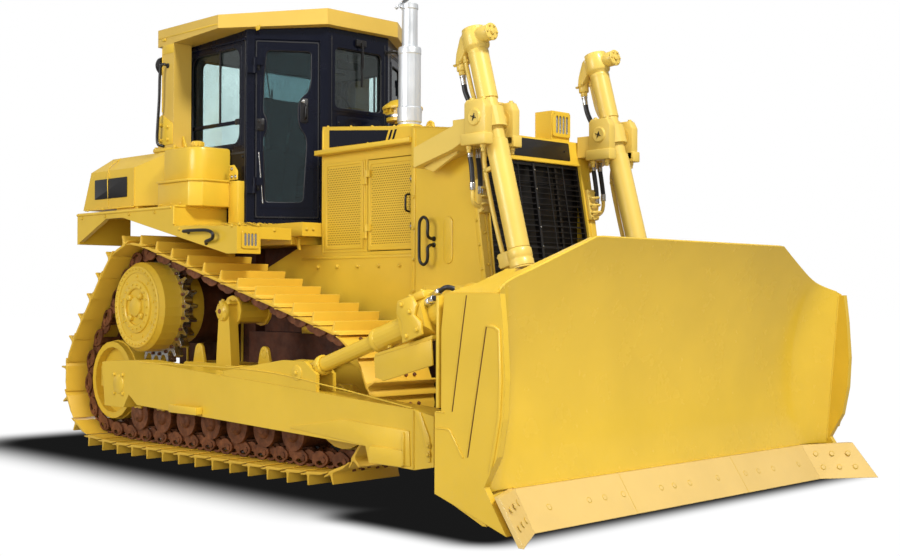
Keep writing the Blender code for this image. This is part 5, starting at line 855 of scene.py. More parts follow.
def guard_face():
    """Blank name panel, grille bars, rims and bolts on the guard's leaning front."""
    piece = Piece("guard_front", "machine", YELLOW, BLACK, WIRE, STEEL)
    out = GUARD_SLOPE.to_3x3() @ Vector(FORE)
    piece.plate(rounded((-0.385, -0.14), (0.385, -0.014), 0.012), "x", -0.002, 0.0035, 1, 0.0015, GUARD_AT)
    for y in (-0.33, 0.33):
        piece.bolt(GUARD_AT @ Vector((0.003, y, -0.077)), out, 0.006, 1, False)
    low, high = -1.325, -0.172

    def half(height):
        return 0.47 + 0.045 * (height - high) / (low - high)

    # Rim round the mouth
    for side in (-1, 1):
        piece.plate([(side * half(low), low), (side * half(high), high), (side * (half(high) + 0.016), high + 0.006),
                     (side * (half(low) + 0.016), low)], "x", -0.004, 0.008, 0, 0.003, GUARD_AT)
    piece.box((-0.004, 0.008), (-half(high) - 0.016, half(high) + 0.016), (high, high + 0.016), 0, 0.003, GUARD_AT)
    # Slats and wires of the grille
    for number in range(30):
        height = high - 0.022 - number * 0.0375
        reach = half(height) - 0.006
        piece.box((-0.016, -0.008), (-reach, reach), (height - 0.0022, height + 0.0022), 2, 0, GUARD_AT)
    for share in (-0.64, -0.32, 0.32, 0.64):
        piece.rod(GUARD_AT @ Vector((-0.012, half(low) * share, low + 0.02)), GUARD_AT @ Vector((-0.012,
                    half(high) * share, high - 0.01)), 0.0045, 8, 2)
    piece.box((-0.018, -0.002), (-0.011, 0.011), (low + 0.02, high - 0.01), 2, 0.003, GUARD_AT)
    for number in range(9):
        piece.bolt(GUARD_AT @ Vector((-0.002, 0, high - 0.055 - number * 0.13)), out, 0.006, 3, False)
    for side in (-1, 1):
        for number in range(7):
            piece.bolt(GUARD_AT @ Vector((0, side * 0.548, -0.06 - number * 0.205)), out, 0.009)
        piece.box((-0.004, 0.006), (side * 0.536, side * 0.52), (-1.3, -0.56), 0, 0.003, GUARD_AT)
    piece.done()


def guard_side():
    """Bent grab handle, pressed pad, seams and edge strip on the guard's side."""
    piece = Piece("guard_side_R", "machine", YELLOW, BLACK)
    y = -0.58
    off = y - 0.062
    path = [(0.944, y + 0.006, 1.604), (0.945, y - 0.034, 1.606), (0.947, off, 1.626), (0.948, off, 1.69),
            (0.938, off, 1.728), (0.907, off, 1.746), (0.877, off, 1.728), (0.866, off, 1.69), (0.865, off, 1.59),
            (0.866, off, 1.49), (0.877, off, 1.452), (0.907, off, 1.434), (0.938, off, 1.452), (0.948, off, 1.49),
            (0.947, off, 1.542), (0.945, y - 0.034, 1.562), (0.944, y + 0.006, 1.564)]
    piece.tube(path, 0.0105, 16, 1, 5)
    for z in (1.604, 1.564):
        piece.rod((0.944, y + 0.001, z), (0.944, y - 0.01, z), 0.017, 20, 1, bevel=0.003)
    piece.plate(rounded((1.036, 1.438), (1.12, 1.746), 0.041, 6), "y", y - 0.007, y + 0.001, 0, 0.005)
    # Front corner angle, service cover and rows of bolts
    edge = [(1.275, 2.296), (1.236, 2.292), (1.4, 1.21), (1.44, 1.21)]
    piece.plate(edge, "y", y - 0.005, y + 0.001, 0, 0.002)
    for number in range(6):
        z = 2.02 - number * 0.155
        piece.bolt((1.275 + 0.1524 * (2.3 - z) - 0.026, y - 0.005, z), RIGHT, 0.008)
    piece.box((0.735, 0.762), (y - 0.006, y + 0.002), (0.98, 2.352), 0, 0.003)
    piece.bolts([(0.748, y - 0.006, 1.05 + k * 0.21) for k in range(6)], RIGHT, 0.009)
    piece.plate(rounded((0.83, 1.01), (1.33, 1.3), 0.03), "y", y - 0.005, y + 0.001, 0, 0.003)
    piece.bolts([(x, y - 0.005, z) for x in (0.856, 1.08, 1.304) for z in (1.036, 1.274)], RIGHT, 0.009)
    # Weld below the lamp housing
    piece.weld([(0.724, y, 2.366), (1.262, y, 2.302)], 0.005)
    both(piece)


def head_lamps():
    """Slotted covers over pale lenses, a hood seam and bolts on each lamp housing."""
    piece = Piece("head_lamp_R", "machine", YELLOW, BLACK, LENS, STEEL)
    low, high, near, far = 2.345, 2.478, -0.408, -0.262
    face = 1.25
    outer = rounded((near - 0.018, low - 0.018), (far + 0.018, high + 0.018), 0.02)
    slots = [rounded((near + 0.006 + k * 0.0345, low + 0.006), (near + 0.029 + k * 0.0345, high - 0.006), 0.01)
             for k in range(4)]
    piece.pierced(outer, slots, "x", face + 0.006, face + 0.012, 0, 0.0012)
    piece.pierced(outer, [rounded((near, low), (far, high), 0.012)], "x", face - 0.001, face + 0.007, 0)
    piece.box((face - 0.0005, face + 0.001), (near, far), (low, high), 3, 0)
    piece.box((face + 0.0015, face + 0.0045), (near + 0.002, far - 0.002), (low + 0.002, high - 0.002), 2, 0)
    piece.bolts([(face + 0.01, y, z) for y in (near - 0.009, far + 0.009) for z in (low - 0.009, high + 0.009)], FORE,
                0.005)
    piece.bolts([(1.14, -0.431, 2.42), (1.21, -0.431, 2.47)], RIGHT, 0.007)
    piece.box((1.094, 1.1), (-0.424, -0.246), (2.345, 2.496), 0, 0.003)
    piece.weld([(1.104, -0.434, 2.33), (1.246, -0.434, 2.312)], 0.004)
    # Cable to the hood
    piece.tube([(1.098, -0.335, 2.4), (1.07, -0.335, 2.392), (1.052, -0.33, 2.362), (1.05, -0.328, 2.33)], 0.007, 10, 1,
               5)
    both(piece)


def hood_side():
    """Blank dark band with two slanted stripes, ledge lip, edge trim and bolts along the hood and side guard."""
    piece = Piece("hood_side_R", "machine", YELLOW, NAVY, STEEL, HOLE_SHADE)
    y = -0.52
    strip = [(-0.218, 2.304), (0.392, 2.304), (0.423, 2.374), (-0.218, 2.43)]
    piece.plate(strip, "y", y - 0.0022, y + 0.001, 1, 0)
    for low in (0.418, 0.46):
        piece.plate([(low, 2.304), (low + 0.02, 2.304), (low + 0.05, 2.372), (low + 0.03, 2.3735)], "y", y - 0.0022,
                    y + 0.001, 1, 0)
    # Ledge's turned-down lip
    piece.plate([(-0.298, 2.279), (0.718, 2.294), (0.718, 2.262), (-0.298, 2.247)], "y", y - 0.079, y - 0.073, 0, 0.003)
    piece.bolts([(x, y - 0.048, 2.283 + 0.0148 * (x + 0.3)) for x in (-0.22, 0.02, 0.26, 0.5, 0.68)], UP, 0.007)
    # Side guard: bolt row, bottom flange and gusset strip
    piece.bolts([(x, y, z) for z in (1.438, 1.02) for x in (-0.343, -0.124, 0.101, 0.325, 0.542)], RIGHT, 0.013)
    piece.box((-0.52, 0.712), (y - 0.006, y + 0.002), (0.956, 0.984), 0, 0.003)
    piece.box((-0.53, 0.716), (y - 0.004, y + 0.002), (1.492, 1.51), 0, 0.002)
    # Punched fixed panel behind the door; its holes are flat discs of painted shade
    piece.pierced(rounded((-0.262, 1.562), (0.16, 2.186), 0.012, 2), [rounded((-0.24, 1.584), (0.138, 2.164), 0.016,
                2)], "y", y - 0.005, y + 0.001, 0, 0.002)
    punched(piece, (-0.228, 0.126), (1.598, 2.15), y - 0.0008, 3)
    piece.box((-0.292, 0.19), (y - 0.003, y + 0.001), (1.54, 1.552), 0, 0)
    piece.box((0.168, 0.182), (y - 0.006, y + 0.002), (1.56, 2.19), 0, 0.003)
    piece.box((-0.3, -0.284), (y - 0.004, y + 0.002), (1.53, 2.44), 0, 0.002)
    both(piece)


def punched(piece, xs, zs, y, mat):
    """Staggered rows of small flat discs on a side panel, drawn in painted shade where holes are punched."""
    part = bmesh.new()
    pitch, row_share, radius = 0.0185, 0.866, 0.0046
    angles = [2 * pi * k / 6 for k in range(6)]
    for row in range(int((zs[1] - zs[0]) / (pitch * row_share)) + 1):
        z = zs[0] + row * pitch * row_share
        x = xs[0] + (row % 2) * pitch / 2
        while x < xs[1]:
            part.faces.new([part.verts.new((x + radius * cos(a), y, z + radius * sin(a))) for a in angles])
            x += pitch
    piece.take(part, mat)


def engine_door():
    """Rows of punched holes drawn as flat discs of painted shade, a pressed rim, latch and hinge leaves on the engine
    door.
    """
    piece = Piece("engine_door_panel_R", "engine_door_R", YELLOW, HOLE_SHADE, BLACK, STEEL)
    y = -0.52
    x0, x1, z0, z1 = 0.216, 0.686, 1.548, 2.178
    piece.pierced(rounded((x0, z0), (x1, z1), 0.01, 2), [rounded((x0 + 0.026, z0 + 0.03), (x1 - 0.026, z1 - 0.03),
                0.016, 2)], "y", y - 0.005, y + 0.001, 0, 0.002)
    punched(piece, (x0 + 0.04, x1 - 0.038), (z0 + 0.046, z1 - 0.042), y - 0.0008, 1)
    for z in (1.7, 2.02):
        piece.box((0.664, 0.682), (y - 0.016, y), (z - 0.028, z + 0.028), 2, 0.004)
        piece.rod((0.673, y - 0.014, z), (0.673, y - 0.022, z), 0.01, 20, 3, bevel=0.002)
    piece.tube([(0.64, y - 0.003, 1.8), (0.64, y - 0.034, 1.812), (0.64, y - 0.038, 1.86), (0.64, y - 0.034, 1.908),
                (0.64, y - 0.003, 1.92)], 0.0075, 12, 2, 6)
    both(piece)


def hood_top():
    """Seams, bolts, lifting eyes and filler covers on the hood and guard."""
    piece = Piece("hood_top_fittings", "machine", YELLOW, BLACK, STEEL)

    def height(x):
        return 2.46 - 0.0863 * (x + 0.3)

    slope = Matrix.Rotation(atan2(0.0863, 1), 4, "Y")

    def put(x, y):
        return Matrix.Translation((x, y, height(x))) @ slope

    for x in (-0.29, 0.7):
        piece.box((-0.012, 0.012), (-0.516, 0.516), (-0.002, 0.005), 0, 0.002, put(x, 0))
    for side in (-1, 1):
        piece.box((-0.49, 0.49), (-0.01, 0.01), (-0.002, 0.005), 0, 0.002, put(0.205, side * 0.5))
        for x in (-0.26, 0, 0.23, 0.46, 0.68):
            at = put(x, side * 0.5)
            piece.bolt(at @ Vector((0, 0, 0.005)), UP, 0.008)
        eye = put(0.61, side * 0.3)
        piece.plate([(-0.05, -0.002), (0.05, -0.002), (0.03, 0.05), (0, 0.064), (-0.03, 0.05)], "y", -0.008, 0.008, 0,
                    0.003, eye)
        piece.lathe(band(0.014, 0.024, -0.011, 0.011), eye @ Vector((0, 0, 0.036)), LEFT, 20)
    piece.plate(rounded((-0.13, -0.1), (0.13, 0.1), 0.03), "z", -0.001, 0.006, 0, 0.003, put(0.42, 0.14))
    for dx, dy in ((-0.11, -0.08), (0.11, -0.08), (0.11, 0.08), (-0.11, 0.08)):
        piece.bolt(put(0.42, 0.14) @ Vector((dx, dy, 0.006)), UP, 0.007)
    # Radiator filler
    at = Matrix.Translation((0.95, 0, 2.3425))
    piece.rod(at @ Vector((0, 0, -0.004)), at @ Vector((0, 0, 0.018)), 0.062, 32, bevel=0.004)
    piece.rod(at @ Vector((0, 0, 0.016)), at @ Vector((0, 0, 0.038)), 0.048, 32, 1, bevel=0.006)
    piece.box((-0.052, 0.052), (-0.01, 0.01), (0.036, 0.046), 1, 0.004, at)
    # Exhaust: base collar, clamps and a hinged rain flap
    x, y = 0.345, -0.25
    piece.lathe([(0.081, 0), (0.125, 0), (0.125, 0.01), (0.096, 0.016), (0.092, 0.03), (0.081, 0.034), (0.081, 0)],
                (x, y, height(x) + 0.004), UP, 40)
    piece.bolt_ring((x, y, height(x) + 0.013), UP, 0.112, 8, 0.007)
    piece.done()

    pipe = Piece("stack_fittings", "machine", STACK_STEEL, BLACK)
    pipe.lathe([(0.0795, 2.455), (0.0875, 2.462), (0.0875, 2.56), (0.0795, 2.57), (0.0795, 2.455)], (x, y, 0), UP, 40)
    z = 2.96
    pipe.lathe([(0.079, z - 0.02), (0.083, z - 0.016), (0.083, z + 0.018), (0.078, z + 0.03), (0.06, z + 0.034),
                (0.056, z + 0.034), (0.056, z + 0.02), (0.079, z - 0.02)], (x, y, 0), UP, 40)
    pipe.lathe([(0.0555, 3.262), (0.06, 3.266), (0.06, 3.298), (0.0565, 3.302), (0.046, 3.302), (0.046, 3.292),
                (0.0555, 3.262)], (x, y, 0), UP, 36)
    pipe.lathe([(0, 3.3005), (0.046, 3.3005), (0.046, 3.302), (0, 3.302)], (x, y, 0), UP, 30, 1)
    hinge = spun((x - 0.046, y - 0.046, 3.306), 45)
    flap = hinge @ Matrix.Rotation(radians(-36), 4, "Y")
    pipe.plate([(0.062 + 0.06 * cos(a), 0.06 * sin(a)) for a in (2 * pi * k / 28 for k in range(28))], "z", -0.002,
               0.003, 0, 0.001, flap)
    pipe.box((-0.036, 0.02), (-0.012, 0.012), (-0.006, 0.004), 0, 0.002, flap)
    pipe.box((-0.05, -0.026), (-0.018, 0.018), (-0.014, 0.008), 0, 0.004, flap)
    pipe.rod(hinge @ Vector((0, -0.024, 0)), hinge @ Vector((0, 0.024, 0)), 0.006, 12)
    pipe.box((-0.008, 0.014), (-0.02, 0.02), (-0.03, -0.002), 0, 0.003, hinge)
    pipe.done()

    bowl = Piece("pre_cleaner_fittings", "machine", YELLOW, BLACK, STEEL)
    x, y = -0.22, 0.2
    bowl.lathe([(0, 2.7215), (0.08, 2.7215), (0.096, 2.716), (0.15, 2.676), (0.156, 2.668), (0.156, 2.656),
                (0.15, 2.65), (0.128, 2.65), (0.128, 2.64), (0, 2.64)], (x, y, 0), UP, 48)
    bowl.lathe([(0.124, 2.585), (0.129, 2.588), (0.129, 2.606), (0.124, 2.609), (0.124, 2.585)], (x, y, 0), UP, 48, 2)
    bowl.box((x - 0.15, x - 0.122), (y - 0.014, y + 0.014), (2.584, 2.61), 2, 0.003)
    bowl.lathe([(0.059, 2.44), (0.082, 2.44), (0.082, 2.454), (0.066, 2.462), (0.066, 2.54), (0.059, 2.546),
                (0.059, 2.44)], (x, y, 0), UP, 36, 1)
    bowl.rod((x, y, 2.72), (x, y, 2.736), 0.014, 6, 2, bevel=0.002)
    for k in range(18):
        angle = 2 * pi * k / 18
        turn = Matrix.Translation((x, y, 2.648)) @ Matrix.Rotation(angle, 4, "Z")
        bowl.box((0.126, 0.15), (-0.003, 0.003), (-0.022, 0.006), 0, 0, turn)
    bowl.done()


# Cab

# X along the doorway, -Y out of it
DOOR_AT = Matrix(((0.57468, -0.81838, 0, -0.853), (0.81838, 0.57468, 0, -0.8), (0, 0, 1, 0), (0, 0, 0, 1)))


def soften(points, radius, steps=4):
    """A closed outline with its corners rounded off."""
    points = [Vector(p) for p in points]
    line = []
    for before, here, after in zip(points[-1:] + points[:-1], points, points[1:] + points[:1]):
        a = here + (before - here).normalized() * min(radius, (before - here).length * 0.48)
        b = here + (after - here).normalized() * min(radius, (after - here).length * 0.48)
        for i in range(steps + 1):
            t = i / steps
            line.append(a * (1 - t) ** 2 + here * 2 * t * (1 - t) + b * t * t)
    return line


DOOR_GLASS_LINE = [(0.424, 1.925), (0.452, 2.36), (0.446, 2.432), (0.404, 2.485), (0.386, 2.55), (0.386, 2.646),
                   (0.402, 2.705), (0.464, 2.76), (0.483, 2.835), (0.484, 3.068), (0.146, 3.068), (0.126, 2.843),
                   (0.12, 2.6), (0.15, 2.545), (0.15, 2.473), (0.122, 2.41), (0.121, 2.376), (0.136, 1.925)]


def cab_door():
    """Waisted frame round the door's glass, seals, handle, hinges and inner trim."""
    piece = Piece("cab_door_frame_R", "cab_door_R", NAVY, SEAL, BLACK, STEEL, TRIM)
    line = [tuple(p) for p in soften(DOOR_GLASS_LINE, 0.035, 4)]
    piece.pierced(rounded((0.104, 1.884), (0.503, 3.096), 0.01, 2), [line], "y", -0.0045, 0.0128, 0, 0.0025, DOOR_AT)
    piece.loop([DOOR_AT @ Vector((a, 0.004, z)) for a, z in line], 0.0065, 8, 1)
    inner = [tuple(p) for p in soften([(a + (0.004 if a > 0.3 else -0.004), z) for a, z in DOOR_GLASS_LINE], 0.035, 3)]
    piece.pierced(rounded((0.1, 1.88), (0.507, 3.1), 0.01, 2), [inner], "y", 0.0235, 0.05, 4, 0.003, DOOR_AT)
    # Line round the outer edge; a thin steel rod low on the glass stands in for a highlight line there (painted
    # highlight)
    piece.pierced(rounded((0.068, 1.812), (0.539, 3.138), 0.012, 3), [rounded((0.076, 1.82), (0.531, 3.13), 0.01, 3)],
                  "y", -0.003, 0.001, 1, 0, DOOR_AT)
    piece.rod(DOOR_AT @ Vector((0.093, -0.006, 2.3)), DOOR_AT @ Vector((0.124, -0.006, 1.918)), 0.0045, 10, 3)
    # Handle: recess plate, grip and key barrel
    piece.plate(rounded((0.398, 2.528), (0.458, 2.712), 0.016), "y", -0.014, 0.001, 2, 0.005, DOOR_AT)
    piece.tube([DOOR_AT @ Vector(p) for p in ((0.44, -0.01, 2.556), (0.44, -0.04, 2.566), (0.44, -0.048, 2.606),
                                              (0.44, -0.044, 2.646), (0.44, -0.01, 2.66))], 0.008, 14, 2, 6)
    piece.rod(DOOR_AT @ Vector((0.421, -0.01, 2.688)), DOOR_AT @ Vector((0.421, -0.03, 2.688)), 0.0125, 24, 3,
              bevel=0.003)
    piece.tube([DOOR_AT @ Vector(p) for p in ((0.44, 0.046, 2.44), (0.44, 0.08, 2.452), (0.44, 0.086, 2.56),
                                              (0.44, 0.08, 2.668), (0.44, 0.046, 2.68))], 0.01, 14, 4, 6)
    # Hinge box with three bolts and the leaves
    piece.box((0.074, 0.134), (-0.014, 0.001), (2.462, 2.552), 2, 0.005, DOOR_AT)
    out = DOOR_AT.to_3x3() @ Vector(RIGHT)
    piece.bolts([DOOR_AT @ Vector(p) for p in ((0.09, -0.014, 2.48), (0.09, -0.014, 2.534), (0.118, -0.014, 2.507))],
                out, 0.0075, 2)
    for z in (2.05, 2.95):
        piece.box((0.074, 0.098), (-0.01, 0.001), (z - 0.034, z + 0.034), 2, 0.003, DOOR_AT)
        piece.bolts([DOOR_AT @ Vector((0.087, -0.01, z + d)) for d in (-0.02, 0.02)], out, 0.006, 2)
    both(piece)


def window_frame(piece, axis, hole, outer, frame, seal, inner, lining):
    """Frame, seal and inner lining round one opening."""
    piece.pierced(rounded(*outer, 0.02, 2), [hole], axis, *frame, 0, 0.0025)
    piece.loop([(a, seal, b) if axis == "y" else (seal, a, b) for a, b in hole], 0.007, 8, 1)
    piece.pierced(rounded(*inner, 0.02, 2), [hole], axis, *lining, 4, 0.003)


def cab_windows():
    """Rounded frames and seals of the fixed windows, slider rails, gutters and seams."""
    piece = Piece("side_window_R", "machine", NAVY, SEAL, BLACK, STEEL, TRIM)
    y = -0.8
    hole = rounded((-1.588, 2.372), (-0.942, 3.098), 0.085, 8)
    window_frame(piece, "y", hole, ((-1.616, 2.344), (-0.914, 3.126)), (y - 0.0035, y + 0.02), y + 0.012,
                 ((-1.612, 2.348), (-0.918, 3.122)), (y + 0.033, y + 0.064))
    piece.box((-1.59, -0.944), (y + 0.008, y + 0.022), (2.523, 2.552), 0, 0.003)
    piece.box((-1, -0.952), (y + 0, y + 0.014), (2.516, 2.562), 2, 0.004)
    piece.box((-1.226, -1.207), (y + 0.01, y + 0.0205), (2.552, 3.094), 1, 0.002)
    # Stop frame behind the door's edge
    piece.pierced(rounded((0.05, 1.79), (0.557, 3.16), 0.012, 3), [rounded((0.092, 1.836), (0.515, 3.116), 0.016, 3)],
                  "y", 0.0508, 0.062, 1, 0.002, DOOR_AT)
    # Panel seams and flange below the window
    piece.box((-1.676, -0.868), (y - 0.003, y + 0.001), (2.292, 2.308), 1, 0.0015)
    piece.box((-0.874, -0.864), (y - 0.003, y + 0.001), (1.775, 3.168), 1, 0.0015)
    piece.box((-1.676, -0.862), (y - 0.012, y + 0.001), (3.138, 3.16), 0, 0.003)
    piece.bolts([(-1.645 + k * 0.186, y, 2.27) for k in range(5)], RIGHT, 0.008, 2)
    both(piece)

    piece = Piece("cab_ends", "machine", NAVY, SEAL, BLACK, STEEL, TRIM)
    # Rear window
    x = -1.68
    hole = rounded((-0.668, 2.376), (0.668, 3.094), 0.075, 8)
    window_frame(piece, "x", hole, ((-0.7, 2.346), (0.7, 3.124)), (x - 0.0035, x + 0.028), x + 0.012,
                 ((-0.696, 2.35), (0.696, 3.12)), (x + 0.042, x + 0.066))
    piece.box((x - 0.022, x + 0.001), (-0.05, 0.05), (3.126, 3.168), 2, 0.006)
    piece.tube([(x - 0.014, 0, 3.14), (x - 0.022, 0.01, 3.08), (x - 0.014, 0.04, 2.9), (x - 0.004, 0.052, 2.8)], 0.0055,
               10, 2, 5)
    piece.box((x - 0.008, x - 0.002), (0.044, 0.06), (2.66, 2.96), 2, 0.002)
    piece.bolts([(x, -0.66 + k * 0.22, 2.27) for k in range(7)], AFT, 0.008, 2)
    piece.box((x - 0.003, x + 0.001), (-0.74, 0.74), (2.292, 2.306), 1, 0.0015)
    # Windscreen
    x = -0.504
    hole = rounded((-0.236, 2.656), (0.236, 3.116), 0.042, 6)
    window_frame(piece, "x", hole, ((-0.262, 2.628), (0.262, 3.142)), (x - 0.02, x + 0.0035), x - 0.01,
                 ((-0.26, 2.63), (0.26, 3.14)), (x - 0.064, x - 0.032))
    piece.box((x - 0.001, x + 0.026), (-0.04, 0.06), (3.148, 3.2), 2, 0.006)
    piece.rod((x + 0.02, 0.01, 3.176), (x + 0.036, 0.01, 3.176), 0.012, 16, 2, bevel=0.002)
    piece.tube([(x + 0.03, 0.01, 3.176), (x + 0.034, 0.014, 3.12), (x + 0.026, 0.024, 2.98)], 0.006, 10, 2, 5)
    piece.box((x + 0.004, x + 0.014), (0.018, 0.032), (2.84, 3.104), 2, 0.003)
    piece.box((x - 0.0005, x + 0.005), (0.022, 0.028), (2.846, 3.098), 1, 0)
    # Front posts' seams and firewall pressings
    for side in (-1, 1):
        piece.box((x - 0.001, x + 0.003), (side * 0.272, side * 0.264), (1.775, 3.2), 1, 0.001)
    piece.plate(rounded((-0.22, 2.48), (0.22, 2.6), 0.02), "x", x - 0.001, x + 0.005, 0, 0.003)
    piece.bolts([(x + 0.005, y, 2.54) for y in (-0.2, 0.2)], FORE, 0.008, 2)
    piece.done()


def dials(piece, at, places):
    """Instruments let into a panel: bezel, dark face, ticks and hand."""
    for x, y, radius in places:
        spot = at @ Vector((x, y, 0))
        normal = at.to_3x3() @ Vector(UP)
        piece.lathe([(radius, -0.002), (radius * 1.14, 0), (radius * 1.14, 0.006), (radius * 1.02, 0.008),
                     (radius, 0.004), (radius, -0.002)], spot, normal, 28, 3)
        piece.lathe([(0, 0), (radius, 0), (radius, 0.002), (0, 0.002)], spot, normal, 28, 2)
        for k in range(9):
            turn = Matrix.Translation(spot) @ at.to_3x3().to_4x4() @ Matrix.Rotation(radians(-30 + k * 30), 4, "Z")
            piece.box((radius * 0.72, radius * 0.92), (-0.0008, 0.0008), (0.002, 0.0026), 5, 0, turn)
        hand = Matrix.Translation(spot) @ at.to_3x3().to_4x4() @ Matrix.Rotation(radians(140), 4, "Z")
        piece.box((-0.004, radius * 0.7), (-0.0012, 0.0012), (0.0026, 0.0034), 5, 0, hand)


def cab_inside():
    """Floor mat, pillars' trim, console, instruments, levers and pedals."""
    piece = Piece("cab_interior", "machine", TRIM, FLOOR_MAT, BLACK, STEEL, LINER, LENS, HOSE)
    plan = [(-1.612, -0.735), (-0.88, -0.735), (-0.575, -0.29), (-0.575, 0.29), (-0.88, 0.735), (-1.612, 0.735)]
    piece.plate(plan, "z", 1.8105, 1.818, 1, 0.002)
    for k in range(16):
        y = -0.6 + k * 0.08
        piece.box((-1 if abs(y) > 0.26 else -0.8, -0.79), (y - 0.006, y + 0.006), (1.817, 1.8215), 1, 0.0015)
    piece.plate(plan, "z", 3.096, 3.1195, 4, 0.006)
    # Instrument panel over the dashboard
    piece.plate([(-0.765, 2.34), (-0.758, 2.5), (-0.735, 2.552), (-0.59, 2.552), (-0.572, 2.53), (-0.572, 2.34)], "y",
                -0.212, 0.212, 0, 0.012)
    panel = Matrix(((0, 0.14, -0.99, -0.7665), (-1, 0, 0, 0), (0, 0.99, 0.14, 2.44), (0, 0, 0, 1)))
    dials(piece, panel, [(-0.14, 0.02, 0.034), (-0.055, 0.02, 0.034), (0.03, 0.02, 0.034)])
    piece.plate(rounded((0.08, -0.03), (0.18, 0.06), 0.008), "z", -0.002, 0.008, 2, 0.003, panel)
    piece.plate(rounded((0.088, -0.022), (0.172, 0.052), 0.004), "z", 0.007, 0.009, 5, 0, panel)
    for k in range(6):
        piece.box((-0.16 + k * 0.034, -0.142 + k * 0.034), (-0.062, -0.046), (0, 0.008), 3, 0.002, panel)
    # Arm consoles on both sides of the seat
    for side in (-1, 1):
        near, far = side * 0.29, side * 0.43
        piece.plate([(-1.42, 1.8175), (-0.94, 1.8175), (-0.86, 2.26), (-0.88, 2.33), (-1, 2.365), (-1.42, 2.345)], "y",
                    min(near, far), max(near, far), 0, 0.018)
        piece.box((-1.39, -1.08), (side * 0.3, side * 0.42), (2.352, 2.398), 1, 0.02)
        piece.lathe([(0, 0), (0.036, 0), (0.034, 0.018), (0.024, 0.034), (0.014, 0.052), (0.01, 0.06), (0, 0.06)],
                    (-0.935, side * 0.36, 2.34), (0.1, 0, 1), 24, 6)
        piece.tube([(-0.93, side * 0.36, 2.38), (-0.922, side * 0.36, 2.45), (-0.91, side * 0.352, 2.5)], 0.008, 12, 3,
                   4)
        piece.lathe([(0, -0.02), (0.016, -0.02), (0.021, 0), (0.023, 0.04), (0.026, 0.07), (0.02, 0.092), (0, 0.098)],
                    (-0.908, side * 0.35, 2.51), (0.12, -side * 0.05, 1), 24, 2)
        for k in range(3):
            piece.rod((-1.02, side * (0.33 + k * 0.03), 2.36), (-1.02, side * (0.33 + k * 0.03), 2.378), 0.009, 16, 3,
                      bevel=0.002)
    # Steering bar on the left console, working lever on the right
    piece.tube([(-0.985, 0.33, 2.372), (-0.975, 0.325, 2.52), (-0.955, 0.3, 2.7), (-0.948, 0.26, 2.79),
                (-0.948, 0.2, 2.835), (-0.95, 0.14, 2.822)], 0.011, 14, 2, 6)
    piece.lathe([(0, -0.03), (0.015, -0.028), (0.021, 0), (0.018, 0.028), (0, 0.032)], (-0.95, 0.134, 2.82),
                (0, 1, 0.2), 20, 2)
    # Pedals
    for y in (-0.12, 0.12):
        piece.tube([(-0.62, y, 1.835), (-0.7, y, 1.87), (-0.76, y, 1.925)], 0.01, 12, 3, 4)
        piece.box((-0.045, 0.045), (-0.04, 0.04), (-0.006, 0.008), 6, 0.004, spun((-0.772, y, 1.945), 38, "Y"))
    # Rear shelf, heater box with vents, inner post covers
    piece.plate([(-1.612, 1.8175), (-1.47, 1.8175), (-1.47, 2.24), (-1.5, 2.29), (-1.612, 2.3)], "y", -0.64, 0.64, 0,
                0.014)
    for k in range(6):
        y = -0.5 + k * 0.2
        piece.lathe([(0, 0), (0.03, 0), (0.032, 0.006), (0.026, 0.01), (0, 0.006)], (-1.56, y, 2.292), (0.1, 0, 1), 20,
                    2)
    for side in (-1, 1):
        piece.box((-1.617, -1.585), (side * 0.736, side * 0.7), (1.8175, 3.096), 0, 0.01)
        piece.box((-0.93, -0.895), (side * 0.738, side * 0.7), (1.8175, 3.096), 0, 0.01)
        piece.lathe([(0, 0), (0.045, 0), (0.043, 0.01), (0, 0.014)], (-1.3, side * 0.48, 3.096), DOWN, 28, 2)
    # Mirror and interior lamp
    piece.box((-0.64, -0.628), (-0.11, 0.11), (2.985, 3.05), 2, 0.008)
    piece.rod((-0.634, 0, 3.04), (-0.634, 0, 3.098), 0.006, 10, 2)
    piece.done()


def cushion(name, place, half, crown, pull, channels):
    """A stuffed pad: crowned faces, sides drawn in between the corners, sewn channels across it."""
    bm = bmesh.new()
    bmesh.ops.create_cube(bm, size=2)
    bmesh.ops.subdivide_edges(bm, edges=bm.edges[:], cuts=15, use_grid_fill=True)
    for vert in bm.verts:
        u, v, w = vert.co
        edge = (1 - u ** 6) * (1 - v ** 6)
        x = half[0] * u * (1 - pull * (1 - v * v)) * (1 - 0.07 * w * w * (0.3 + 0.7 * u * u))
        y = half[1] * v * (1 - pull * (1 - u * u)) * (1 - 0.05 * w * w * (0.3 + 0.7 * v * v))
        rise = half[2] * (0.62 + 0.38 * edge) + crown * (1 - u * u) * (1 - v * v)
        for across, at, deep in channels:
            rise -= deep * exp(-(((u if across == "x" else v) - at) / 0.045) ** 2) * (abs(w) > 0.5)
        vert.co = (x, y, w * rise if w > 0 else w * half[2] * (0.62 + 0.38 * edge))
    bmesh.ops.recalc_face_normals(bm, faces=bm.faces)
    mesh = bpy.data.meshes.new(name)
    bm.to_mesh(mesh)
    bm.free()
    mesh.materials.append(SEAT_CLOTH)
    mesh.shade_smooth()
    mesh.transform(place)
    obj = placed(name, mesh)
    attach(obj, "machine")
    return obj


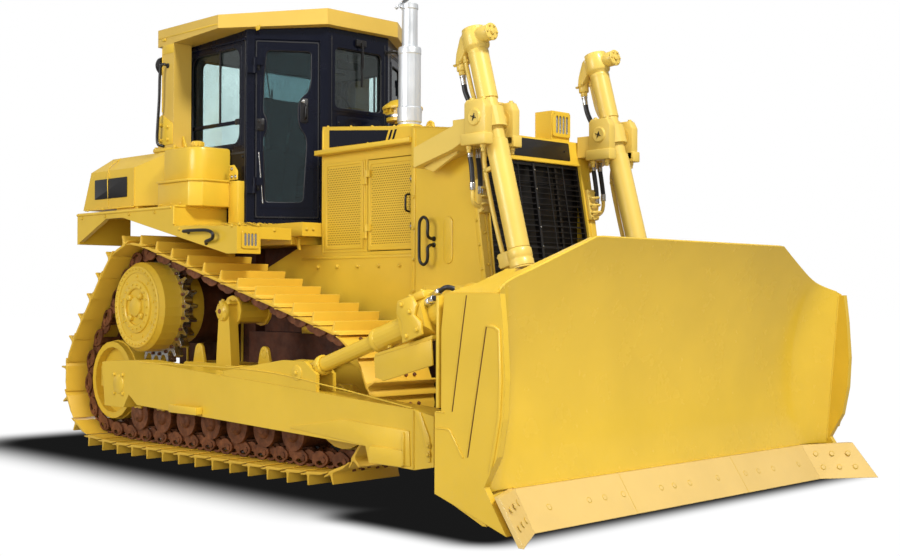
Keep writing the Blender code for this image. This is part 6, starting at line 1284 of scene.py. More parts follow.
def cab_seat():
    """Suspension seat: crowned cushion and back with piping, side bolsters, belt and base."""
    low = Matrix.Translation((-1.08, 0, 2.146))
    bottom = cushion("seat_cushion", low, (0.24, 0.25, 0.066), 0.018, 0.028, (("y", -0.62, 0.012), ("y", 0.62, 0.012),
                ("x", 0.05, 0.006)))
    back_at = spun((-1.372, 0, 2.512), 90, "Y")
    back = cushion("seat_back", back_at, (0.315, 0.245, 0.058), 0.016, 0.026, (("y", -0.6, 0.012), ("y", 0.6, 0.012),
                ("x", 0.25, 0.007)))
    piece = Piece("seat_base", "machine", TRIM, BLACK, HOSE, STEEL)
    piece.box((-1.25, -0.91), (-0.17, 0.17), (1.8185, 1.85), 1, 0.006)
    for k in range(7):
        piece.box((-1.232, -0.928), (-0.15, 0.15), (1.852 + k * 0.026, 1.868 + k * 0.026), 2, 0.007)
    piece.box((-1.3, -0.86), (-0.225, 0.225), (2.034, 2.09), 1, 0.012)
    piece.box((-1.432, -1.404), (-0.2, 0.2), (2.1, 2.8), 0, 0.016)
    for side in (-1, 1):
        piece.plate([(-1.4, 2.06), (-1.23, 2.06), (-1.29, 2.16), (-1.39, 2.19)], "y", side * 0.253 - 0.006,
                    side * 0.253 + 0.006, 1, 0.003)
        piece.box((-1.24, -1.18), (side * 0.262, side * 0.25), (2.11, 2.15), 1, 0.004)
    piece.tube([(-1.2, -0.262, 2.15), (-1.18, -0.24, 2.235), (-1.16, -0.12, 2.252), (-1.155, -0.02, 2.25)], 0.006, 8, 2,
               5)
    piece.box((-1.18, -1.13), (-0.05, 0.02), (2.238, 2.256), 3, 0.004)
    piece.loop([low @ Vector((0.238 * u, 0.247 * v, 0.002)) for u, v in outline_of(0.975, 0.028)], 0.0045, 8, 2)
    piece.loop([back_at @ Vector((0.312 * u, 0.242 * v, 0.002)) for u, v in outline_of(0.975, 0.026)], 0.0045, 8, 2)
    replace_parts(piece.done(), "seat")


def outline_of(reach, pull):
    """Points round a cushion's waist in shares of its half sizes."""
    points = []
    for start, end in (((-1, -1), (1, -1)), ((1, -1), (1, 1)), ((1, 1), (-1, 1)), ((-1, 1), (-1, -1))):
        for i in range(12):
            t = i / 12
            u, v = start[0] + (end[0] - start[0]) * t, start[1] + (end[1] - start[1]) * t
            points.append((u * reach * (1 - pull * (1 - v * v)), v * reach * (1 - pull * (1 - u * u))))
    return points


def cab_rails():
    """Grab rail beside the left door."""
    piece = Piece("grab_rails", "machine", BLACK, YELLOW)
    path = [(-0.498, 0.285, 3.14), (-0.462, 0.33, 3.152), (-0.448, 0.372, 3.13), (-0.446, 0.386, 3.06),
            (-0.446, 0.388, 2.8), (-0.44, 0.388, 2.56), (-0.4, 0.389, 2.508), (-0.33, 0.39, 2.492),
            (-0.276, 0.39, 2.478), (-0.268, 0.39, 2.462)]
    piece.tube(path, 0.0125, 14, 0, 6)
    piece.rod((-0.508, 0.283, 3.138), (-0.498, 0.285, 3.14), 0.022, 20, 0, bevel=0.003)
    piece.rod((-0.268, 0.39, 2.455), (-0.268, 0.39, 2.47), 0.024, 20, 0, bevel=0.003)
    piece.done()


# Roof, tanks, fenders and the rear

def roof_fittings():
    """Post plates and bolts, gutters, seams, rails, work lamps and lifting eyes of the protective roof."""
    piece = Piece("post_fittings_R", "machine", YELLOW, BLACK, STEEL, LENS)
    # Foot of the post: flange, gussets and bolts
    piece.box((-1.806, -1.504), (-1.012, -0.826), (2.352, 2.376), 0, 0.004)
    piece.bolts([(x, y, 2.376) for x in (-1.782, -1.522) for y in (-0.992, -0.848)], UP, 0.017)
    piece.plate([(-1.522, 2.374), (-1.47, 2.374), (-1.524, 2.47)], "y", -0.926, -0.906, 0, 0.003)
    for y in (-1.003, -0.841):
        piece.plate([(-1.756, 2.4), (-1.536, 2.4), (-1.536, 2.56), (-1.69, 2.64), (-1.756, 2.61)], "y", y - 0.004,
                    y + 0.004, 0, 0.003)
    piece.bolts([(x, -1.007, z) for x, z in ((-1.7, 2.44), (-1.6, 2.44), (-1.6, 2.54), (-1.7, 2.56))], RIGHT, 0.014)
    piece.weld([(-1.69, -1.001, 2.66), (-1.69, -1.001, 3.16)], 0.004)
    # Rail behind the post and the lamp above it
    piece.tube([(-1.612, -0.998, 3.016), (-1.618, -1.036, 3.024), (-1.64, -1.046, 3.008), (-1.655, -1.046, 2.94),
                (-1.662, -1.046, 2.76), (-1.682, -1.046, 2.56), (-1.69, -1.046, 2.45), (-1.68, -1.04, 2.404),
                (-1.66, -1.002, 2.392)], 0.0115, 14, 1, 7)
    piece.rod((-1.612, -0.996, 3.016), (-1.612, -1.006, 3.016), 0.02, 20, 1, bevel=0.003)
    piece.lathe([(0, 0), (0.06, 0), (0.074, 0.01), (0.078, 0.03), (0.072, 0.044), (0.06, 0.048), (0, 0.048)],
                (-1.716, -0.95, 3.036), (-1, 0, -0.15), 36, 1)
    piece.lathe([(0, 0.048), (0.062, 0.048), (0.05, 0.054), (0, 0.058)], (-1.716, -0.95, 3.036), (-1, 0, -0.15), 36, 3)
    piece.box((-1.722, -1.69), (-0.966, -0.934), (3.09, 3.175), 1, 0.004)
    # Roof side: folded seam, drip strip and bolts
    piece.box((-1.752, -0.945), (-1.0035, -0.999), (3.236, 3.246), 0, 0.002)
    piece.box((-1.69, -1.64), (-1.01, -0.999), (3.212, 3.232), 0, 0.004)
    piece.box((-1.69, -1.53), (-1.002, -0.998), (3.11, 3.18), 0, 0.001)
    # Small bracket under the sloping edge
    piece.plate([(-0.76, 3.228), (-0.7, 3.232), (-0.712, 3.196), (-0.748, 3.194)], "y", -0.792, -0.784, 0, 0.002)
    both(piece)

    piece = Piece("roof_fittings", "machine", YELLOW_ROOF_SHADED, BLACK, STEEL, HOSE)
    for x in (-1.58, -1.08):
        for side in (-1, 1):
            y = side * 0.3
            piece.plate([(x - 0.055, 3.38), (x + 0.055, 3.38), (x + 0.034, 3.3848), (x - 0.034, 3.3848)], "y",
                        y - 0.012, y + 0.012, 0, 0.001)
    # Rear edge of the roof: gutter, bolts and vent slots
    piece.box((-1.76, -1.756), (-0.8, 0.8), (3.236, 3.246), 0, 0.002)
    piece.bolts([(-1.757, y, 3.268) for y in (-0.84, -0.42, 0, 0.42, 0.84)], AFT, 0.012)
    for k in range(9):
        piece.box((-1.761, -1.756), (-0.152 + k * 0.034, -0.132 + k * 0.034), (3.2, 3.226), 1, 0.002)
    # Slotted housing under the roof's rear edge
    piece.box((-1.742, -1.7), (-0.55, 0.55), (3.13, 3.178), 0, 0.01)
    for k in range(24):
        piece.box((-1.746, -1.741), (-0.5 + k * 0.0425, -0.482 + k * 0.0425), (3.138, 3.17), 1, 0.0015)
    piece.done()


def tank_fittings():
    """The side tanks' own boxes; lids, seams, caps, bolts, lamps and rail of the wide fuel tank."""
    piece = Piece("side_tank_R", "machine", YELLOW, BLACK, STEEL, SEAL)
    # Rounded upper box over a bevelled lower one, a rolled lip between them
    def plan(out, front, corner, round_off):
        return [(-1.48, -0.8006), (-1.48, -out), *[(front - corner + corner * sin(t), -out + corner - corner * cos(t))
                for t in (radians(90) * k / round_off for k in range(round_off + 1))], (front, -0.8006)]
    piece.plate(plan(1.12, -1.045, 0.12, 8), "z", 2.08, 2.34, 0, 0.022)
    piece.plate([(-1.48, -0.8006), (-1.48, -1.17), (-1.062, -1.17), (-0.985, -1.096), (-0.985, -0.8006)], "z", 1.8903,
                2.085, 0, 0.01)
    piece.plate([(-1.48, -0.8006), (-1.48, -1.184), (-1.06, -1.184), (-0.973, -1.102), (-0.973, -0.8006)], "z", 2.076,
                2.092, 0, 0.006)
    piece.plate([(-0.995, -0.8006), (-0.995, -0.8612), (-0.87, -0.8612), (-0.87, -0.8006)], "z", 1.7435, 2.085, 0,
                0.006)
    piece.weld([(-1.47, -1.186, 2.076), (-1.062, -1.186, 2.076)], 0.003)
    for x in (-1.44, -1.3, -1.16):
        piece.bolt((x, -1.17, 1.912), RIGHT, 0.007)
    piece.rod((-1.22, -0.985, 2.338), (-1.22, -0.985, 2.352), 0.06, 32, 0, bevel=0.003)
    piece.lathe([(0, 0.05), (0.034, 0.05), (0.046, 0.044), (0.048, 0.01), (0.044, 0.006), (0, 0.006)],
                (-1.22, -0.985, 2.346), UP, 36, 0)
    for k in range(12):
        turn = spun((-1.22, -0.985, 2.346), k * 30)
        piece.box((0.045, 0.051), (-0.004, 0.004), (0.012, 0.042), 0, 0.0015, turn)
    # Cover beside the pillar: bracket and bolts
    piece.plate([(-0.982, 2.092), (-0.88, 2.092), (-0.88, 2.16), (-0.925, 2.205), (-0.982, 2.205)], "y", -0.862, -0.852,
                0, 0.003)
    piece.bolts([(-0.95, -0.862, 2.115), (-0.905, -0.862, 2.115), (-0.95, -0.862, 2.175)], RIGHT, 0.011, 2)
    both(piece, right=("hydraulic_tank",), left=("battery_box",))

    piece = Piece("fuel_tank_badge_R", "machine", BLACK, YELLOW, SEAL, STEEL)
    y = -1.12
    piece.plate(rounded((-2.503, 2.01), (-2.005, 2.17), 0.008), "y", y - 0.0065, y + 0.001, 0, 0.001)
    # Wrapped seams, flange with its bolts, joint beside the cab
    piece.box((-2.301, -2.287), (y - 0.002, y + 0.001), (1.935, 2.235), 1, 0.001)
    piece.weld([(-2.294, y - 0.001, 1.935), (-2.294, y - 0.001, 2.236), (-2.294, y + 0.112, 2.346)], 0.004, 1)
    piece.weld([(-1.9, y - 0.001, 1.935), (-1.9, y - 0.001, 2.236)], 0.004, 1)
    piece.plate([(-2.655, 1.932), (-1.9, 1.932), (-1.9, 1.922), (-2.655, 1.922)], "y", y - 0.014, y + 0.004, 1, 0.003)
    piece.bolts([(x, y - 0.014, 1.927) for x in (-2.6, -2.36, -2.12, -1.93)], RIGHT, 0.008, 1)
    piece.plate([(-1.75, -1.068), (-1.5, -1.004), (-1.5, -0.998), (-1.75, -1.058)], "z", 2.08, 2.115, 1, 0.002)
    both(piece)

    piece = Piece("fuel_tank_fittings", "machine", YELLOW, BLACK, STEEL, SEAL, LENS)
    # Filler and its cap, sender cover, lifting eyes and seams
    piece.rod((-2.15, -0.45, 2.34), (-2.15, -0.45, 2.362), 0.092, 40, 0, bevel=0.004)
    piece.bolt_ring((-2.15, -0.45, 2.361), UP, 0.078, 8, 0.008)
    piece.lathe([(0, 0.06), (0.046, 0.06), (0.06, 0.052), (0.062, 0.012), (0.056, 0), (0, 0)], (-2.15, -0.45, 2.36), UP,
                40, 1)
    piece.box((-2.19, -2.11), (-0.458, -0.442), (2.418, 2.43), 1, 0.004)
    piece.rod((-2.05, 0.42, 2.34), (-2.05, 0.42, 2.354), 0.07, 32, 0, bevel=0.003)
    piece.bolt_ring((-2.05, 0.42, 2.354), UP, 0.056, 6, 0.007)
    for side in (-1, 1):
        y = side * 0.78
        piece.plate([(-1.99, 2.343), (-1.87, 2.343), (-1.9, 2.404), (-1.93, 2.414), (-1.96, 2.404)], "y", y - 0.01,
                    y + 0.01, 0, 0.003)
        piece.lathe(band(0.014, 0.024, -0.014, 0.014), (-1.93, y, 2.382), LEFT, 20)
        piece.weld([(-2.4, side * 0.56, 2.346), (-1.72, side * 0.56, 2.346)], 0.004)
    # Sloping rear wall: ribs, guarded work lamps and a hand hold
    def rear_x(z):
        return -2.7 + (z - 1.93) * 0.13 / 0.305

    for side in (-1, 1):
        y = side * 0.56
        piece.plate([(rear_x(1.945) + 0.004, 1.945), (rear_x(2.225) + 0.004, 2.225), (rear_x(2.225) - 0.01, 2.215),
                     (rear_x(1.955) - 0.01, 1.955)], "y", y - 0.012, y + 0.012, 0, 0.003)
        lamp_at = Vector((rear_x(2.15) - 0.006, side * 0.9, 2.15))
        piece.box((lamp_at.x - 0.052, lamp_at.x + 0.026), (lamp_at.y - 0.1, lamp_at.y + 0.1), (2.092, 2.208), 0, 0.008)
        piece.box((lamp_at.x - 0.054, lamp_at.x - 0.05), (lamp_at.y - 0.082, lamp_at.y + 0.082), (2.108, 2.192), 4,
                  0.003)
        for k in range(4):
            piece.box((lamp_at.x - 0.06, lamp_at.x - 0.055), (lamp_at.y - 0.062 + k * 0.041 - 0.004,
                        lamp_at.y - 0.062 + k * 0.041 + 0.004), (2.1, 2.2), 0, 0.002)
    piece.tube([(rear_x(2.02), -0.3, 2.02), (rear_x(2.02) - 0.055, -0.3, 2.02), (rear_x(2.02) - 0.062, -0.285, 2.02),
                (rear_x(2.02) - 0.062, 0.285, 2.02), (rear_x(2.02) - 0.055, 0.3, 2.02), (rear_x(2.02), 0.3, 2.02)],
               0.011, 14, 1, 5)
    piece.done()


def fender_fittings():
    """Tread bars, edge rolls, handle, slotted lamp and bolts of a fender."""
    piece = Piece("fender_fittings_R", "machine", YELLOW, BLACK, STEEL, LENS, SHADE)
    y = -1.27
    # Handle loop standing off the skirt
    path = [(-0.895, y + 0.004, 1.69), (-0.893, y - 0.04, 1.69), (-0.872, y - 0.052, 1.691), (-0.74, y - 0.054, 1.692),
            (-0.6, y - 0.052, 1.688), (-0.536, y - 0.05, 1.672), (-0.52, y - 0.048, 1.65), (-0.536, y - 0.044, 1.628),
            (-0.59, y - 0.038, 1.616), (-0.64, y - 0.026, 1.61), (-0.668, y + 0.004, 1.604)]
    piece.tube(path, 0.012, 16, 1, 5)
    for x, z in ((-0.895, 1.69), (-0.668, 1.604)):
        piece.rod((x, y + 0.001, z), (x, y - 0.008, z), 0.019, 20, 1, bevel=0.003)
    # Folded edges
    piece.tube([(-2.518, y - 0.001, 1.876), (-1.8, y - 0.001, 1.876), (-1.13, y - 0.001, 1.876)], 0.01, 10, 0, 2)
    piece.tube([(-1.102, -0.83, 1.886), (-1.102, -1.264, 1.886)], 0.01, 10, 0, 2)
    piece.tube([(-1.096, y + 0.002, 1.882), (-1.098, y + 0.002, 1.75)], 0.01, 10, 0, 2)
    piece.bolts([(x, y, 1.85) for x in (-2.44, -2.08, -1.72, -1.36)], RIGHT, 0.01)
    piece.bolts([(x, y, 1.712) for x in (-1.02, -0.36)], RIGHT, 0.01)
    # Lamp: slotted cover, lens behind
    x = -0.3
    piece.plate(rounded((-1.224, 1.566), (-1.096, 1.668), 0.016), "x", x - 0.001, x + 0.0015, 1, 0)
    piece.box((x + 0.0015, x + 0.004), (-1.216, -1.104), (1.574, 1.66), 3, 0.001)
    slots = [rounded((-1.212 + k * 0.0285, 1.574), (-1.193 + k * 0.0285, 1.66), 0.008) for k in range(4)]
    piece.pierced(rounded((-1.236, 1.554), (-1.084, 1.68), 0.02), slots, "x", x + 0.004, x + 0.008, 0, 0.001)
    piece.bolts([(x, a, b) for a, b in ((-1.25, 1.72), (-1.09, 1.72), (-0.95, 1.69))], FORE, 0.009)
    # Tread bars on the step and on the deck
    for (rows, columns), (x, y, z), (pitch, gap), (reach, half, top) in (
            ((16, 9), (-1.06, -0.845, 1.74), (0.046, 0.046), (0.015, 0.003, 0.0028)),
            ((12, 2), (-2.46, -1.165, 1.89), (0.075, 0.06), (0.018, 0.0035, 0.003))):
        for i in range(rows):
            for j in range(columns):
                lean = Matrix.Rotation(radians(45 if (i + j) % 2 else -45), 4, "Z")
                piece.box((-reach, reach), (-half, half), (-0.001, top), 0, 0, Matrix.Translation((x + i * pitch,
                            y - j * gap, z)) @ lean)
    # Rear face: reflector, bolts and stiffener
    x = -2.52
    piece.plate(rounded((-1.235, 1.7), (-1.165, 1.77), 0.034, 6), "x", x - 0.008, x + 0.001, 1, 0.002)
    piece.lathe([(0, 0), (0.028, 0), (0.026, 0.006), (0, 0.009)], (x - 0.008, -1.2, 1.735), AFT, 28, 3)
    piece.box((x - 0.006, x + 0.002), (-1.24, -0.83), (1.64, 1.656), 0, 0.003)
    piece.bolts([(x, a, 1.84) for a in (-0.9, -1.05, -1.2)], AFT, 0.01)
    both(piece)

    # Platform: bolts, gussets and side strips
    piece = Piece("platform_fittings", "machine", YELLOW, BLACK, STEEL, HOSE, SHADE)
    for side in (-1, 1):
        piece.bolts([(-0.303, side * a, 1.712) for a in (0.6, 0.66)], FORE, 0.01)
        piece.plate([(-0.43, 1.655), (-0.38, 1.64), (-0.38, 1.56), (-0.395, 1.56)], "y", side * 0.66 - 0.01,
                    side * 0.66 + 0.01, 0, 0.003)
        piece.box((-1.69, -0.44), (side * 0.712, side * 0.699), (1.668, 1.688), 0, 0.003)
        piece.bolts([(x, side * 0.7, 1.64) for x in (-1.6, -1.3, -1, -0.7)], (0, side, 0), 0.01)
    piece.done()


def rear_details():
    """Cover plates, bolt rings, ribs and the drawbar's pin and plates at the back of the case."""
    piece = Piece("rear_case_fittings", "machine", YELLOW, SHADE, STEEL, BLACK, HOSE)
    x = -2.33
    piece.lathe([(0, 0.02), (0.11, 0.02), (0.125, 0.03), (0.19, 0.03), (0.205, 0.022), (0.205, -0.004), (0, -0.004)],
                (x, 0, 1.22), AFT, 56)
    piece.bolt_ring((x - 0.029, 0, 1.22), AFT, 0.168, 12, 0.013)
    piece.lathe([(0, 0.012), (0.034, 0.012), (0.04, 0), (0, 0)], (x - 0.02, 0, 1.22), AFT, 28, 2)
    piece.plate(rounded((-0.36, 0.86), (0.36, 0.965), 0.02), "x", x - 0.016, x + 0.001, 0, 0.005)
    piece.bolts([(x - 0.016, y, 0.912) for y in (-0.32, -0.2, 0.2, 0.32)], AFT, 0.014)
    for side in (-1, 1):
        piece.plate([(-2.345, 0.52), (-1.26, 0.52), (-1.26, 0.56), (-2.345, 0.56)], "y", side * 0.434, side * 0.418, 0,
                    0.004)
        piece.plate([(-2.33, 1.44), (-1.26, 1.44), (-1.26, 1.47), (-2.33, 1.47)], "y", side * 0.43, side * 0.418, 0,
                    0.004)
        for px in (-2.2, -1.98, -1.42):
            piece.plate([(px - 0.012, 0.56), (px + 0.012, 0.56), (px + 0.012, 1.44), (px - 0.012, 1.44)], "y",
                        side * 0.432, side * 0.418, 0, 0.004)
        piece.plate([(x - 0.02, 0.43), (x + 0.002, 0.43), (x + 0.002, 0.82), (x - 0.02, 0.82)], "y", side * 0.3 - 0.012,
                    side * 0.3 + 0.012, 0, 0.004)
        piece.bolts([(x, side * 0.385, z) for z in (0.58, 1.02, 1.2, 1.38, 1.54)], AFT, 0.014)
        piece.tube([(x + 0.01, side * 0.3, 1.48), (x - 0.05, side * 0.3, 1.49), (x - 0.06, side * 0.29, 1.43),
                    (x - 0.052, side * 0.26, 1.28), (x - 0.008, side * 0.25, 1.24)], 0.016, 14, 4, 6)
    # Drawbar: flange, gussets, pin handle, in the dark brown of painted shade
    piece.box((x - 0.022, x - 0.0005), (-0.26, 0.26), (0.405, 0.825), 1, 0.006)
    piece.bolts([(x - 0.022, side * 0.225, z) for side in (-1, 1) for z in (0.45, 0.56, 0.67, 0.78)], AFT, 0.018, 1)
    piece.lathe([(0, 0.02), (0.05, 0.02), (0.062, 0.014), (0.062, 0), (0, 0)], (-2.73, 0, 0.8515), UP, 36, 1)
    piece.tube([(-2.73, -0.036, 0.866), (-2.73, -0.036, 0.9), (-2.73, -0.024, 0.916), (-2.73, 0.024, 0.916),
                (-2.73, 0.036, 0.9), (-2.73, 0.036, 0.866)], 0.008, 12, 1, 5)
    for y in (-0.172, 0.172):
        piece.weld([(x - 0.024, y, 0.44), (x - 0.024, y, 0.79)], 0.008, 1)
    piece.done()


def belly():
    """Bolted bottom guards, in the dark brown of painted shade."""
    piece = Piece("belly_fittings", "machine", SHADE, YELLOW, STEEL)
    for x0, x1, z in ((-2.24, -1.8, 0.5), (-1.76, -1.3, 0.5)):
        piece.plate(rounded((x0, -0.4), (x1, 0.4), 0.02), "z", z - 0.01, z + 0.001, 0, 0.003)
        piece.bolts([(x, y, z - 0.01) for x in (x0 + 0.04, x1 - 0.04) for y in (-0.36, -0.12, 0.12, 0.36)], DOWN, 0.014)
    piece.done()


# Blade and push arms

BOARD_FOOT, BOARD_TOP, BOARD_SAG = (2.43, 0.225), (2.62, 1.551), 0.105


def board_x(z):
    """The mouldboard's curved face."""
    foot, top = Vector(BOARD_FOOT), Vector(BOARD_TOP)
    chord = top - foot
    radius = chord.length ** 2 / (8 * BOARD_SAG) + BOARD_SAG / 2
    out = Vector((chord.y, -chord.x)).normalized()
    centre = (foot + top) / 2 + out * (radius - BOARD_SAG)
    return centre.x - sqrt(radius ** 2 - (z - centre.y) ** 2)


def wing_x(y, z):
    return 2.528 + (2.618 - 2.528) / (1.24 - 0.26) * (z - 0.26) - 0.6 * (1.75 - abs(y))


def face_x(y, z):
    """Board and wing faces run into each other with a soft fold."""
    a, b, blend = board_x(z), wing_x(y, z), 0.06
    near = max(blend - abs(a - b), 0) / blend
    return max(a, b) + near * near * blend / 4


def top_z(y):
    """The blade's top edge: level, then two slopes down to the end."""
    y = abs(y)
    if y < 0.955:
        return 1.551
    if y < 1.4:
        return 1.551 + (1.365 - 1.551) * (y - 0.955) / 0.445
    return 1.365 + (1.24 - 1.365) * (y - 1.4) / 0.35


def blade_face():
    """The blade's smooth front skin, its folded top edge and welds."""
    piece = Piece("blade_face", "blade_lift", YELLOW_BLADE)
    part = bmesh.new()
    columns = sorted({round(v, 4) for v in [-1.7095 + 3.419 * i / 96 for i in range(97)] + [-1.4, -0.955, 0.955, 1.4]})
    rows = 26
    front, back = [], []
    for y in columns:
        low = 0.2155
        high = top_z(y) + 0.002
        line = [low + (high - low) * j / rows for j in range(rows + 1)]
        front.append([part.verts.new((face_x(y, z) + 0.004, y, z)) for z in line])
        back.append([part.verts.new((face_x(y, z) - 0.003, y, z)) for z in line])
    for grid, flip in ((front, False), (back, True)):
        for first, second in zip(grid, grid[1:]):
            for j in range(rows):
                quad = (first[j], second[j], second[j + 1], first[j + 1])
                part.faces.new(tuple(reversed(quad)) if flip else quad)
    rim = [(i, 0) for i in range(len(columns))] + [(len(columns) - 1, j) for j in range(1, rows + 1)]
    rim += [(i, rows) for i in range(len(columns) - 2, -1, -1)] + [(0, j) for j in range(rows - 1, 0, -1)]
    for (i, j), (k, l) in zip(rim, rim[1:] + rim[:1]):
        part.faces.new((front[i][j], back[i][j], back[k][l], front[k][l]))
    piece.take(part)
    # Rolled rim along the top and its return
    path = []
    for i in range(61):
        y = -1.7 + 3.4 * i / 60
        path.append((face_x(y, top_z(y)) - 0.006, y, top_z(y) + 0.002))
    for side in (-1, 1):
        piece.weld([(face_x(1.708, z) + 0.003, side * 1.7085, z) for z in (0.24, 0.42, 0.6, 0.8, 1, 1.235)], 0.006)
    piece.weld([(board_x(0.2225) + 0.01, y, 0.2175) for y in (-1.44, -0.96, -0.48, 0, 0.48, 0.96, 1.44)], 0.005)
    piece.tube(path, 0.0075, 10, 0, 1)
    piece.done(angle=50)


def flush_bolt(piece, spot, normal, height, inner, outer):
    """A sunk bolt's head and the ring round it."""
    piece.lathe([(0, height), (0.0145, height), (0.015, -0.002), (0, -0.002)], spot, normal, 24, inner)
    piece.lathe([(0.015, 0.0003), (0.0185, 0.0003), (0.0185, -0.002), (0.015, -0.002), (0.015, 0.0003)], spot, normal,
                24, outer)


def blade_ends():
    """Folds, painted shadow lines and rims on the end plates, and the bits' bolts and seats."""
    piece = Piece("blade_end_details_R", "blade_lift", YELLOW, SHADE, STEEL)
    y = -1.75
    # Two dark strips of painted shadow, each with a weld beside it, pressed step and raised rib
    for (x0, z0), (x1, z1) in (((2.401, 1.231), (2.299, 0.629)), ((2.544, 1.079), (2.412, 0.402))):
        across = Vector((z1 - z0, x0 - x1)).normalized() * 0.0028
        piece.plate([(x0 - across.x, z0 - across.y), (x1 - across.x, z1 - across.y), (x1 + across.x, z1 + across.y),
                     (x0 + across.x, z0 + across.y)], "y", y - 0.0012, y + 0.001, 1, 0)
        piece.weld([(x0 - 0.008, y - 0.0005, z0), (x1 - 0.008, y - 0.0005, z1)], 0.0035)
    piece.plate([(2.177, 0.539), (2.272, 0.539), (2.286, 0.533), (2.384, 0.399), (2.376, 0.392), (2.366, 0.398),
                 (2.28, 0.524), (2.268, 0.53), (2.177, 0.53)], "y", y - 0.006, y + 0.001, 0, 0.003)
    piece.plate([(2.177, 0.625), (2.24, 0.625), (2.24, 0.617), (2.177, 0.617)], "y", y - 0.005, y + 0.001, 0, 0.002)
    # Front rim plate following the leading edge
    rim = [(2.588, 1.084), (2.606, 1.078), (2.64, 1.06), (2.653, 0.81), (2.642, 0.615), (2.602, 0.424), (2.575, 0.33),
           (2.56, 0.335), (2.582, 0.428), (2.622, 0.618), (2.634, 0.81), (2.622, 1.048), (2.602, 1.064), (2.544, 1.072),
           (2.546, 1.082)]
    piece.plate(rim, "y", y - 0.008, y + 0.001, 0, 0.003)
    piece.box((2.196, 2.176), (-1.752, -1.7), (0.64, 1.23), 0, 0.003)
    piece.weld([(2.25, -1.706, 0.21), (2.25, -1.706, 0.6), (2.25, -1.706, 1.2)], 0.006)
    both(piece)

    piece = Piece("end_bit_bolts_R", "blade_lift", STEEL, YELLOW, YELLOW_EDGE_LIT)
    foot, tip, high = Vector((2.602, -1.448, 0)), Vector((2.84, -1.796, 0)), Vector((2.46, -1.448, 0.215))
    normal = (tip - foot).cross(high - foot).normalized()
    if normal.x < 0:
        normal = -normal
    for s in (0.16, 0.44, 0.72):
        for t in (0.34, 0.74):
            spot = foot + (tip - foot) * s + (high - foot) * t
            flush_bolt(piece, spot, normal, 0.0012, 2, 1)
    both(piece)

    piece = Piece("edge_bolts", "blade_lift", YELLOW_EDGE_LIT, YELLOW)
    normal = Vector((0.8345, 0, 0.551))
    foot, up = Vector((2.602, 0, 0)), Vector((-0.142, 0, 0.215))
    for across in (-1.253, -0.919, -0.783, -0.616, -0.254, -0.127, 0.032, 0.33, 0.64, 0.791, 0.968, 1.284):
        spot = foot + up * 0.5 + Vector((0, across, 0))
        flush_bolt(piece, spot, normal, 0.001, 0, 1)
    slope = Matrix(((0.8345, 0, -0.551, 2.602), (0, 1, 0, 0), (0.551, 0, 0.8345, 0), (0, 0, 0, 1)))
    for across in (-0.57, 0.57):
        piece.box((-0.002, 0.0006), (across - 0.0016, across + 0.0016), (0.004, 0.254), 1, 0, slope)
    piece.done()


def blade_back():
    """Ribs, box seams, lifting eyes and clevis plates behind the board."""
    piece = Piece("blade_back_ribs", "blade_lift", YELLOW, BLACK, STEEL)
    for y in (-1.3, -0.95, -0.32, 0, 0.32, 0.95, 1.3):
        piece.plate([(2.243, 1.238), (2.217, 0.64), (2.207, 0.64), (2.216, 1.1), (2.231, 1.238)], "y", y - 0.01,
                    y + 0.01, 0, 0.003)
        piece.plate([(2.217, 0.6), (2.169, 0.205), (2.158, 0.215), (2.196, 0.6)], "y", y - 0.01, y + 0.01, 0, 0.003)
    piece.box((2.196, 2.222), (-1.69, 1.69), (0.612, 0.628), 0, 0.003)
    for y in (-0.48, 0.48):
        piece.plate([(2.28, 1.236), (2.4, 1.236), (2.372, 1.3), (2.34, 1.322), (2.308, 1.3)], "y", y - 0.014, y + 0.014,
                    0, 0.004)
        piece.lathe(band(0.016, 0.028, -0.018, 0.018), (2.34, y, 1.29), LEFT, 24)
    piece.weld([(2.238, -1.69, 1.236), (2.238, -0.8, 1.236), (2.238, 0, 1.236), (2.238, 0.8, 1.236),
                (2.238, 1.69, 1.236)], 0.006)
    piece.weld([(2.168, -1.69, 0.196), (2.168, 0, 0.196), (2.168, 1.69, 0.196)], 0.006)
    piece.done()


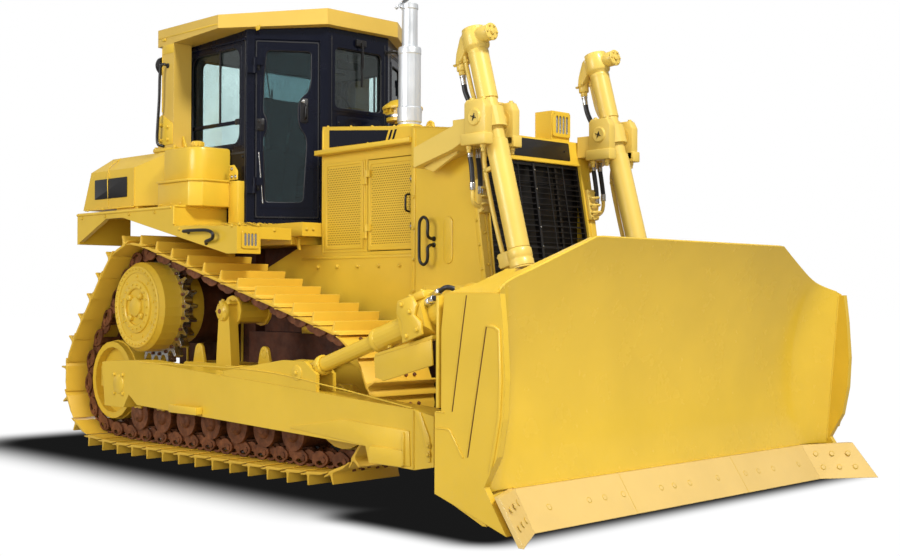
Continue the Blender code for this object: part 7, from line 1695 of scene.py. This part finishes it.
def arm_fittings():
    """Doubler plates, caps, welds, steps and lugs along a push arm."""
    piece = Piece("push_arm_fittings_R", "blade_lift", YELLOW, STEEL, BLACK)
    y = -1.48
    piece.plate([(0.578, 0.404), (1.109, 0.489), (1.684, 0.462), (1.694, 0.262), (1.4, 0.268), (1.3, 0.35),
                 (0.6, 0.398)], "y", y - 0.007, y + 0.001, 0, 0.003)
    piece.plate(rounded((1.345, 0.252), (1.64, 0.352), 0.018), "y", y - 0.019, y - 0.005, 0, 0.006)
    piece.box((1.638, 1.652), (y - 0.02, y + 0.001), (0.262, 0.452), 0, 0.004)
    piece.plate([(1.722, 0.59), (1.778, 0.576), (1.852, 0.44), (1.86, 0.3), (1.835, 0.3), (1.79, 0.47)], "y", y - 0.01,
                y + 0.02, 0, 0.004)
    piece.bolts([(1.846, y - 0.01, 0.345), (1.848, y - 0.01, 0.395)], RIGHT, 0.012)
    piece.weld([(1.716, y - 0.002, 0.25), (1.716, y - 0.002, 0.584)], 0.006)
    piece.weld([(-1.2, y - 0.001, 0.742), (0.2, y - 0.001, 0.744), (1, y - 0.001, 0.676), (1.7, y - 0.001, 0.594)],
               0.0045)
    # Trunnion cap
    piece.lathe([(0, 0.006), (0.062, 0.008), (0.072, 0.002), (0.072, -0.004), (0, -0.004)], (-1.5, y, 0.57), RIGHT, 40)
    piece.bolts([(-1.56, y, 0.64), (-1.44, y, 0.64), (-1.56, y, 0.5), (-1.44, y, 0.5)], RIGHT, 0.013)
    # Step box and wear strips
    piece.box((-0.734, -0.396), (y - 0.052, y + 0.002), (0.414, 0.424), 0, 0.002)
    piece.box((-0.734, -0.396), (y - 0.054, y - 0.046), (0.414, 0.467), 0, 0.003)
    for x in (-0.734, -0.406):
        piece.box((x, x + 0.01), (y - 0.052, y + 0.002), (0.414, 0.467), 0, 0.002)
    for k in range(9):
        piece.box((-0.712 + k * 0.037, -0.7 + k * 0.037), (y - 0.046, y - 0.004), (0.423, 0.428), 0, 0.0015)
    # Brace bracket gussets and pins
    for side in (-1, 1):
        edge = -1.395 + side * 0.066
        piece.lathe([(0, 0.008), (0.03, 0.01), (0.048, 0.006), (0.05, -0.002), (0, -0.002)],
                    (0.64, edge + side * 0.012, 0.745), (0, side, 0), 32)
        piece.bolt((0.64, edge + side * 0.02, 0.745), (0, side, 0), 0.014)
    piece.weld([(-0.16, y + 0.03, 0.756), (0.24, y + 0.03, 0.75), (0.82, y + 0.03, 0.7)], 0.005)
    both(piece)


def brace_fittings():
    """Guard plate, gland bolts, elbow, hoses and clamps of the tilt cylinder, and the plain brace's collar."""
    eye, far = Vector((0.64, -1.395, 0.745)), Vector((2.13, -1.395, 1.225))
    along = (far - eye).normalized()
    up = Vector(RIGHT).cross(along).normalized()
    if up.z < 0:
        up = -up
    at = Matrix((along, Vector(LEFT), up)).transposed().to_4x4()
    at = Matrix.Translation(eye) @ at
    length = (far - eye).length

    def on(share, y=0, z=0):
        return at @ Vector((length * share, y, z))

    piece = Piece("tilt_cylinder_fittings", "blade_lift", YELLOW, STEEL, HOSE, BLACK, CHROME)
    # Rod collar and wiper, barrel rims
    piece.lathe([(0.049, 0), (0.062, 0.002), (0.064, 0.01), (0.064, 0.034), (0.06, 0.04), (0.049, 0.042), (0.049, 0)],
                on(0.095), along, 36)
    piece.rod(on(0.095, -0.058, -0.004), on(0.12, -0.058, -0.004), 0.01, 6, 0)
    piece.lathe([(0.05, -0.01), (0.06, -0.01), (0.07, 0), (0.0755, 0.006), (0.0755, 0.03), (0.0735, 0.036), (0, 0.036),
                 (0, 0)], on(0.452), along, 40)
    piece.lathe([(0.074, 0), (0.082, 0.004), (0.082, 0.024), (0.074, 0.028), (0.074, 0)], on(0.64), along, 40)
    # Guard plate under the barrel
    piece.plate([(1.385, 0.872), (1.4, 0.752), (1.47, 0.735), (1.88, 0.842), (1.868, 0.985)], "y", -1.492, -1.48, 0,
                0.004)
    piece.plate([(1.39, 0.892), (1.385, 0.872), (1.868, 0.985), (1.872, 1.01)], "y", -1.486, -1.425, 0, 0.003)
    piece.box((1.394, 1.408), (-1.488, -1.33), (0.75, 0.88), 0, 0.003)
    piece.bolts([(1.49, -1.458, 0.928), (1.7, -1.458, 0.98)], (-0.24, 0, 0.97), 0.014)
    # Head block: cover plate, bolts and port
    piece.plate([(length * 0.668, -0.112), (length * 0.78, -0.112), (length * 0.786, -0.04), (length * 0.76, 0.01),
                 (length * 0.784, 0.06), (length * 0.768, 0.12), (length * 0.69, 0.128), (length * 0.672, 0.07),
                 (length * 0.69, 0)], "y", -0.136, -0.118, 0, 0.006, at)
    piece.bolts([on(0.708, -0.136, 0.098), on(0.7, -0.136, -0.085), on(0.758, -0.136, -0.075), on(0.742, -0.136, 0.04)],
                RIGHT, 0.013)
    piece.box((length * 0.676, length * 0.79), (-0.07, 0.07), (0.1, 0.15), 0, 0.01, at)
    piece.bolts([on(0.7, -0.045, 0.15), on(0.7, 0.045, 0.15), on(0.766, -0.045, 0.15)], up, 0.01)
    piece.rod(on(0.775, -0.06, 0.06), on(0.812, -0.066, 0.07), 0.026, 6, 1, bevel=0.003)
    piece.rod(on(0.808, -0.066, 0.069), on(0.834, -0.068, 0.074), 0.02, 20, 1, bevel=0.003)
    piece.tube([on(0.828, -0.068, 0.073), on(0.862, -0.066, 0.058), on(0.878, -0.045, 0), on(0.866, -0.01, -0.07),
                on(0.842, 0.05, -0.112), on(0.8, 0.11, -0.12)], 0.0155, 16, 2, 7)
    piece.rod(on(0.782, 0.02, 0.118), on(0.815, 0.022, 0.126), 0.022, 6, 1, bevel=0.003)
    piece.tube([on(0.812, 0.022, 0.125), on(0.85, 0.03, 0.13), on(0.872, 0.07, 0.095), on(0.866, 0.11, 0.03),
                on(0.842, 0.13, -0.04), on(0.8, 0.14, -0.07)], 0.0145, 16, 2, 7)
    piece.box((length * 0.775, length * 0.812), (0.085, 0.15), (-0.14, -0.05), 0, 0.008, at)
    # Hydraulic line clamped along the barrel
    piece.tube([on(0.655, 0.078, 0.03), on(0.6, 0.088, 0.034), on(0.52, 0.088, 0.034), on(0.478, 0.08, 0.03),
                on(0.47, 0.06, 0.024)], 0.012, 14, 0, 6)
    piece.box((length * 0.556, length * 0.572), (0.062, 0.104), (0.014, 0.052), 0, 0.003, at)
    piece.done()

    twin = Piece("brace_tube_fittings", "blade_lift", YELLOW, STEEL)

    def left(p):
        return Vector((p.x, -p.y, p.z))

    a = left(along)
    twin.lathe([(0.0615, 0), (0.078, 0.004), (0.08, 0.012), (0.08, 0.06), (0.076, 0.066), (0.0615, 0.07), (0.0615, 0)],
               left(on(0.11)), a, 36)
    twin.lathe([(0.0615, 0), (0.074, 0.003), (0.074, 0.032), (0.0615, 0.036), (0.0615, 0)], left(on(0.7)), a, 36)
    twin.lathe([(0.0615, 0), (0.072, 0.003), (0.072, 0.02), (0.0615, 0.024), (0.0615, 0)], left(on(0.48)), a, 36)
    twin.rod(left(on(0.132, -0.07, 0)), left(on(0.132, -0.108, 0)), 0.016, 6, 0, bevel=0.002)
    twin.rod(left(on(0.132, -0.02, 0.074)), left(on(0.132, -0.02, 0.1)), 0.009, 12, 1, bevel=0.002)
    twin.done()


# Finishes of the frame's own nodes

def sides(*names):
    return [f"{name}_{side}" for name in names for side in "RL"]


def dress_frame():
    for material, names in (
            (YELLOW, sides("track_frame", "final_drive", "engine_door", "side_guard", "fender", "push_arm")),
            (YELLOW, ("hood", "radiator_guard", "platform", "hydraulic_tank", "battery_box", "fuel_tank",
                      "tilt_cylinder", "brace_tube", "pre_cleaner", "blade")),
            # Lit and shaded copies of the yellow: paler on the lift parts and the edge (painted highlight), darker on
            # the roof (painted shade)
            (YELLOW_LIFT_LIT, sides("lift_yoke", "lift_barrel")),
            (YELLOW_ROOF_SHADED, ("rops_roof",)),
            (YELLOW_EDGE_LIT, ("cutting_edge", *sides("end_bit"))),
            # Painted shade: these nodes take the dark brown that stands in for the shade between and under the tracks
            (SHADE, ("rear_case", "pivot_shaft", "gearbox", "engine", "main_frame", "equalizer_bar")),
            (BROWN, ("drawbar_hitch", *sides("track"))),
            (STEEL, sides("sprocket")),
            (CHROME, sides("lift_rod")),
            (STACK_STEEL, ("exhaust_stack",)),
            (NAVY, ("cab", *sides("cab_door"))),
            (WIRE, ("grille", "radiator_core")),
            (BLACK, ("dashboard",)),
            (SEAT_CLOTH, ("seat",)),
            (GLASS, ("windscreen", "rear_glass", *sides("side_glass"))),
            (DOOR_GLASS, sides("door_glass"))):
        for name in names:
            slots = NODES[name].data.materials
            if slots:
                slots[0] = material
            else:
                slots.append(material)


# Floor, light and camera

# Patches of painted shadow on the floor under the machine: middle, half size, soft edge
SHADOW_PATCHES = (((-0.85, -0.12), (2.08, 1.12), 1.1), ((2.06, -0.06), (0.42, 1.64), 0.42))
CORE_SHARE = 0.22       # of the soft edge, fully dark
DARKEST = 0.01
AMBIENT, REFLECTED = 0.27, 0.3     # the white world's strength as light and in mirroring surfaces


def white_floor():
    """White to the horizon, with a soft dark shadow painted under the machine for camera rays.

    Bounced light meets a pale diffuse floor.
    """
    material = bpy.data.materials.new("white_floor")
    material.use_nodes = True
    tree = material.node_tree
    tree.nodes.clear()

    def maths(kind, *values):
        node = tree.nodes.new("ShaderNodeMath")
        node.operation = kind
        for index, value in enumerate(values):
            if isinstance(value, (int, float)):
                node.inputs[index].default_value = value
            else:
                tree.links.new(value, node.inputs[index])
        return node.outputs[0]

    place = tree.nodes.new("ShaderNodeNewGeometry")
    split = tree.nodes.new("ShaderNodeSeparateXYZ")
    tree.links.new(place.outputs["Position"], split.inputs[0])
    level = None
    for middle, half, edge in SHADOW_PATCHES:
        squares = []
        for axis in (0, 1):
            away = maths("ABSOLUTE", maths("SUBTRACT", split.outputs[axis], middle[axis]))
            squares.append(maths("POWER", maths("MAXIMUM", maths("SUBTRACT", away, half[axis]), 0), 2))
        distance = maths("SQRT", maths("ADD", *squares))
        fade = tree.nodes.new("ShaderNodeMapRange")
        fade.interpolation_type = "SMOOTHERSTEP"
        fade.inputs["From Min"].default_value = edge * CORE_SHARE
        fade.inputs["From Max"].default_value = edge
        tree.links.new(distance, fade.inputs["Value"])
        level = fade.outputs["Result"] if level is None else maths("MULTIPLY", level, fade.outputs["Result"])
    seen = tree.nodes.new("ShaderNodeEmission")
    seen.inputs["Color"].default_value = (1, 1, 1, 1)
    tree.links.new(maths("ADD", level, DARKEST), seen.inputs["Strength"])
    bounced = tree.nodes.new("ShaderNodeBsdfDiffuse")
    bounced.inputs["Color"].default_value = (0.42, 0.41, 0.39, 1)
    path = tree.nodes.new("ShaderNodeLightPath")
    mix = tree.nodes.new("ShaderNodeMixShader")
    output = tree.nodes.new("ShaderNodeOutputMaterial")
    tree.links.new(path.outputs["Is Camera Ray"], mix.inputs["Fac"])
    tree.links.new(bounced.outputs["BSDF"], mix.inputs[1])
    tree.links.new(seen.outputs["Emission"], mix.inputs[2])
    tree.links.new(mix.outputs["Shader"], output.inputs["Surface"])
    return material


def stage():
    size = 60
    mesh = bpy.data.meshes.new("floor")
    mesh.from_pydata([(-size, -size, 0), (size, -size, 0), (size, size, 0), (-size, size, 0)], [], [(0, 1, 2, 3)])
    mesh.materials.append(white_floor())
    floor = placed("floor", mesh)


def lamp(name, place, target, size, watts, colour=(1, 1, 1), mirrored=True):
    data = bpy.data.lights.new(name, "AREA")
    data.shape = "DISK"
    data.size = size
    data.energy = watts
    data.color = colour
    obj = placed(name, data)
    obj.matrix_world = aim(place, Vector(place) - Vector(target))
    obj.visible_glossy = mirrored


def light():
    world = bpy.data.worlds.new("studio")
    bpy.context.scene.world = world
    world.use_nodes = True
    tree = world.node_tree
    back = tree.nodes["Background"]
    back.inputs["Color"].default_value = (1, 1, 1, 1)
    path = tree.nodes.new("ShaderNodeLightPath")

    def larger(first, second):
        node = tree.nodes.new("ShaderNodeMath")
        node.operation = "MAXIMUM"
        tree.links.new(first, node.inputs[0])
        tree.links.new(second, node.inputs[1])
        return node.outputs[0]

    dim = tree.nodes.new("ShaderNodeMath")
    dim.operation = "MULTIPLY"
    dim.inputs[1].default_value = REFLECTED
    tree.links.new(path.outputs["Is Glossy Ray"], dim.inputs[0])
    seen = larger(larger(path.outputs["Is Camera Ray"], path.outputs["Is Transmission Ray"]), dim.outputs[0])
    level = tree.nodes.new("ShaderNodeMapRange")
    level.inputs["To Min"].default_value = AMBIENT
    level.inputs["To Max"].default_value = 1
    tree.links.new(seen, level.inputs["Value"])
    tree.links.new(level.outputs["Result"], back.inputs["Strength"])
    target = (0, 0, 1.2)
    lamp("key", (9, -2, 11), target, 2.4, 1520, (1, 0.985, 0.95))
    lamp("front_fill", (11, -8, 3), target, 6, 470, mirrored=False)
    lamp("side_fill", (-1, -14, 5), target, 7, 980)
    lamp("back_fill", (-11, 7, 7), target, 8, 420)


CAMERA_PLACE = (7.034, -6.437, 1.223)
CAMERA_YAW = 44.59
CAMERA_PITCH = 0.84
CAMERA_ROLL = 0.13
CAMERA_LENS = 51.4


def camera():
    data = bpy.data.cameras.new("camera")
    data.lens = CAMERA_LENS
    data.sensor_width = 36
    data.sensor_fit = "HORIZONTAL"
    data.clip_end = 200
    obj = placed("camera", data)
    yaw, pitch = radians(CAMERA_YAW), radians(CAMERA_PITCH)
    forward = Vector((-cos(yaw) * cos(pitch), sin(yaw) * cos(pitch), sin(pitch)))
    right = forward.cross(Vector(UP)).normalized()
    up = right.cross(forward)
    roll = radians(CAMERA_ROLL)
    right, up = right * cos(roll) + up * sin(roll), up * cos(roll) - right * sin(roll)
    turn = Matrix((right, up, -forward)).transposed().to_4x4()
    obj.matrix_world = Matrix.Translation(CAMERA_PLACE) @ turn
    bpy.context.scene.camera = obj


bpy.context.scene.view_settings.view_transform = "Standard"
for build in (camera, stage, light, dress_frame, track, sprocket, final_drive, roller_row, lift_fittings, rod_fittings,
              yoke_fittings, guard_face, guard_side, head_lamps, hood_side, engine_door, hood_top, cab_door,
              cab_windows, cab_inside, cab_seat, cab_rails, roof_fittings, tank_fittings, fender_fittings, rear_details,
              belly, blade_face, blade_ends, blade_back, arm_fittings, brace_fittings):
    build()
